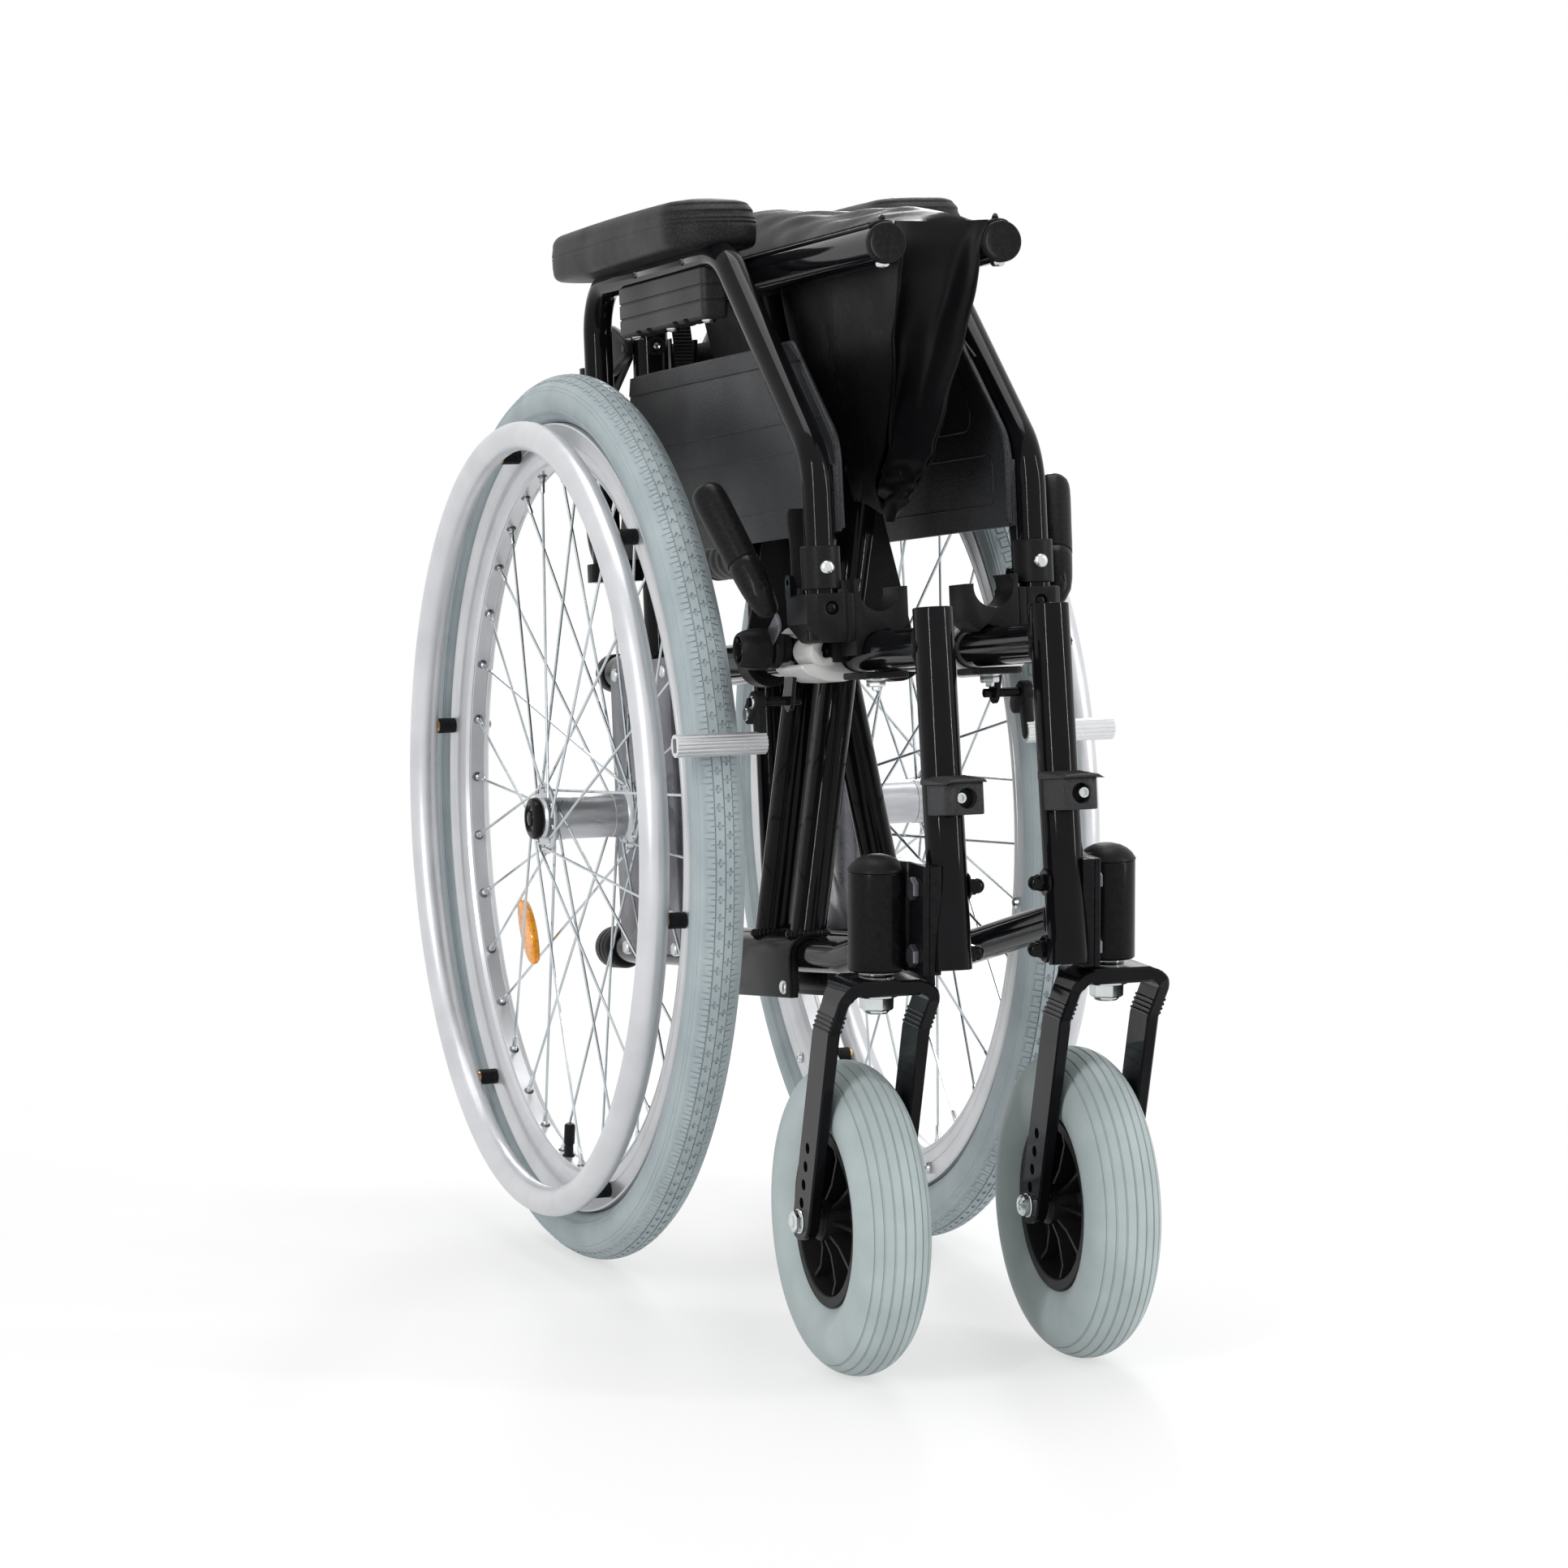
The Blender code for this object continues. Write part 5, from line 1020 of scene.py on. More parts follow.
def makeSideFrame(side):
    word, x, seatZ, lowZ, lowRadius = words[side], tube["x"], tube["seatZ"], tube["lowZ"], tube["lowRadius"]
    seatStart = (x, frontTubeY(seatZ), seatZ)
    frameTube = sweepTube(bmesh.new(), [seatStart, (x, tube["seatRear"] - 0.010, seatZ)],
                          tube["seatRadius"], 40)
    lowPath = [(x, frontTubeY(tube["lowFrontZ"]), tube["lowFrontZ"]), (x, tube["bendY"], lowZ),
               (x, tube["lowRear"] - 0.020, lowZ)]
    sweepTube(frameTube, bend(lowPath, [tube["bendRadius"]], 12), lowRadius, 36)
    sweepTube(frameTube, [(x, 0, lowZ), (x, 0, seatZ)], lowRadius, 36)
    part("SideFrame", frameTube, side, "frame", "gloss", "side_frame")
    cap = turned([(0, 0), (0.0132, 0), (0.0137, 0.0008), (0.0137, 0.0138), (0.0130, 0.0152),
                  (0.0104, 0.0160), (0.0098, 0.0150), (0.0094, 0.0070), (0, 0.0070)],
                 (x, tube["seatRear"] - 0.014, seatZ), yAxis, 40)
    part("SeatTubeCap", cap, side, "frame", "moulded")
    tip = turned([(0, 0), (0.0128, 0), (0.0140, 0.0010), (0.0150, 0.0040), (0.0150, 0.0105), (0.0143, 0.0112),
                  (0.0143, 0.0124), (0.0150, 0.0131), (0.0150, 0.0185), (0.0143, 0.0192), (0.0143, 0.0204),
                  (0.0150, 0.0211), (0.0150, 0.0290), (0.0136, 0.0336), (0.0104, 0.0360), (0, 0.0360)],
                 (x, tube["lowRear"] - 0.036, lowZ), yAxis, 40)
    part("TippingTip", tip, side, "frame", "grip")
    for label, centre, radius, other, way in (
        ("WeldSeat", seatStart, 0.0128, 0.0127, 0), ("WeldLow", (x, frontTubeY(0.2302), 0.2302), 0.0113,
                                                     0.0127, 0),
        ("WeldUpright", (x, 0, seatZ), 0.0113, 0.0125, -1), ("WeldFoot", (x, 0, lowZ), 0.0113, 0.0113, 1)):
        weld(word + label, saddleRing(centre, radius, other, way), side, word + "_frame")
    foot = Vector((x, tube["footY"], tube["footZ"]))
    run = Vector((x, tube["topY"], tube["topZ"])) - foot
    end, r, bore = run.length, tube["frontRadius"], tube["frontBore"]
    shell = turned([(0, 0), (r - 0.0012, 0), (r - 0.0003, 0.0004), (r, 0.0012), (r, end - 0.0009),
                    (r - 0.0004, end - 0.0002), (r - 0.0010, end), (bore + 0.0003, end),
                    (bore, end - 0.0005), (bore, 0.0120), (0, 0.0120)], foot, run)
    part("FrontTube", shell, side, "frame", "gloss", "front_tube")
    spots = [((x - r * 0.98, -0.5008, z), (-1, 0, 0)) for z in tube["nuts"]]
    fasten(word + "AcornNuts", spots, "acorn", side, word + "_frame", "gloss", False)


def stack(low, high, radius, levels, steps=6):
    # Rounded rectangles across Z, one for each (height, inset), closed at both ends.
    radii, rows = radius if isinstance(radius, list) else [radius] * 4, []
    for height, inset in levels:
        (x1, y1), (x2, y2) = (low[0] + inset, low[1] + inset), (high[0] - inset, high[1] - inset)
        plan = roundOutline([(x1, y1), (x2, y1), (x2, y2), (x1, y2)],
                            [max(r - inset, 0.0004) for r in radii], steps)
        rows.append([(x, y, height) for x, y in plan])
    return rows


latch = {"tubeY": -0.53469, "front": -0.57469, "half": 0.013, "low": 0.2985, "top": 0.3190, "lid": 0.3245,
         "recess": 0.0064, "middle": 0.30875, "overhang": 0.0022, "ribs": 9, "ribPitch": 0.0024}


def makeLatch(side):
    x, front, rear, top, lidZ = tube["x"], latch["front"], latch["tubeY"], latch["top"], latch["lid"]
    edge = front - latch["overhang"]
    shape = loft(bmesh.new(), stack(
        (x - latch["half"] + 0.001, front), (x + latch["half"] - 0.001, rear - 0.0010),
        [0.0014, 0.0085, 0.0035, 0.0035],
        [(latch["low"], 0.0006), (latch["low"] + 0.0006, 0), (top - 0.0005, 0), (top, 0.0008)]))
    hole = rod(latch["recess"], -0.004, 0.0105, (x - 0.0010, front, latch["middle"]), yAxis, 36)
    part("LatchBlock", shape, side, "frame", "block", "front_latch", holes=[hole], bevel=0.0004, steps=1)
    outline = [(edge, top - 0.0004), (edge - 0.0004, top + 0.0008), (edge + 0.0010, top + 0.0017),
               (rear - 0.012, lidZ - 0.0018), (rear + 0.002, lidZ - 0.0006), (rear + 0.002, top - 0.0004)]
    rows = [[(x + across, y, max(z - fall, top - 0.0004 - fall * 0.3)) for y, z in outline] for across,
            fall in (
                (-0.0132, 0.0012), (-0.0120, 0.0002), (-0.0085, 0.0), (0.0060, 0.0), (0.0100, 0.0003),
                (0.0138, 0.0026))]
    part("LatchLid", loft(bmesh.new(), rows), side, "frame", "block", bevel=0.0005)
    ribs = bmesh.new()
    for number in range(latch["ribs"]):
        across = -0.0095 + latch["ribPitch"] * number
        fall = 0.6 * max(0.0, (across - 0.006) / 0.009) ** 1.4 * 0.0040
        sweepTube(ribs, [(x + across, front - 0.0005, top + 0.0016 - fall),
                         (x + across + 0.0008, rear - 0.014, lidZ - 0.0019 - fall)], 0.00050, 8)
    part("LatchRibs", ribs, side, "frame", "block")
    screw = turned([(0, 0.0070), (0.0036, 0.0070), (0.0036, 0.0004), (0.0032, 0), (0.0020, 0),
                    (0.0018, 0.0022), (0, 0.0022)], (x + 0.0018, front + 0.0030, latch["middle"] + 0.0003),
                   (0.05, 1, 0), 24)
    part("LatchScrew", screw, side, "frame", "zinc")


plate = {"inner": 0.0625, "thick": 0.006, "front": -0.100, "rear": 0.030, "low": 0.206, "top": 0.410,
         "corner": 0.012, "axleY": -0.0378, "axleZ": 0.3036, "pitch": 0.030, "hole": 0.0065,
         "slots": (-0.0600, -0.0160)}


def makeAxlePlate(side):
    word, inner, front, rear = words[side], plate["inner"], plate["front"], plate["rear"]
    corners = [(front, plate["low"]), (rear, plate["low"]), (rear, plate["top"]), (front, plate["top"])]
    shape = extrude(bmesh.new(), roundOutline(corners, plate["corner"], 8), "X", inner,
                    inner + plate["thick"])
    holes = [rod(plate["hole"], -0.01, 0.02,
                 (inner, plate["axleY"], plate["axleZ"] + step * plate["pitch"]), xAxis)
             for step in (-2, -1, 1, 2)]
    for y in plate["slots"]:
        corners = [(y - 0.0028, 0.383), (y + 0.0028, 0.383), (y + 0.0028, 0.399), (y - 0.0028, 0.399)]
        holes.append(extrude(bmesh.new(), roundOutline(corners, 0.0027, 5), "X", inner - 0.01, inner + 0.02))
    part("AxlePlate", shape, side, "frame", "graphite", "axle_plate", holes=holes, bevel=0.0007,
         slot="charcoal_plastic")
    spacers, spots = bmesh.new(), []
    for y in (front + 0.012, rear - 0.012):
        for z, radius in ((tube["seatZ"] - 0.003, tube["seatRadius"]),
                          (tube["lowZ"] + 0.003, tube["lowRadius"])):
            reach = inner - tube["x"] - radius
            turn(spacers, [(0, 0), (0.0080, 0), (0.0080, reach), (0, reach)], (tube["x"] + radius, y, z),
                 xAxis, 28)
            spots.append(((inner + plate["thick"], y, z), xAxis))
    part("PlateSpacers", spacers, side, "frame", "moulded")
    fasten(word + "PlateBolts", spots, "button", side, word + "_frame")
    pin = [(0, 0.0600), (0.0060, 0.0600), (0.0060, 0.0688), (0.0105, 0.0690), (0.0110, 0.0694),
           (0.0110, 0.0768), (0.0105, 0.0772), (0.0060, 0.0773), (0.0060, 0.1466), (0, 0.1466)]
    cap = [(0, 0.1468), (0.0136, 0.1468), (0.0145, 0.1476), (0.0145, 0.1506), (0.0138, 0.1524),
           (0.0118, 0.1536), (0.0098, 0.1538), (0.0090, 0.1532), (0.0084, 0.1520), (0.0056, 0.1518),
           (0.0050, 0.1524), (0.0046, 0.1538), (0.0030, 0.1543), (0, 0.1544)]
    axle = (0, *wheel["centre"][1:])
    part("AxlePin", turned(pin, axle, xAxis, 36), side, "frame", "graphite", "axle_pin", lean=False)
    part("AxleCap", turned(cap, axle, xAxis), side, "frame", "gloss", lean=False, slot="charcoal_plastic")


cradle = {"groove": 0.0136, "seated": 0.4425, "front": -0.4385, "rear": -0.4085, "clip": 0.0131}


def makeCradle(side):
    word, x, clip = words[side], tube["x"], cradle["clip"]
    outline = [(0.0562, 0.4015), (0.0562, 0.4500), (0.0505, 0.4500)]
    outline += arc((x, cradle["seated"]), cradle["groove"], atan2(0.0075, 0.01134), -pi
                   - atan2(0.0020, 0.01345), 20)
    outline += [(0.0200, 0.4445), (0.0200, 0.4205)]
    for step, (a, b) in enumerate(arc((x, tube["seatZ"]), clip, pi * 0.80, 0, 12)):
        outline.append((a, b + (0.0020 if step < 4 else 0.0)))
    outline.append((x + clip, 0.4015))
    shape = extrude(bmesh.new(), outline, "Y", cradle["front"], cradle["rear"])
    part("RailCradle", shape, side, "frame", "moulded", "rail_cradle", bevel=0.0006)
    under = stack((x - 0.017, -0.4445), (x + 0.017, -0.4065), 0.006,
                  [(0.3862, 0.0010), (0.3870, 0), (0.3898, 0), (0.3906, 0.0008)])
    part("CradlePlate", loft(bmesh.new(), under), side, "frame", "moulded")
    fasten(word + "CradleNut", [((x, -0.425, 0.3862), (0, 0, -1))], "hex", side, word + "_frame")


socket = {"inner": 0.0566, "outer": 0.0868, "front": -0.439, "rear": -0.3955, "low": 0.4105, "top": 0.4415,
          "chamfer": 0.0055, "pinX": 0.0715, "pinZ": 0.4320, "hinge": (-0.4005, 0.4500)}


def makeSocket(side):
    inner, outer, front, rear, low, top, chamfer, pinX, pinZ, (hingeY, hingeZ) = socket.values()
    rows = []
    for z, out, edge in ((low, 0.0770, 0.0012), (low + 0.0008, 0.0778, 0.0), (0.4225, outer, 0.0),
                         (top - 0.0008, outer, 0.0), (top, outer - 0.0008, 0.0008)):
        y = front + edge
        rows.append([(a, b, z) for a, b in (
            (inner + edge, y), (0.0608, y), (0.0612, y + 0.0010), (0.0624, y + 0.0010), (0.0628, y),
            (out - chamfer, y),
            (out - edge, front + chamfer), (out - edge, rear - edge), (inner + edge, rear - edge))])
    shape = loft(bmesh.new(), rows)
    block(shape, (0.0505, -0.4078, 0.398), (0.0606, rear - 0.0002, 0.418))
    holes = [rod(0.0044, -0.004, 0.0040, (pinX, front, pinZ), yAxis),
             rod(0.0103, 0, 0.05, (0.073, -0.4245, 0.4130), zAxis, 36)]
    part("ArmSocket", shape, side, "frame", "moulded", "arm_socket", holes=holes, bevel=0.0005)
    pins = turned([(0, 0.0045), (0.0034, 0.0040), (0.0038, 0.0026), (0.0034, 0.0012), (0.0020, 0.0002),
                   (0, 0)], (pinX, front + 0.0002, pinZ), yAxis, 28)
    turn(pins, [(0, 0), (0.0020, 0), (0.0020, 0.0226), (0, 0.0226)], (0.0647, hingeY, hingeZ), xAxis, 20)
    corners = [(-0.4052, top - 0.001), (-0.3958, top - 0.001), (-0.3958, 0.4548), (-0.4052, 0.4548)]
    for earX in (0.0647, 0.0843):
        extrude(pins, roundOutline(corners, [0, 0, 0.004, 0.004], 6), "X", earX, earX + 0.0030)
    part("SocketPins", pins, side, "frame", "gloss", slot="charcoal_plastic")
    rows = []
    for z, y, half, width in ((0.4464, 0, 0.0024, 0), (0.4480, 0, 0.0030, 0), (0.4520, 0, 0.0030, 0),
                              (0.4560, 0.0002, 0.0024, 0), (0.4700, -0.0004, 0.0021, 0.0004),
                              (0.4800, 0.0006, 0.0022, 0.0006), (0.4880, 0.0024, 0.0024, 0.0008),
                              (0.4940, 0.0034, 0.0030, 0.0008), (0.4966, 0.0036, 0.0026, 0.0004),
                              (0.4974, 0.0036, 0.0016, -0.0006)):
        rows.append([(x, hingeY + y + half * out, z) for x, out in (
            (0.0682 - width, -1), (0.0682 - width, 1), (0.0838 + width, 1), (0.0838 + width, -1))])
    part("ArmCatch", loft(bmesh.new(), rows), side, "arm_catch", "moulded", "arm_release", bevel=0.0006)


def makeHousing(side):
    x, y, tilt = caster["axisX"], caster["stemY"], stance["tilt"]
    shape = turned([(0, 0.2650), (0.0172, 0.2650), (0.0180, 0.2658), (0.0180, 0.3268), (0.0175, 0.3274),
                    (0, 0.3274)], (x, y, 0), zAxis, 56)
    bore = rod(0.0083, -0.01, 0.0430, (x, y, 0.265), zAxis, 32)
    part("CasterHousing", shape, side, "frame", "satinBlack", "caster_housing", lean=False, holes=[bore],
         bevel=0.0004)
    outline = [(0.0475, -0.5120), (0.0548, -0.5120), (0.0550, -0.5112), (0.0554, -0.5112), (0.0556, -0.5120),
               (0.0588, -0.5120), (0.0594, -0.5114), (0.0594, -0.4880), (0.0610, -0.4868), (0.0640, -0.4868),
               (0.0700, -0.4760), (0.0660, -0.4640), (0.0560, -0.4640), (0.0556, -0.4620), (0.0475, -0.4620)]
    ends = [Vector((tube["x"], a * cos(tilt) + b * sin(tilt), b * cos(tilt) - a * sin(tilt)))
            for a, b in ((tube["footY"] - 0.0005, tube["footZ"]), (tube["topY"], tube["topZ"]))]
    run = ends[1] - ends[0]
    part("HousingAdapter", extrude(bmesh.new(), outline, "Z", 0.2650, 0.3330), side, "frame", "satinBlack",
         lean=False, holes=[rod(0.0128, 0, run.length, ends[0], run, 48)], bevel=0.0004)
    dome = turned([(0, 0.3272), (0.0176, 0.3272), (0.0183, 0.3277), (0.0183, 0.3286), (0.0176, 0.3296),
                   (0.0158, 0.3322), (0.0128, 0.3347), (0.0090, 0.3366), (0.0045, 0.3377), (0, 0.3380)],
                  (x, y, 0), zAxis, 56)
    part("HousingCap", dome, side, "frame", "moulded", lean=False, smooth=50)
    nuts = bmesh.new()
    for z in (0.2760, 0.3180):
        turn(nuts, [(0, 0), (0.0068, 0), (0.0074, 0.0006), (0.0074, 0.0036), (0.0068, 0.0042), (0, 0.0042)],
             (0.0593, -0.4990, z), xAxis, 6)
    part("HousingNuts", nuts, side, "frame", "graphite", lean=False)


for side in words:
    makeSideFrame(side)
    makeLatch(side)
    makeAxlePlate(side)
    makeCradle(side)
    makeSocket(side)
    makeHousing(side)
print("side frames made")


# Armrests

arm = {"x": 0.073, "tube": 0.0100, "postY": -0.4245, "foot": 0.412, "elbowZ": 0.527, "topFrontY": -0.264,
       "topZ": 0.674, "rearY": 0.012, "rearFoot": 0.4668, "bends": [0.050, 0.060, 0.035],
       "dimples": (-0.105, -0.205), "notches": (-0.206, -0.184, -0.128, -0.106),
       "screws": (-0.228, -0.154, -0.080)}


def makeArmTube(side):
    word, x, post, top, rear = words[side], arm["x"], arm["postY"], arm["topZ"], arm["rearY"]
    path = bend([(x, post, arm["foot"]), (x, post, arm["elbowZ"]), (x, arm["topFrontY"], top), (x, rear, top),
                 (x, rear, arm["rearFoot"])], arm["bends"], 12)
    dimples = [ball(bmesh.new(), 0.0042, Matrix.Translation((x + 0.0118, y, top - 0.0022))
                    @ Matrix.Diagonal((0.7, 2.0, 0.9, 1.0)), 20, 10) for y in arm["dimples"]]
    part("ArmTube", sweepTube(bmesh.new(), path, arm["tube"], 36), side, "armrest", "gloss", "arm_tube",
         holes=dimples)
    collar = turned([(0.0100, 0.4443), (0.0122, 0.4443), (0.0127, 0.4448), (0.0127, 0.4712), (0.0122, 0.4719),
                     (0.0100, 0.4719)], (x, post, 0), zAxis, 44, True)
    part("ArmCollar", collar, side, "armrest", "moulded")
    fasten(word + "CollarScrew", [((x, post - 0.0123, 0.4578), (0, -1, 0))], "button", side,
           word + "_armrest")
    levels = [(0.6320, 0.0022), (0.6332, 0.0006), (0.6344, 0.0), (0.6434, 0.0), (0.6439, 0.0008),
              (0.6446, 0.0008), (0.6451, 0.0), (0.6538, 0.0), (0.6543, 0.0008), (0.6550, 0.0008),
              (0.6555, 0.0), (0.6655, 0.0), (0.6664, 0.0008)]
    bar = loft(bmesh.new(), stack((x - 0.0092, -0.243), (x + 0.0092, -0.064), 0.0042, levels))
    notches = []
    for y in arm["notches"]:
        notch = block(bmesh.new(), (x - 0.0100, y - 0.0048, 0.6300), (x - 0.0020, y + 0.0048, 0.6345))
        notches.append(block(notch, (x + 0.0020, y - 0.0048, 0.6300), (x + 0.0100, y + 0.0048, 0.6345)))
    part("BarBlock", bar, side, "armrest", "block", holes=notches)
    spots = [((x, y, 0.6322), (0, 0, -1)) for y in arm["screws"]]
    fasten(word + "BarScrews", spots, "button", side, word + "_armrest")


pad = {"low": (0.0405, -0.2618), "high": (0.1061, 0.0298), "base": 0.6780, "top": 0.7128, "corner": 0.0270,
       "lowEdge": 0.0060, "spacing": 0.006, "crown": 0.0016, "taper": 0.0110, "ridge": 0.0016, "ridges": 7.0}


def padLevels():
    # Height and inset of the pad's outline from its base over the parting line to its rounded top.
    base, top, edge = pad["base"], pad["top"], pad["lowEdge"]
    height = top - base
    levels = [(base + edge * (1 - a), edge * (1 - b) + 0.0006) for a, b in arc((0, 0), 1, 0, pi / 2, 6)]
    levels += [(base + share * height, inset) for share, inset in (
        (0.28, 0.0002), (0.38, 0.0002), (0.44, 0.0), (0.455, 0.0005), (0.47, 0.0005), (0.485, 0.0))]
    levels += [(base + (0.50 + 0.018 * step) * height, 0.0001 * step) for step in range(9)]
    return levels + [(top - 0.0118 + 0.0092 * b, 0.0008 + 0.0095 * (1 - a))
                     for a, b in arc((0, 0), 1, 0, pi / 2, 14)[1:]]


def resampled(ring, count):
    # The closed ring with the wanted number of spots, evenly spaced.
    lengths = [0.0]
    for spot, later in zip(ring, ring[1:] + ring[:1]):
        lengths.append(lengths[-1] + (later - spot).length)
    made, at = [], 0
    for step in range(count):
        aim = lengths[-1] * step / count
        while lengths[at + 1] < aim:
            at += 1
        share = (aim - lengths[at]) / max(lengths[at + 1] - lengths[at], 1e-9)
        made.append(ring[at].lerp(ring[(at + 1) % len(ring)], share))
    return made


def clamped(value):
    return max(0.0, min(1.0, value))


def makeArmPad(side):
    # A moulded pad: rounded edges, a parting line, stepped ridges over its front end.
    height, (x1, y1), (x2, y2) = pad["top"] - pad["base"], pad["low"], pad["high"]
    centre = Vector(((x1 + x2) / 2, (y1 + y2) / 2))
    rings = []
    for row in stack(pad["low"], pad["high"], pad["corner"], padLevels(), 9):
        ring, dense = [Vector(spot) for spot in row], []
        for number, spot in enumerate(ring):
            later = ring[(number + 1) % len(ring)]
            steps = max(1, round((later - spot).length / pad["spacing"]))
            dense += [spot.lerp(later, step / steps) for step in range(steps)]
        rings.append(dense)
    count, rows = max(len(ring) for ring in rings), []
    for ring in rings:
        row = []
        for spot in resampled(ring, count):
            up, aside = (spot.z - pad["base"]) / height, centre.x - spot.x
            front, wave = clamped((y1 + 0.030 - spot.y) / 0.016), (up * pad["ridges"]) % 1.0
            peak = wave if wave < 0.8 else 4 * (1 - wave)
            ripple = pad["ridge"] * front * clamped((up - 0.50) / 0.06) * peak
            slope = 0.0085 * front * max(0.0, up - 0.50) ** 1.2
            inward = Vector((0 if abs(aside) < 0.018 else aside * 30, 1, 0)).normalized()
            spot = spot + inward * (ripple + slope)
            crown = pad["crown"] * sin(pi * (spot.y - y1) / (y2 - y1)) * up
            taper = clamped((spot.y + 0.046) / 0.028)
            taper = pad["taper"] * taper * taper * (3 - 2 * taper) * max(0.0, (centre.x - spot.x) / 0.033)
            row.append(Vector((spot.x + taper, spot.y, spot.z + crown)))
        rows.append(row)
    for share, lift in ((0.80, 0.0009), (0.55, 0.0019), (0.28, 0.0025)):
        rows.append(
            [Vector((centre.x + (spot.x - centre.x) * share, spot.y + (centre.y - spot.y) * (1 - share)
                     * 0.22, spot.z + lift)) for spot in rows[len(rings) - 1]])
    part("ArmPad", loft(bmesh.new(), rows), side, "armrest", "pad", "arm_pad", smooth=60)


panel = {"low": 0.0572, "high": 0.0607, "radii": [0.004, 0.010, 0.014, 0.030, 0.012, 0.003], "corners": [
    (0.025, 0.481), (-0.022, 0.608), (-0.348, 0.608), (-0.4225, 0.540), (-0.426, 0.525), (-0.426, 0.481)]}


def makeArmPanel(side):
    low, high = panel["low"], panel["high"]
    shape = extrude(bmesh.new(), roundOutline(panel["corners"], panel["radii"], 6), "X", low, high)
    part("ArmPanel", shape, side, "armrest", "panel", "arm_panel", bevel=0.0007)
    relief = bmesh.new()
    ribs = ((0.0045, -0.402, 0.5365, 0.00045, 0.0007), (-0.0030, -0.404, 0.5560, 0.00045, 0.0007),
            (0.0180, -0.4240, 0.4995, 0.00035, 0.0004))
    for rear, front, z, half, proud in ribs:
        extrude(relief, [(rear, z - half), (front, z - half), (front, z + half), (rear, z + half)], "X",
                high - 0.0008, high + proud)
    extrude(relief, [(-0.0175, 0.5945), (-0.3700, 0.5945), (-0.3495, 0.6070), (-0.0215, 0.6070)], "X",
            high - 0.0008, high + 0.0009)
    part("PanelRelief", relief, side, "armrest", "panel", bevel=0.0003, steps=1)
    x = high - 0.0029
    path = bend([(x, -0.330, 0.6065), (x, -0.349, 0.6065), (x, -0.4240, 0.5380), (x, -0.4245, 0.4830)],
                [0.012, 0.030])
    rim = sweepTube(bmesh.new(), path, 0.0024, 14)
    block(rim, (low + 0.0010, -0.4262, 0.4812), (0.0626, -0.4120, 0.5240))
    part("PanelRim", rim, side, "armrest", "panel", bevel=0.0006)
    emboss = bmesh.new()
    for corners in ([(-0.400, 0.496), (-0.060, 0.496), (-0.060, 0.529), (-0.400, 0.529)],
                    [(-0.375, 0.546), (-0.050, 0.546), (-0.050, 0.590), (-0.340, 0.590)]):
        path = [(low, y, z) for y, z in roundOutline(corners, 0.010, 6)]
        sweepTube(emboss, path + path[:1], 0.00075, 8)
    part("PanelEmboss", emboss, side, "armrest", "panel")


for side in words:
    makeArmTube(side)
    makeArmPad(side)
    makeArmPanel(side)
print("armrests made")


# Brakes

brake = {"pivot": (-0.360, 0.409), "shoe": (-0.350, 0.375), "bar": (-0.3533, 0.3488),
         "eye": (0.0640, 0.4060), "barRadius": 0.0076,
         "grip": [(0.0962, -0.3925, 0.4290), (0.1030, -0.3905, 0.4430), (0.1215, -0.3440, 0.5150)],
         "gripScale": 1.18}


def slantedBar(bm, start, end, halfStart, halfEnd, low, high, steps=10, axis="X"):
    # A flat link between two round ends.
    heading = atan2(end[1] - start[1], end[0] - start[0])
    outline = arc(start, halfStart, heading + pi / 2, heading + 1.5 * pi, steps)
    outline += arc(end, halfEnd, heading - pi / 2, heading + pi / 2, steps)
    return extrude(bm, outline, axis, low, high)


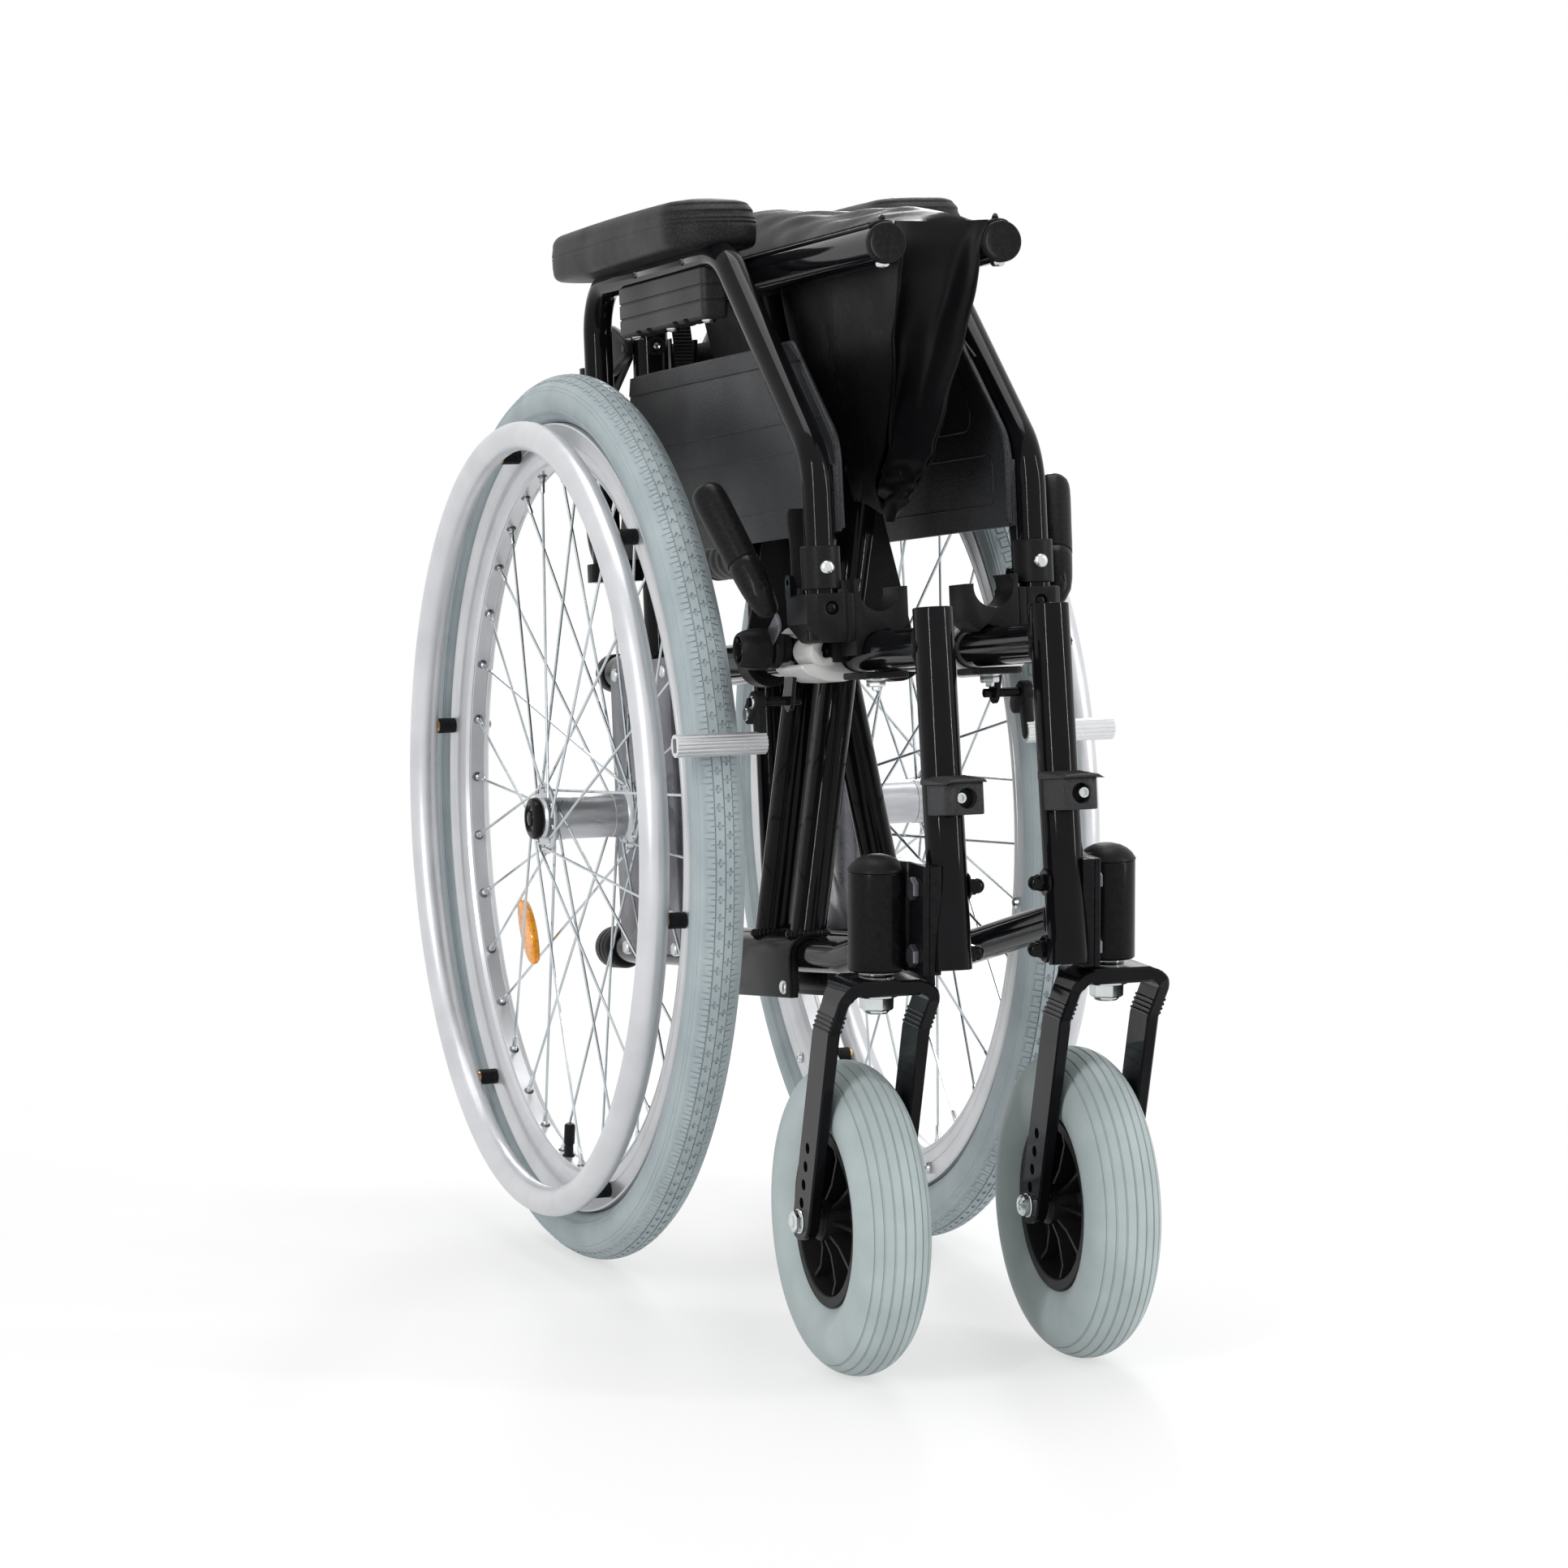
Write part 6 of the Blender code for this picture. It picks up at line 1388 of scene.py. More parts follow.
def makeBrakeClamp(side):
    x, z = tube["x"], tube["seatZ"]
    outline = arc((x, z), 0.0165, pi / 2, 1.5 * pi, 18) + [
        (0.0500, 0.3856), (0.0620, 0.3864), (0.0730, 0.3905), (0.0790, 0.3950), (0.0780, 0.3975),
        (0.0560, 0.3985),
        (0.0555, 0.4120), (0.0640, 0.4135), (0.0730, 0.4150), (0.0745, 0.4185), (0.0700, 0.4222),
        (0.0600, 0.4228),
        (0.0480, 0.4212)]
    bore = rod(0.01275, 0, 0.08, (x, -0.41, z), yAxis, 48)
    part("BrakeClamp", extrude(bmesh.new(), outline, "Y", -0.3960, -0.3460), side, "frame", "cast",
         "brake_clamp", holes=[bore], bevel=0.0014, steps=3)
    (eyeX, eyeZ), (y, z) = brake["eye"], brake["pivot"]
    hook = arc((eyeX, eyeZ), (-0.0108, 0.0100), radians(52), radians(308), 24)
    hook += arc((eyeX, eyeZ), (-0.0052, 0.0050), radians(300), radians(60), 24)
    part("ClampEye", extrude(bmesh.new(), hook, "Y", -0.4050, -0.3700), side, "frame", "cast", bevel=0.0007)
    bolt = bmesh.new()
    for profile, centre, axis, count in (
        ([(0, 0), (0.0042, 0), (0.0046, 0.0005), (0.0046, 0.0034), (0.0040, 0.0040), (0, 0.0040)],
         (0.0640, -0.3985, 0.4060), (-1, 0, 0), 24),
        ([(0, 0), (0.0017, 0), (0.0017, 0.0130), (0, 0.0130)], (0.0605, -0.3985, 0.4060), (-1, 0, 0), 16),
        ([(0, 0.0665), (0.0088, 0.0665), (0.0096, 0.0680), (0.0096, 0.0708), (0.0074, 0.0716),
          (0.0074, 0.0734),
          (0, 0.0734)], (0, y, z), xAxis, 32),
        ([(0, 0.0625), (0.0040, 0.0625), (0.0040, 0.1062), (0, 0.1062)], (0, y, z), xAxis, 24),
        ([(0, 0.0640), (0.0030, 0.0640), (0.0030, 0.1000), (0, 0.1000)], (0, *brake["shoe"]), xAxis, 20)):
        turn(bolt, profile, centre, axis, count)
    slantedBar(bolt, (y, z), brake["shoe"], 0.0100, 0.0072, 0.0702, 0.0728)
    part("BrakeBracket", bolt, side, "frame", "gloss", bevel=0.0004, steps=1, slot="charcoal_plastic")


def makeBrakeLever(side):
    y, z = brake["pivot"]
    knob = turned([
        (0.0041, 0.0738), (0.0084, 0.0738), (0.0090, 0.0744), (0.0096, 0.0790), (0.0122, 0.0812),
        (0.0131, 0.0826),
        (0.0131, 0.0856), (0.0126, 0.0864), (0.0090, 0.0866), (0.0090, 0.0888), (0.0128, 0.0890),
        (0.0134, 0.0900),
        (0.0135, 0.0960), (0.0131, 0.1010), (0.0120, 0.1054), (0.0108, 0.1078), (0.0100, 0.1086),
        (0.0090, 0.1086),
        (0.0086, 0.1080), (0.0084, 0.1050), (0.0046, 0.1050), (0.0044, 0.1075), (0.0041, 0.1078)],
                  (0, y, z), xAxis, 48,
                  True)
    for a, b in arc((y, z), 0.0066, radians(70), radians(310), 2):
        sweepTube(knob, [(0.1040, a, b), (0.1082, a, b)], 0.0016, 10)
    block(knob, (0.0915, y - 0.0139, z - 0.0040), (0.0980, y - 0.0120, z + 0.0040))
    part("BrakeKnob", knob, side, "brake_handle", "moulded", "brake_lever")
    path = bend([(0.0885, y - 0.003, z + 0.004), (0.0900, -0.3900, 0.4270), (0.0985, -0.3920, 0.4370)],
                [0.010])
    rows = []
    for number, spot in enumerate(path):
        half = 0.0060 - 0.0014 * number / len(path)
        run = (path[min(number + 1, len(path) - 1)] - path[max(number - 1, 0)]).normalized()
        across = run.cross(Vector(xAxis)).normalized()
        rows.append([spot + across * half * a + Vector((b * 0.0011, 0, 0))
                     for a, b in ((-1, -1), (1, -1), (1, 1), (-1, 1))])
    part("BrakeStrip", loft(bmesh.new(), rows), side, "brake_handle", "graphite", bevel=0.0004, steps=1)
    path, lengths = [Vector(spot) for spot in brake["grip"]], [0.0]
    for start, end in zip(path, path[1:]):
        lengths.append(lengths[-1] + (end - start).length)
    spots, radii = [], []
    for share, size in (
            (0.0, 0.0030), (0.012, 0.0048), (0.04, 0.0060), (0.08, 0.0070), (0.14, 0.0078), (0.20, 0.0083),
            (0.26, 0.0086), (0.34, 0.0088), (0.39, 0.0089), (0.395, 0.0085), (0.40, 0.0085), (0.405, 0.0091),
            (0.48, 0.0093), (0.60, 0.0094), (0.72, 0.0096), (0.82, 0.0097), (0.89, 0.0096), (0.93, 0.0093),
            (0.955, 0.0087), (0.975, 0.0074), (0.988, 0.0055), (0.996, 0.0034), (1.0, 0.0008)):
        aim = lengths[-1] * share
        at = 1 if aim >= lengths[1] - 1e-9 else 0
        spots.append(path[at].lerp(path[at + 1], (aim - lengths[at]) / (lengths[at + 1] - lengths[at])))
        radii.append(size * brake["gripScale"])
    dimple = ball(bmesh.new(), 1.0, Matrix.Translation((0.1030, -0.4005, 0.4500))
                  @ Matrix.Rotation(radians(-14), 4, "Y") @ Matrix.Diagonal((0.0034, 0.0030, 0.0056, 1.0)),
                  24, 12)
    part("BrakeGrip", sweepTube(bmesh.new(), spots, radii, 32), side, "brake_handle", "gripPlastic",
         holes=[dimple], smooth=50)


def makeBrakeBar(side):
    (shoeY, shoeZ), (y, z) = brake["shoe"], brake["bar"]
    link = slantedBar(bmesh.new(), brake["shoe"], (shoeY + 0.0125, shoeZ - 0.0075), 0.0074, 0.0066, 0.0892,
                      0.0968)
    slantedBar(link, brake["shoe"], (y, z), 0.0056, 0.0052, 0.0900, 0.0960)
    part("BrakeLink", link, side, "brake_bar", "moulded", bevel=0.0010)
    rivets = bmesh.new()
    for a, b in ((0.0, 0.0), (0.0125, -0.0075)):
        turn(rivets, [(0, 0), (0.0044, 0), (0.0044, 0.0011), (0.00425, 0.00145), (0.0039, 0.0016),
                      (0, 0.0016)], (0.0966, shoeY + a, shoeZ + b), xAxis, 28)
    part("BrakeRivets", rivets, side, "brake_bar", "zinc")
    outline = []
    for step in range(96):
        flat = 20 < step < 30
        reach = brake["barRadius"] - (0.0004 if flat else 0.00055 if step % 6 < 2 else 0.0)
        outline.append((y + reach * cos(tau * step / 96), z + reach * sin(tau * step / 96)))
    corners = [(y - 0.0034, z - 0.0046), (y + 0.0040, z - 0.0046), (y + 0.0040, z + 0.0046),
               (y - 0.0034, z + 0.0046)]
    hollow = extrude(bmesh.new(), roundOutline(corners, 0.0012, 4), "X", 0.1400, 0.1600)
    part("BrakeBar", extrude(bmesh.new(), outline, "X", 0.0905, 0.1520), side, "brake_bar", "extruded",
         "brake_shoe", holes=[hollow], bevel=0.0002, steps=1, smooth=20)


for side in words:
    makeBrakeClamp(side)
    makeBrakeLever(side)
    makeBrakeBar(side)
print("brakes made")


# Back: canes, folded upper canes, push grips, hinges and folding levers

back = {"x": 0.0385, "radius": 0.0125, "top": 0.652, "hinge": (0.064, 0.640), "upper": 0.0111,
        "handleZ": 0.798, "reach": 0.100, "bend": 0.030, "hubZ": 0.630, "leverSize": (0.047, 0.017)}


def turnedOver(bm):
    # Drawn raised, then swung half a turn about the hinge, as the back is folded down.
    y, z = back["hinge"]
    for vert in bm.verts:
        vert.co.y, vert.co.z = 2 * y - vert.co.y, 2 * z - vert.co.z
    return bm


def makeBackCane(side):
    word, x, radius, top, hubZ = words[side], back["x"], back["radius"], back["top"], back["hubZ"]
    hingeY, hingeZ = back["hinge"]
    cane = turned([(0, 0.4050), (radius, 0.4050), (radius, top - 0.0012), (radius - 0.0012, top), (0, top)],
                  (x, 0, 0), zAxis, 44)
    slantedBar(cane, (0, hingeZ - 0.005), (hingeY, hingeZ), 0.010, 0.009, x - 0.003, x + 0.003, 14)
    outline = [(0.0450, -0.0018), (0.0868, -0.0018), (0.0868, 0.0258), (0.0540, 0.0258), (0.0540, 0.0141),
               (0.0450, 0.0141)]
    extrude(cane, roundOutline(outline, [0, 0.010, 0.012, 0.004, 0.002, 0], 7), "Z", 0.4665, 0.4795)
    post = rod(0.0103, 0, 0.1, (arm["x"], arm["rearY"], 0.42), zAxis, 40)
    part("BackCane", cane, side, "frame", "gloss", "back_cane", holes=[post], bevel=0.0004, steps=1)
    weld(word + "WeldCane", saddleRing((x, 0, tube["seatZ"]), radius + 0.0002, tube["seatRadius"] + 0.0002,
                                       1), side, word + "_frame")
    hub = turned([(0, 0.0080), (0.0058, 0.0080), (0.0062, 0.0020), (0.0068, 0.0004), (0.0064, -0.0006),
                  (0.0048, -0.0008), (0.0043, 0.0002), (0.0036, 0.0004), (0.0033, -0.0004), (0, -0.0005)],
                 (x, -radius - 0.0010, hubZ), yAxis, 40)
    turn(hub, [(0, 0), (0.0031, 0), (0.0031, 0.0141), (0, 0.0141)], (x + 0.0052, 0.004, hubZ), xAxis, 20)
    turn(hub, [(0, -0.0096), (0.0060, -0.0096), (0.0066, -0.0090), (0.0066, 0.0090), (0.0060, 0.0096),
               (0, 0.0096)], (x, hingeY, hingeZ), xAxis, 28)
    part("BackHub", hub, side, "frame", "gripPlastic")
    fasten(word + "BackScrews", [((x, -radius - 0.0014, hubZ), (0, -1, 0))], "small", side, word + "_frame")
    wave = [(0.0, 0.47), (-0.155, 0.28), (-0.17, 0.0), (-0.155, -0.28), (0.0, -0.47), (0.25, -0.62),
            (0.60, -0.95), (0.88, -1.0), (1.0, -0.78), (0.93, -0.35), (0.80, 0.10), (0.84, 0.45),
            (1.0, 0.72), (0.97, 1.0), (0.70, 1.10), (0.35, 0.85)]
    pivot, (long, high) = Vector((0.004, hubZ)), back["leverSize"]
    outline = smoothLoop([(pivot.x + long * a, pivot.y + high * b) for a, b in wave], 5)
    part("FoldLever", extrude(bmesh.new(), outline, "X", 0.0521, 0.0575), side, "back_catch", "moulded",
         "fold_lever", holes=[rod(0.0032, -0.01, 0.02, (0.052, 0.004, hubZ), xAxis, 24)], bevel=0.0011,
         steps=3)


def makeUpperCane(side):
    x, z, (eyeY, eyeZ), reach = back["x"], back["handleZ"], back["hinge"], 0.009
    path = bend([(x, 0, 0.655), (x, 0, z), (x, back["reach"], z)], [back["bend"]], 12)
    upper = sweepTube(bmesh.new(), path, back["upper"], 36)
    outline = [(0, 0.655), (0.020, 0.655), (eyeY - 0.004, eyeZ - reach), (eyeY + 0.006, eyeZ - reach + 0.002),
               (eyeY + reach, eyeZ), (eyeY + 0.005, eyeZ + reach), (0.014, 0.681), (0, 0.681)]
    for low in (x - 0.0093, x + 0.0033):
        extrude(upper, roundOutline(outline, [0, 0.006, 0.008, 0.003, 0.005, 0.006, 0.010, 0], 5), "X", low,
                low + 0.006)
    bore = rod(0.0042, -0.03, 0.03, (x, eyeY, eyeZ), xAxis, 28)
    part("UpperCane", turnedOver(upper), side, "upper_back", "gloss", "upper_cane", holes=[turnedOver(bore)],
         bevel=0.0005)
    profile = [(0.0112, 0.031), (0.0136, 0.0310), (0.0145, 0.0320), (0.0145, 0.0355), (0.0137, 0.0365)]
    for low in (0.0385, 0.0525, 0.0665, 0.0805):
        profile += [(radius, low + along) for radius, along in (
            (0.0137, 0), (0.0142, 0.0020), (0.0145, 0.0050), (0.0142, 0.0080), (0.0137, 0.0105))]
    profile += [(0.0145, 0.0962), (0.0145, 0.1000), (0.0132, 0.1022), (0.0090, 0.103), (0, 0.103)]
    part("PushGrip", turnedOver(turned(profile, (x, 0, z), yAxis, 40)), side, "upper_back", "grip",
         "push_grip", slot="soft_pad")


for side in words:
    makeBackCane(side)
    makeUpperCane(side)
print("back made")


# Crossed braces with the seat rails, and the stays

brace = {"leg": 0.012, "rail": 0.0128, "railZ": 0.660, "railFront": -0.479, "railRear": -0.070,
         "sleeve": 0.0165, "low": 0.180, "top": 0.2212, "crossZ": 0.4334, "stay": 0.123, "stayAside": 0.023}


def makeBrace(name, side, rows, front, rear):
    body, node, low, top, half = name + "_brace_unit", name + "_brace", brace["low"], brace["top"], brace[
        "sleeve"]
    footX, footZ, x, railZ = -tube["x"], tube["lowZ"], tube["x"], brace["railZ"]
    foot, head = Vector((footX, footZ)), Vector((x, railZ))
    legs = bmesh.new()
    for row in rows:
        sweepTube(legs, [(footX, row, footZ), (x, row, railZ)], brace["leg"], 40)
    piece(name + "Legs", legs, side, body, "gloss", nodes=[node],
          holes=[rod(0.0113, -0.05, 0.2, (footX, front, footZ), yAxis, 32)])
    start, end = brace["railFront"] + 0.0045, brace["railRear"] - 0.0060
    rail = turned([(0, start), (brace["rail"], start), (brace["rail"], end), (0, end)], (x, 0, railZ),
                  yAxis, 48)
    piece(name + "Rail", rail, side, body, "gloss")
    caps = bmesh.new()
    profile = [(0, 0.0013), (0.0060, 0.0011), (0.0098, 0.0008), (0.0112, 0.0003), (0.0121, 0),
               (0.0129, 0.0004), (0.0133, 0.0012), (0.0133, 0.0026), (0.0128, 0.0030), (0.0128, 0.0034),
               (0.0133, 0.0038), (0.0133, 0.0052), (0.0128, 0.0056), (0, 0.0056)]
    turn(caps, profile, (x, brace["railFront"] - 0.0010, railZ), yAxis, 56)
    turn(caps, profile, (x, brace["railRear"] + 0.0005, railZ), (0, -1, 0), 56)
    piece(name + "RailCaps", caps, side, body, "gripPlastic", smooth=50)
    spots = [((x, brace["railFront"] + 0.0090, railZ - brace["rail"]), (0, 0, -1))]
    spots += [((footX + across * (half + 0.0001), y, 0.1872), (across, 0, 0))
              for across in (-1, 1) for y in (front + 0.0110, rear - 0.0110)]
    fasten(name + "Screws", spots, "button", side, body)
    outline = [(footX - half, low), (footX - half + 0.0058, low), (footX - half + 0.0058, low + 0.004),
               (footX + half - 0.0058, low + 0.004), (footX + half - 0.0058, low), (footX + half, low),
               (footX + half, top), (footX - half, top)]
    sleeve = extrude(bmesh.new(), roundOutline(outline, [0.001, 0.001, 0, 0, 0.001, 0.001, 0.0145, 0.0145],
                                               9), "Y", front, rear)
    gap = block(bmesh.new(), (footX - 0.0098, front - 0.01, low - 0.01), (footX + 0.0098, rear + 0.01, footZ))
    piece(name + "Sleeve", sleeve, side, body, "satinBlack", bevel=0.0006,
          holes=[rod(0.0114, -0.02, 0.2, (footX, front, footZ), yAxis, 40), gap])
    band, edge = bmesh.new(), half - 0.0008
    for y in (front + 0.0006, rear - 0.0006):
        path = [(footX - edge, y, low + 0.002), (footX - edge, y, top - 0.0008),
                (footX + edge, y, top - 0.0008), (footX + edge, y, low + 0.002)]
        sweepTube(band, bend(path, [0.0136, 0.0136], 10), 0.0012, 10)
    piece(name + "SleeveBand", band, side, body, "satinBlack")
    lean = (head - foot).normalized()
    at = foot + lean * ((top - footZ + 0.0003) / lean.y)
    for number, row in enumerate(rows):
        spots = [(a, b, top + 0.0004) for a, b in arc((at.x, row), (0.0126, 0.0122), 0, tau * 35 / 36, 35)]
        weld(name + "WeldFoot" + str(number), spots, side, body, 0.0022)
        spots = saddleRing((x, row, railZ), brace["leg"] * 1.01, brace["rail"] + 0.0002, -1, 36)
        weld(name + "WeldRail" + str(number), [spot - Vector((0.0018, 0, 0)) for spot in spots], side, body)


def makeStay(side, plane, end):
    word, x, z, reach = words[side], tube["x"], tube["seatZ"], brace["stayAside"]
    tip, out = (x - reach, z + sqrt(brace["stay"] ** 2 - reach ** 2)), abs(end - plane)
    collar = turned([(0.0127, -0.0100), (0.0172, -0.0100), (0.0180, -0.0092), (0.0180, 0.0092),
                     (0.0172, 0.0100), (0.0127, 0.0100)], (x, plane, z), yAxis, 44, True)
    turn(collar, [(0, 0), (0.0060, 0), (0.0060, out), (0, out)], (tip[0], plane, tip[1]), (0, -1, 0), 28)
    part("StayCollar", collar, side, "stay", "moulded", slot="gloss_paint")
    plate = slantedBar(bmesh.new(), (x, z), tip, 0.0165, 0.0125, plane - 0.002, plane + 0.002, 10, "Y")
    part("Stay", plate, side, "stay", "moulded", "link", bevel=0.0005, steps=1, slot="gloss_paint",
         holes=[rod(0.0127, -0.02, 0.02, (x, plane, z), yAxis, 44)])
    fasten(word + "StayBolt", [((tip[0], plane + 0.002, tip[1]), yAxis)], "hex", side, word + "_stay")


makeBrace("double", 1, (-0.270, -0.200), -0.283, -0.150)
makeBrace("single", -1, (-0.235,), -0.260, -0.210)
crossZ = brace["crossZ"]
crossBolt = turned([(0, -0.2862), (0.0040, -0.2862), (0.0040, -0.1838), (0, -0.1838)], (0, 0, crossZ),
                   yAxis, 24)
piece("crossBolt", crossBolt, 1, "double_brace_unit", "zinc")
crossRings = bmesh.new()
for y in (-0.2572, -0.2186):
    turn(crossRings, [(0.0042, 0), (0.0086, 0), (0.0090, 0.0006), (0.0090, 0.0056), (0.0042, 0.0056)],
         (0, y, crossZ), yAxis, 32, True)
piece("crossSpacers", crossRings, 1, "double_brace_unit", "moulded")
fasten("crossNuts", [((0, -0.2822, crossZ), (0, -1, 0)), ((0, -0.1878, crossZ), yAxis)], "hex", 1,
       "double_brace_unit")
makeStay(1, -0.2525, -0.2577)
makeStay(-1, -0.2175, -0.2227)
print("braces made")


# Cloth: the seat sling, its front fold and the gathered back

cloth = {"thick": 0.0012, "front": -0.4745, "rear": -0.072, "wrap": 0.0137, "tip": 0.497,
         "notch": (-0.290, -0.180), "notchTop": 0.559, "columns": 104, "rows": 46, "turns": radians(58),
         "wrapShare": 0.22, "railTop": 0.6722, "gather": 0.085, "gatherZ": 0.505, "gatherHigh": 0.131}
halves = {-1: "single", 1: "double"}

# The (height, y) of the folded sling's front edge on each side, and the (height, x) of a half of it.
frontEdges = {
    -1: [(0.664, -0.4745), (0.640, -0.460), (0.600, -0.428), (0.540, -0.382), (0.512, -0.352),
         (0.488, -0.358)],
    1: [(0.664, -0.4745), (0.630, -0.4720), (0.597, -0.4620), (0.560, -0.444), (0.530, -0.424),
        (0.508, -0.394),
        (0.488, -0.358)]}
leafLine = [(0.664, 0.0253), (0.651, 0.0232), (0.6055, 0.0153), (0.560, 0.0076), (0.5275, 0.0049),
            (0.495, 0.0022), (0.470, 0.0010)]


def measured(spots):
    # How far along the line of spots each of them lies.
    lengths = [0.0]
    for spot, later in zip(spots, spots[1:]):
        lengths.append(lengths[-1] + (later - spot).length)
    return lengths


def weaveSheet(name, grid):
    # A sheet through the grid of spots, with its own map in metres and a real thickness.
    bm, area = bmesh.new(), 0.0
    layer = bm.loops.layers.uv.new("weave")
    verts = [[bm.verts.new(spot) for spot in row] for row in grid]
    across, along = measured(grid[len(grid) // 2]), measured([row[len(row) // 3] for row in grid])
    for i in range(len(grid) - 1):
        for j in range(len(grid[0]) - 1):
            corners = ((i, j), (i + 1, j), (i + 1, j + 1), (i, j + 1))
            face = bm.faces.new([verts[a][b] for a, b in corners])
            for loop, (a, b) in zip(face.loops, corners):
                loop[layer].uv = (along[a], across[b])
            area += face.calc_area()
    bm.transform(leanPlace)
    item = meshObject(name, bm)
    modify(item, "SOLIDIFY", thickness=cloth["thick"], offset=0)
    settled(item)
    return item, area


def between(z, knots):
    # A smooth reading between (height, value) knots, from the highest down.
    if z >= knots[0][0]:
        return knots[0][1]
    for (high, first), (low, second) in zip(knots, knots[1:]):
        if z >= low:
            share = (high - z) / (high - low)
            share = share * share * (3 - 2 * share) * 0.5 + share * 0.5
            return first + (second - first) * share
    return knots[-1][1]


def swell(value, middle, reach):
    # A smooth bump from 0 up to 1 at the middle.
    return exp(-((value - middle) / reach) ** 2)


def wrinkle(*place):
    return noise.noise(Vector(place))


def tipHeight(y):
    # The fold's lower edge, raised over the crossing legs.
    outside = max(cloth["notch"][0] - y, y - cloth["notch"][1], 0.0)
    share = max(0.0, 1 - outside / 0.012)
    share = share * share * (3 - 2 * share)
    lowered = cloth["tip"] - 0.006 * swell(y, -0.362, 0.034) + 0.009 * swell(y, -0.305, 0.045)
    return lowered * (1 - share) + cloth["notchTop"] * share


def leafSpot(side, share, along):
    # share runs from 0 at the rail's outer top to 1 at the fold's tip, along from 0 at the front to 1 at
    # the rear.
    x0, z0, reach, front, rear = tube["x"], brace["railZ"], cloth["wrap"], cloth["front"], cloth["rear"]
    if share <= cloth["wrapShare"]:
        angle = cloth["turns"] + (radians(170) - cloth["turns"]) * share / cloth["wrapShare"]
        return Vector((side * (x0 + reach * cos(angle)), front + (rear - front) * along,
                       z0 + reach * sin(angle)))
    down = (share - cloth["wrapShare"]) / (1 - cloth["wrapShare"])
    start = z0 + reach * sin(radians(170))
    z = start + (0.490 - start) * down
    for repeat in range(2):
        edge = between(z, frontEdges[side])
        y = edge + (rear - edge) * along
        z = start + (tipHeight(y) - start) * down
    x, depth = between(z, leafLine), max(0.0, (0.600 - z) / 0.105)
    x += 0.0052 * min(depth, 1.0) * (0.5 - 0.5 * cos(tau * (2.0 * (y - front) / 0.4025))) * (1 - down ** 10)
    x += 0.0050 * swell(y, -0.440, 0.045) * sin(pi * min(1.0, down * 1.05)) * (1.0 if side < 0 else 0.4)
    ripple = wrinkle(y * 24, z * 9, side * 3.1) * 0.0016 + wrinkle(y * 60, z * 22, side) * 0.0005
    crumple = wrinkle(y * 90, z * 90, 4.0 + side) * 0.0030 * swell(y, -0.39, 0.05) * max(0.0, depth - 0.35)
    x += (ripple * min(1.0, down * 4) + crumple) * (1 - down ** 6)
    return Vector((side * max(x, 0.0004 if down < 1 else 0.0), y, z))


def makeSling():
    count, rows, grid = cloth["columns"], cloth["rows"], []
    shares = [step / rows for step in range(rows + 1)]
    for i in range(count + 1):
        row = [leafSpot(-1, share, i / count) for share in shares]
        grid.append(row + [leafSpot(1, share, i / count) for share in reversed(shares[:-1])])
    item, area = weaveSheet("seatSling", grid)
    hang(item, None, "nylon", 80, nodes=("left_seat_cloth", "right_seat_cloth"))
    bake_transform(item)


def foldSpot(u, v):
    # The front fold: v from -1 at its rear edge over the ridge at 0 down to the tip at 1, u from right to
    # left.
    aside, high, front = 2 * u - 1, cloth["railTop"], cloth["front"]
    if v < 0:
        x, y, rise = aside * 0.0300, front - 0.0015 - (cloth["rear"] - front) * v, -v
        ridge = 0.0022 + 0.0425 * rise ** 0.85 + 0.0014 * sin(10 * rise)
        crease = wrinkle(x * 70, y * 26 + x * 90, 2) * 0.0030 * min(1.0, 6 * rise)
        dip = 0.0030 * sin(pi * u) * sin(2 * pi * u + 0.9) * (1 - rise)
        return Vector((x, y, high - 0.0010 * rise + ridge * (1 - abs(aside) ** 2.4) - dip + crease
                       * (1 - aside ** 4)))
    z, near, spread = high + (0.4895 - high) * v, swell(v, 0.30, 0.30), max(0.0, 1 - v / 0.06)
    rightX = -between(z, leafLine) - 0.0045 * near - 0.0052 * spread
    leftX = between(z, leafLine) + 0.0020 * near + 0.0052 * spread
    rightY, leftY = between(z, frontEdges[-1]), between(z, frontEdges[1])
    x, y = rightX + (leftX - rightX) * u, rightY + (leftY - rightY) * u
    hollow = 0.034 * sin(pi * min(1.0, v * 1.12 + 0.02)) ** 0.8 if v < 0.87 else 0.0
    y += hollow * sin(pi * u) ** 0.75 * (1 - 0.35 * u)
    y += 0.0070 * swell(u, 0.80, 0.09) * sin(pi * min(1, v * 1.3)) * (1 if v < 0.77 else 0)
    y -= 0.0040 * swell(u, 0.90, 0.05) * min(1.0, v * 6) * (1 - v)
    crumple = swell(v, 0.88, 0.10)
    y += crumple * (0.0060 * wrinkle(u * 3.4, v * 30, 1.0) - 0.0045 * sin(pi * u))
    x += crumple * 0.0045 * wrinkle(u * 2.6, v * 34, 7.0) - crumple * 0.0035 * sin(tau * u)
    y += 0.0016 * wrinkle(x * 50, z * 18, 3.0)
    return Vector((x, y - 0.0012, z + 0.0022 * (1 - min(1.0, v / 0.05)) - 0.0008))


def makeFrontFold():
    values = [-1 + step / 64 for step in range(64)] + [0.9 * (step / 60) for step in range(60)]
    values += [0.9 + 0.1 * step / 10 for step in range(11)]
    for side, low in ((-1, 0.0), (1, 0.5)):
        grid = [[foldSpot(low + 0.5 * j / 24, v) for j in range(25)] for v in values]
        item, area = weaveSheet(words[side] + "FrontFold", grid)
        hang(item, halves[side] + "_brace_unit", "nylon", 80)
        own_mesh(item)


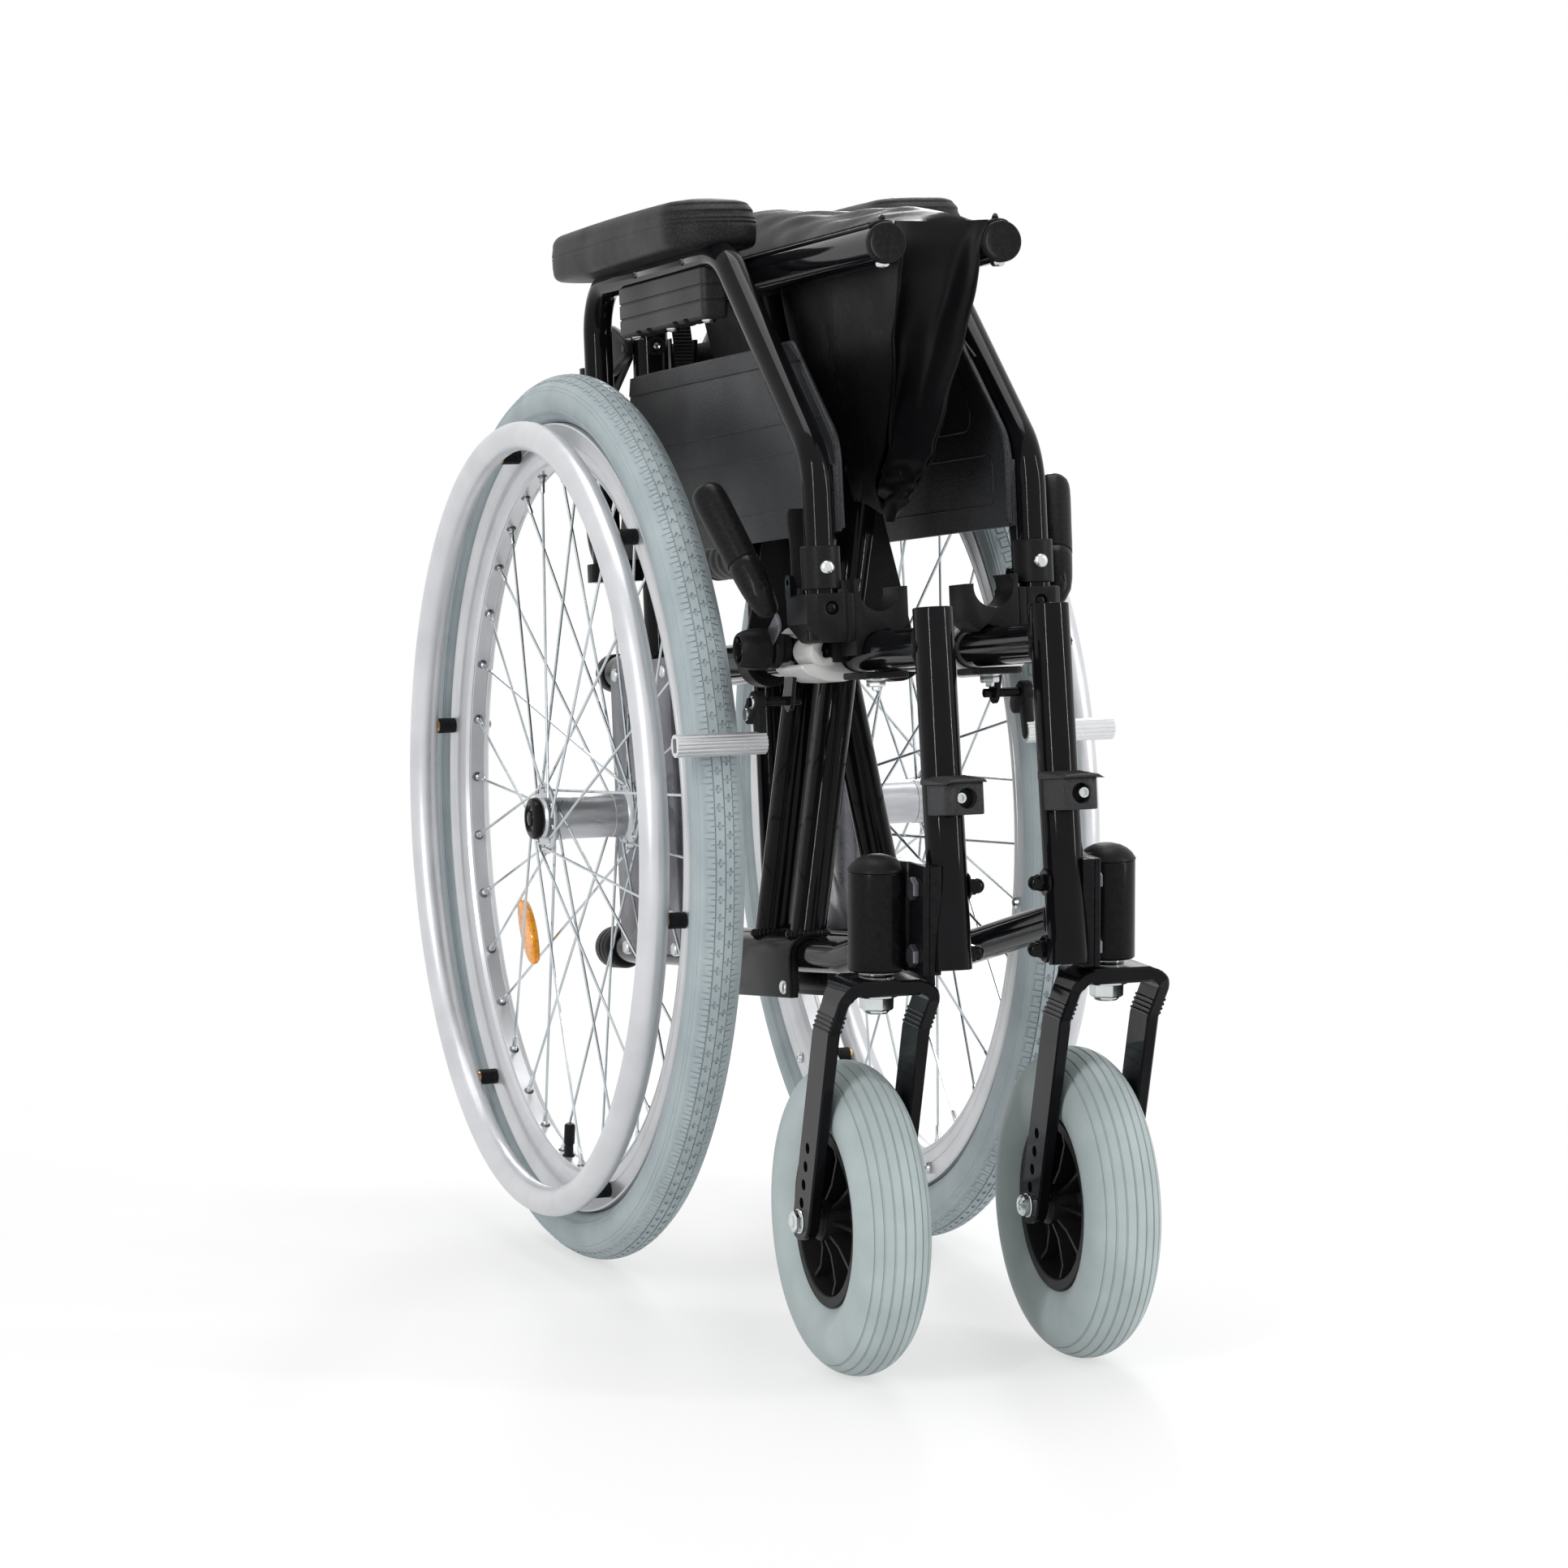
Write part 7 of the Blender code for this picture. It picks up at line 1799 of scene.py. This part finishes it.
def makeStitches():
    bead = bareObject("bead", ball(bmesh.new(), 0.0006, Matrix.Diagonal((0.8, 0.8, 2.0, 1.0)), 6, 4))
    for side, name in halves.items():
        made = []
        for number, angle in enumerate((radians(70), radians(88))):
            x, z = tube["x"] + 0.0145 * cos(angle), brace["railZ"] + 0.0145 * sin(angle)
            path = [leanPlace @ Vector((side * x, -0.462 + 0.380 * step / 41, z)) for step in range(42)]
            made.append(repeatAlong(name + "Stitch" + str(number), path, bead, 0.0034, 0.15, "grip",
                                    5 + number))
        hang(unite(name + "Stitches", made), name + "_brace_unit", "grip", 60)
    drop(bead)


def makeTufts():
    # The gathered ends of the cloth, tied on top of the rails' front ends.
    x, z = tube["x"], brace["railZ"]
    for side, name in halves.items():
        tuft = bmesh.new()
        for number in range(3):
            share = number / 2 - 0.5
            start = Vector((x - 0.001 + 0.006 * share, -0.4715 + 0.003 * (number % 2),
                            0.6725 - 0.010 * share * share))
            tip = start + Vector((0.0030 * share + 0.0010 * (number - 1), -0.0018 - 0.0012 * (number % 2),
                                  0.0022 + 0.0015 * (number * 5 % 3)))
            half = start.lerp(tip, 0.5) + Vector((0.0006, 0, 0.0008))
            sweepTube(tuft, [start - Vector((0, 0, 0.0015)), half, tip], [0.0024, 0.0023, 0.0014], 10)
        angles = [radians(48 + 84 * step / 16) for step in range(17)]
        path = [(x + 0.0139 * cos(angle), -0.4722 + 0.0008 * sin(9 * angle), z + 0.0139 * sin(angle))
                for angle in angles]
        sweepTube(tuft, path, [0.0010 + 0.0006 * sin(pi * step / 16) for step in range(17)], 10)
        piece(words[side] + "ClothTuft", tuft, side, name + "_brace_unit", "grip", smooth=60,
              slot="seat_fabric")


def makeBackCloth():
    gather, ends, grid = cloth["gather"], back["x"] - back["radius"] - 0.0018, []
    line = [(-0.0205 + 0.041 * (step / 80), 0.012 + gather * sin(tau * (step / 80)) ** 2)
            for step in range(81)]
    line = [(-ends, -0.004), (-ends + 0.001, 0.006)] + line + [(ends - 0.001, 0.006), (ends, -0.004)]
    for i in range(41):
        level, row = i / 40, []
        z = cloth["gatherZ"] + cloth["gatherHigh"] * level
        for x, y in line:
            depth = max(0.0, (y - 0.012) / gather)
            sway = 0.0010 * wrinkle(x * 150, y * 16, z * 14) * min(1, depth * 6)
            row.append(Vector((x + sway, y - 0.006 * depth * level, z - 0.006 * depth * (1 - level))))
        grid.append(row)
    item, area = weaveSheet("backUpholstery", grid)
    hang(item, None, "nylon", 80, nodes=("back_cloth",))
    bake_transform(item)


def makeStrap(side):
    # The webbing that holds the back cloth to its cane, with its ribs.
    stops = [(0.562, -0.0065), (0.585, -0.0100), (0.610, -0.0110), (0.632, -0.0100), (0.646, -0.0060)]
    strap = loft(bmesh.new(), [[(x, y + out, z) for x, out in (
        (0.0105, -0.0007), (0.0245, -0.0007), (0.0245, 0.0007), (0.0105, 0.0007))] for z, y in stops])
    for number in range(34):
        z = 0.563 + 0.0025 * number
        y = between(z, stops[::-1])
        block(strap, (0.0108, y - 0.0013, z - 0.0008), (0.0242, y - 0.0005, z + 0.0008))
    part("BackStrap", strap, side, "frame", "grip", bevel=0.0002, steps=1, slot="seat_fabric")


makeSling()
makeFrontFold()
makeStitches()
makeTufts()
makeBackCloth()
for side in words:
    makeStrap(side)
print("cloth made")


# Floor, light and camera

shot = {"place": (-1.422, -3.936, 0.848), "turn": (radians(90 - 5.953), 0.0, radians(-20.276)),
        "lens": 142.14, "shift": (-0.0351, -0.0698), "clip": (0.1, 60)}
lamps = {"key": ((-2.6, -2.4, 1.9), 0.06, 54, 2.6), "fill": ((2.5, -1.9, 1.5), 0.06, 40, 2.4),
         "top": ((0.2, 0.4, 3.0), 1.6, 34, 1.6), "back": ((1.2, 3.0, 1.6), 0.3, 24, 1.8),
         "target": (0, 0, 0.35)}


def seenRays(tree):
    # The node that tells the kinds of rays, and one that is 1 for those of the camera or of a gloss.
    path, seen = addNode(tree, "ShaderNodeLightPath"), addNode(tree, "ShaderNodeMath", operation="MAXIMUM")
    wire(tree, (path, "Is Camera Ray", seen, 0), (path, "Is Glossy Ray", seen, 1))
    return path, seen


def makeFloor():
    tree, shader = surface("paleFloor", (0.86, 0.86, 0.86), {"Roughness": 0.6})
    seen = seenRays(tree)[1]
    mesh, size = bpy.data.meshes.new("floor"), 30.0
    mesh.from_pydata([(-size, -size, 0), (size, -size, 0), (size, size, 0), (-size, size, 0)], [],
                     [(0, 1, 2, 3)])
    floor = linked("floor", mesh)
    # Near the chair the floor takes light and shade; further off it only glows.
    share = addNode(tree, "ShaderNodeMath", operation="MULTIPLY")
    where, length = addNode(tree, "ShaderNodeTexCoord"), addNode(tree, "ShaderNodeVectorMath",
                                                                 operation="LENGTH")
    glow = addNode(tree, "ShaderNodeEmission", {"Color": (1, 1, 1, 1)})
    mix = addNode(tree, "ShaderNodeMixShader")
    wire(tree, (where, "Object", length, 0), (seen, "Value", share, 0), (share, "Value", mix, "Fac"),
         (shader, "BSDF", mix, 1), (glow, "Emission", mix, 2),
         (mix, "Shader", tree.nodes["Material Output"], "Surface"))
    tree.links.new(ramp(tree, length.outputs["Value"], 0.60, 1.0, 0.7, 2.2), share.inputs[1])
    floor.data.materials.append(bpy.data.materials["paleFloor"])


def makeWorld():
    world = bpy.data.worlds.new("studio")
    world.use_nodes = True
    bpy.context.scene.world = world
    tree = world.node_tree
    background = tree.nodes["Background"]
    background.inputs["Color"].default_value = (1, 1, 1, 1)
    path, seen = seenRays(tree)
    either = addNode(tree, "ShaderNodeMath", operation="MAXIMUM")
    strength = addNode(tree, "ShaderNodeMapRange", {"To Min": 0.55, "To Max": 1.0})
    wire(tree, (seen, "Value", either, 0), (path, "Is Transmission Ray", either, 1),
         (either, "Value", strength, "Value"), (strength, "Result", background, "Strength"))


def makeLamp(name, place, size, power, height):
    lamp = bpy.data.lights.new(name, "AREA")
    lamp.shape, lamp.size, lamp.size_y, lamp.energy = "RECTANGLE", size, height, power
    item = linked(name, lamp)
    item.location = place
    item.rotation_euler = (Vector(lamps["target"]) - Vector(place)).to_track_quat("-Z", "Y").to_euler()


def makeCamera():
    lens = bpy.data.cameras.new("camera")
    lens.lens, lens.sensor_width, lens.sensor_fit = shot["lens"], 36, "HORIZONTAL"
    lens.shift_x, lens.shift_y = shot["shift"]
    lens.clip_start, lens.clip_end = shot["clip"]
    item = linked("camera", lens)
    item.location, item.rotation_euler = shot["place"], shot["turn"]
    bpy.context.scene.camera = item


makeFloor()
makeWorld()
for name in ("key", "fill", "top", "back"):
    makeLamp(name, *lamps[name])
makeCamera()
bpy.context.scene.view_settings.view_transform = "Standard"
drop(*fasteners.values())
print("stage made")
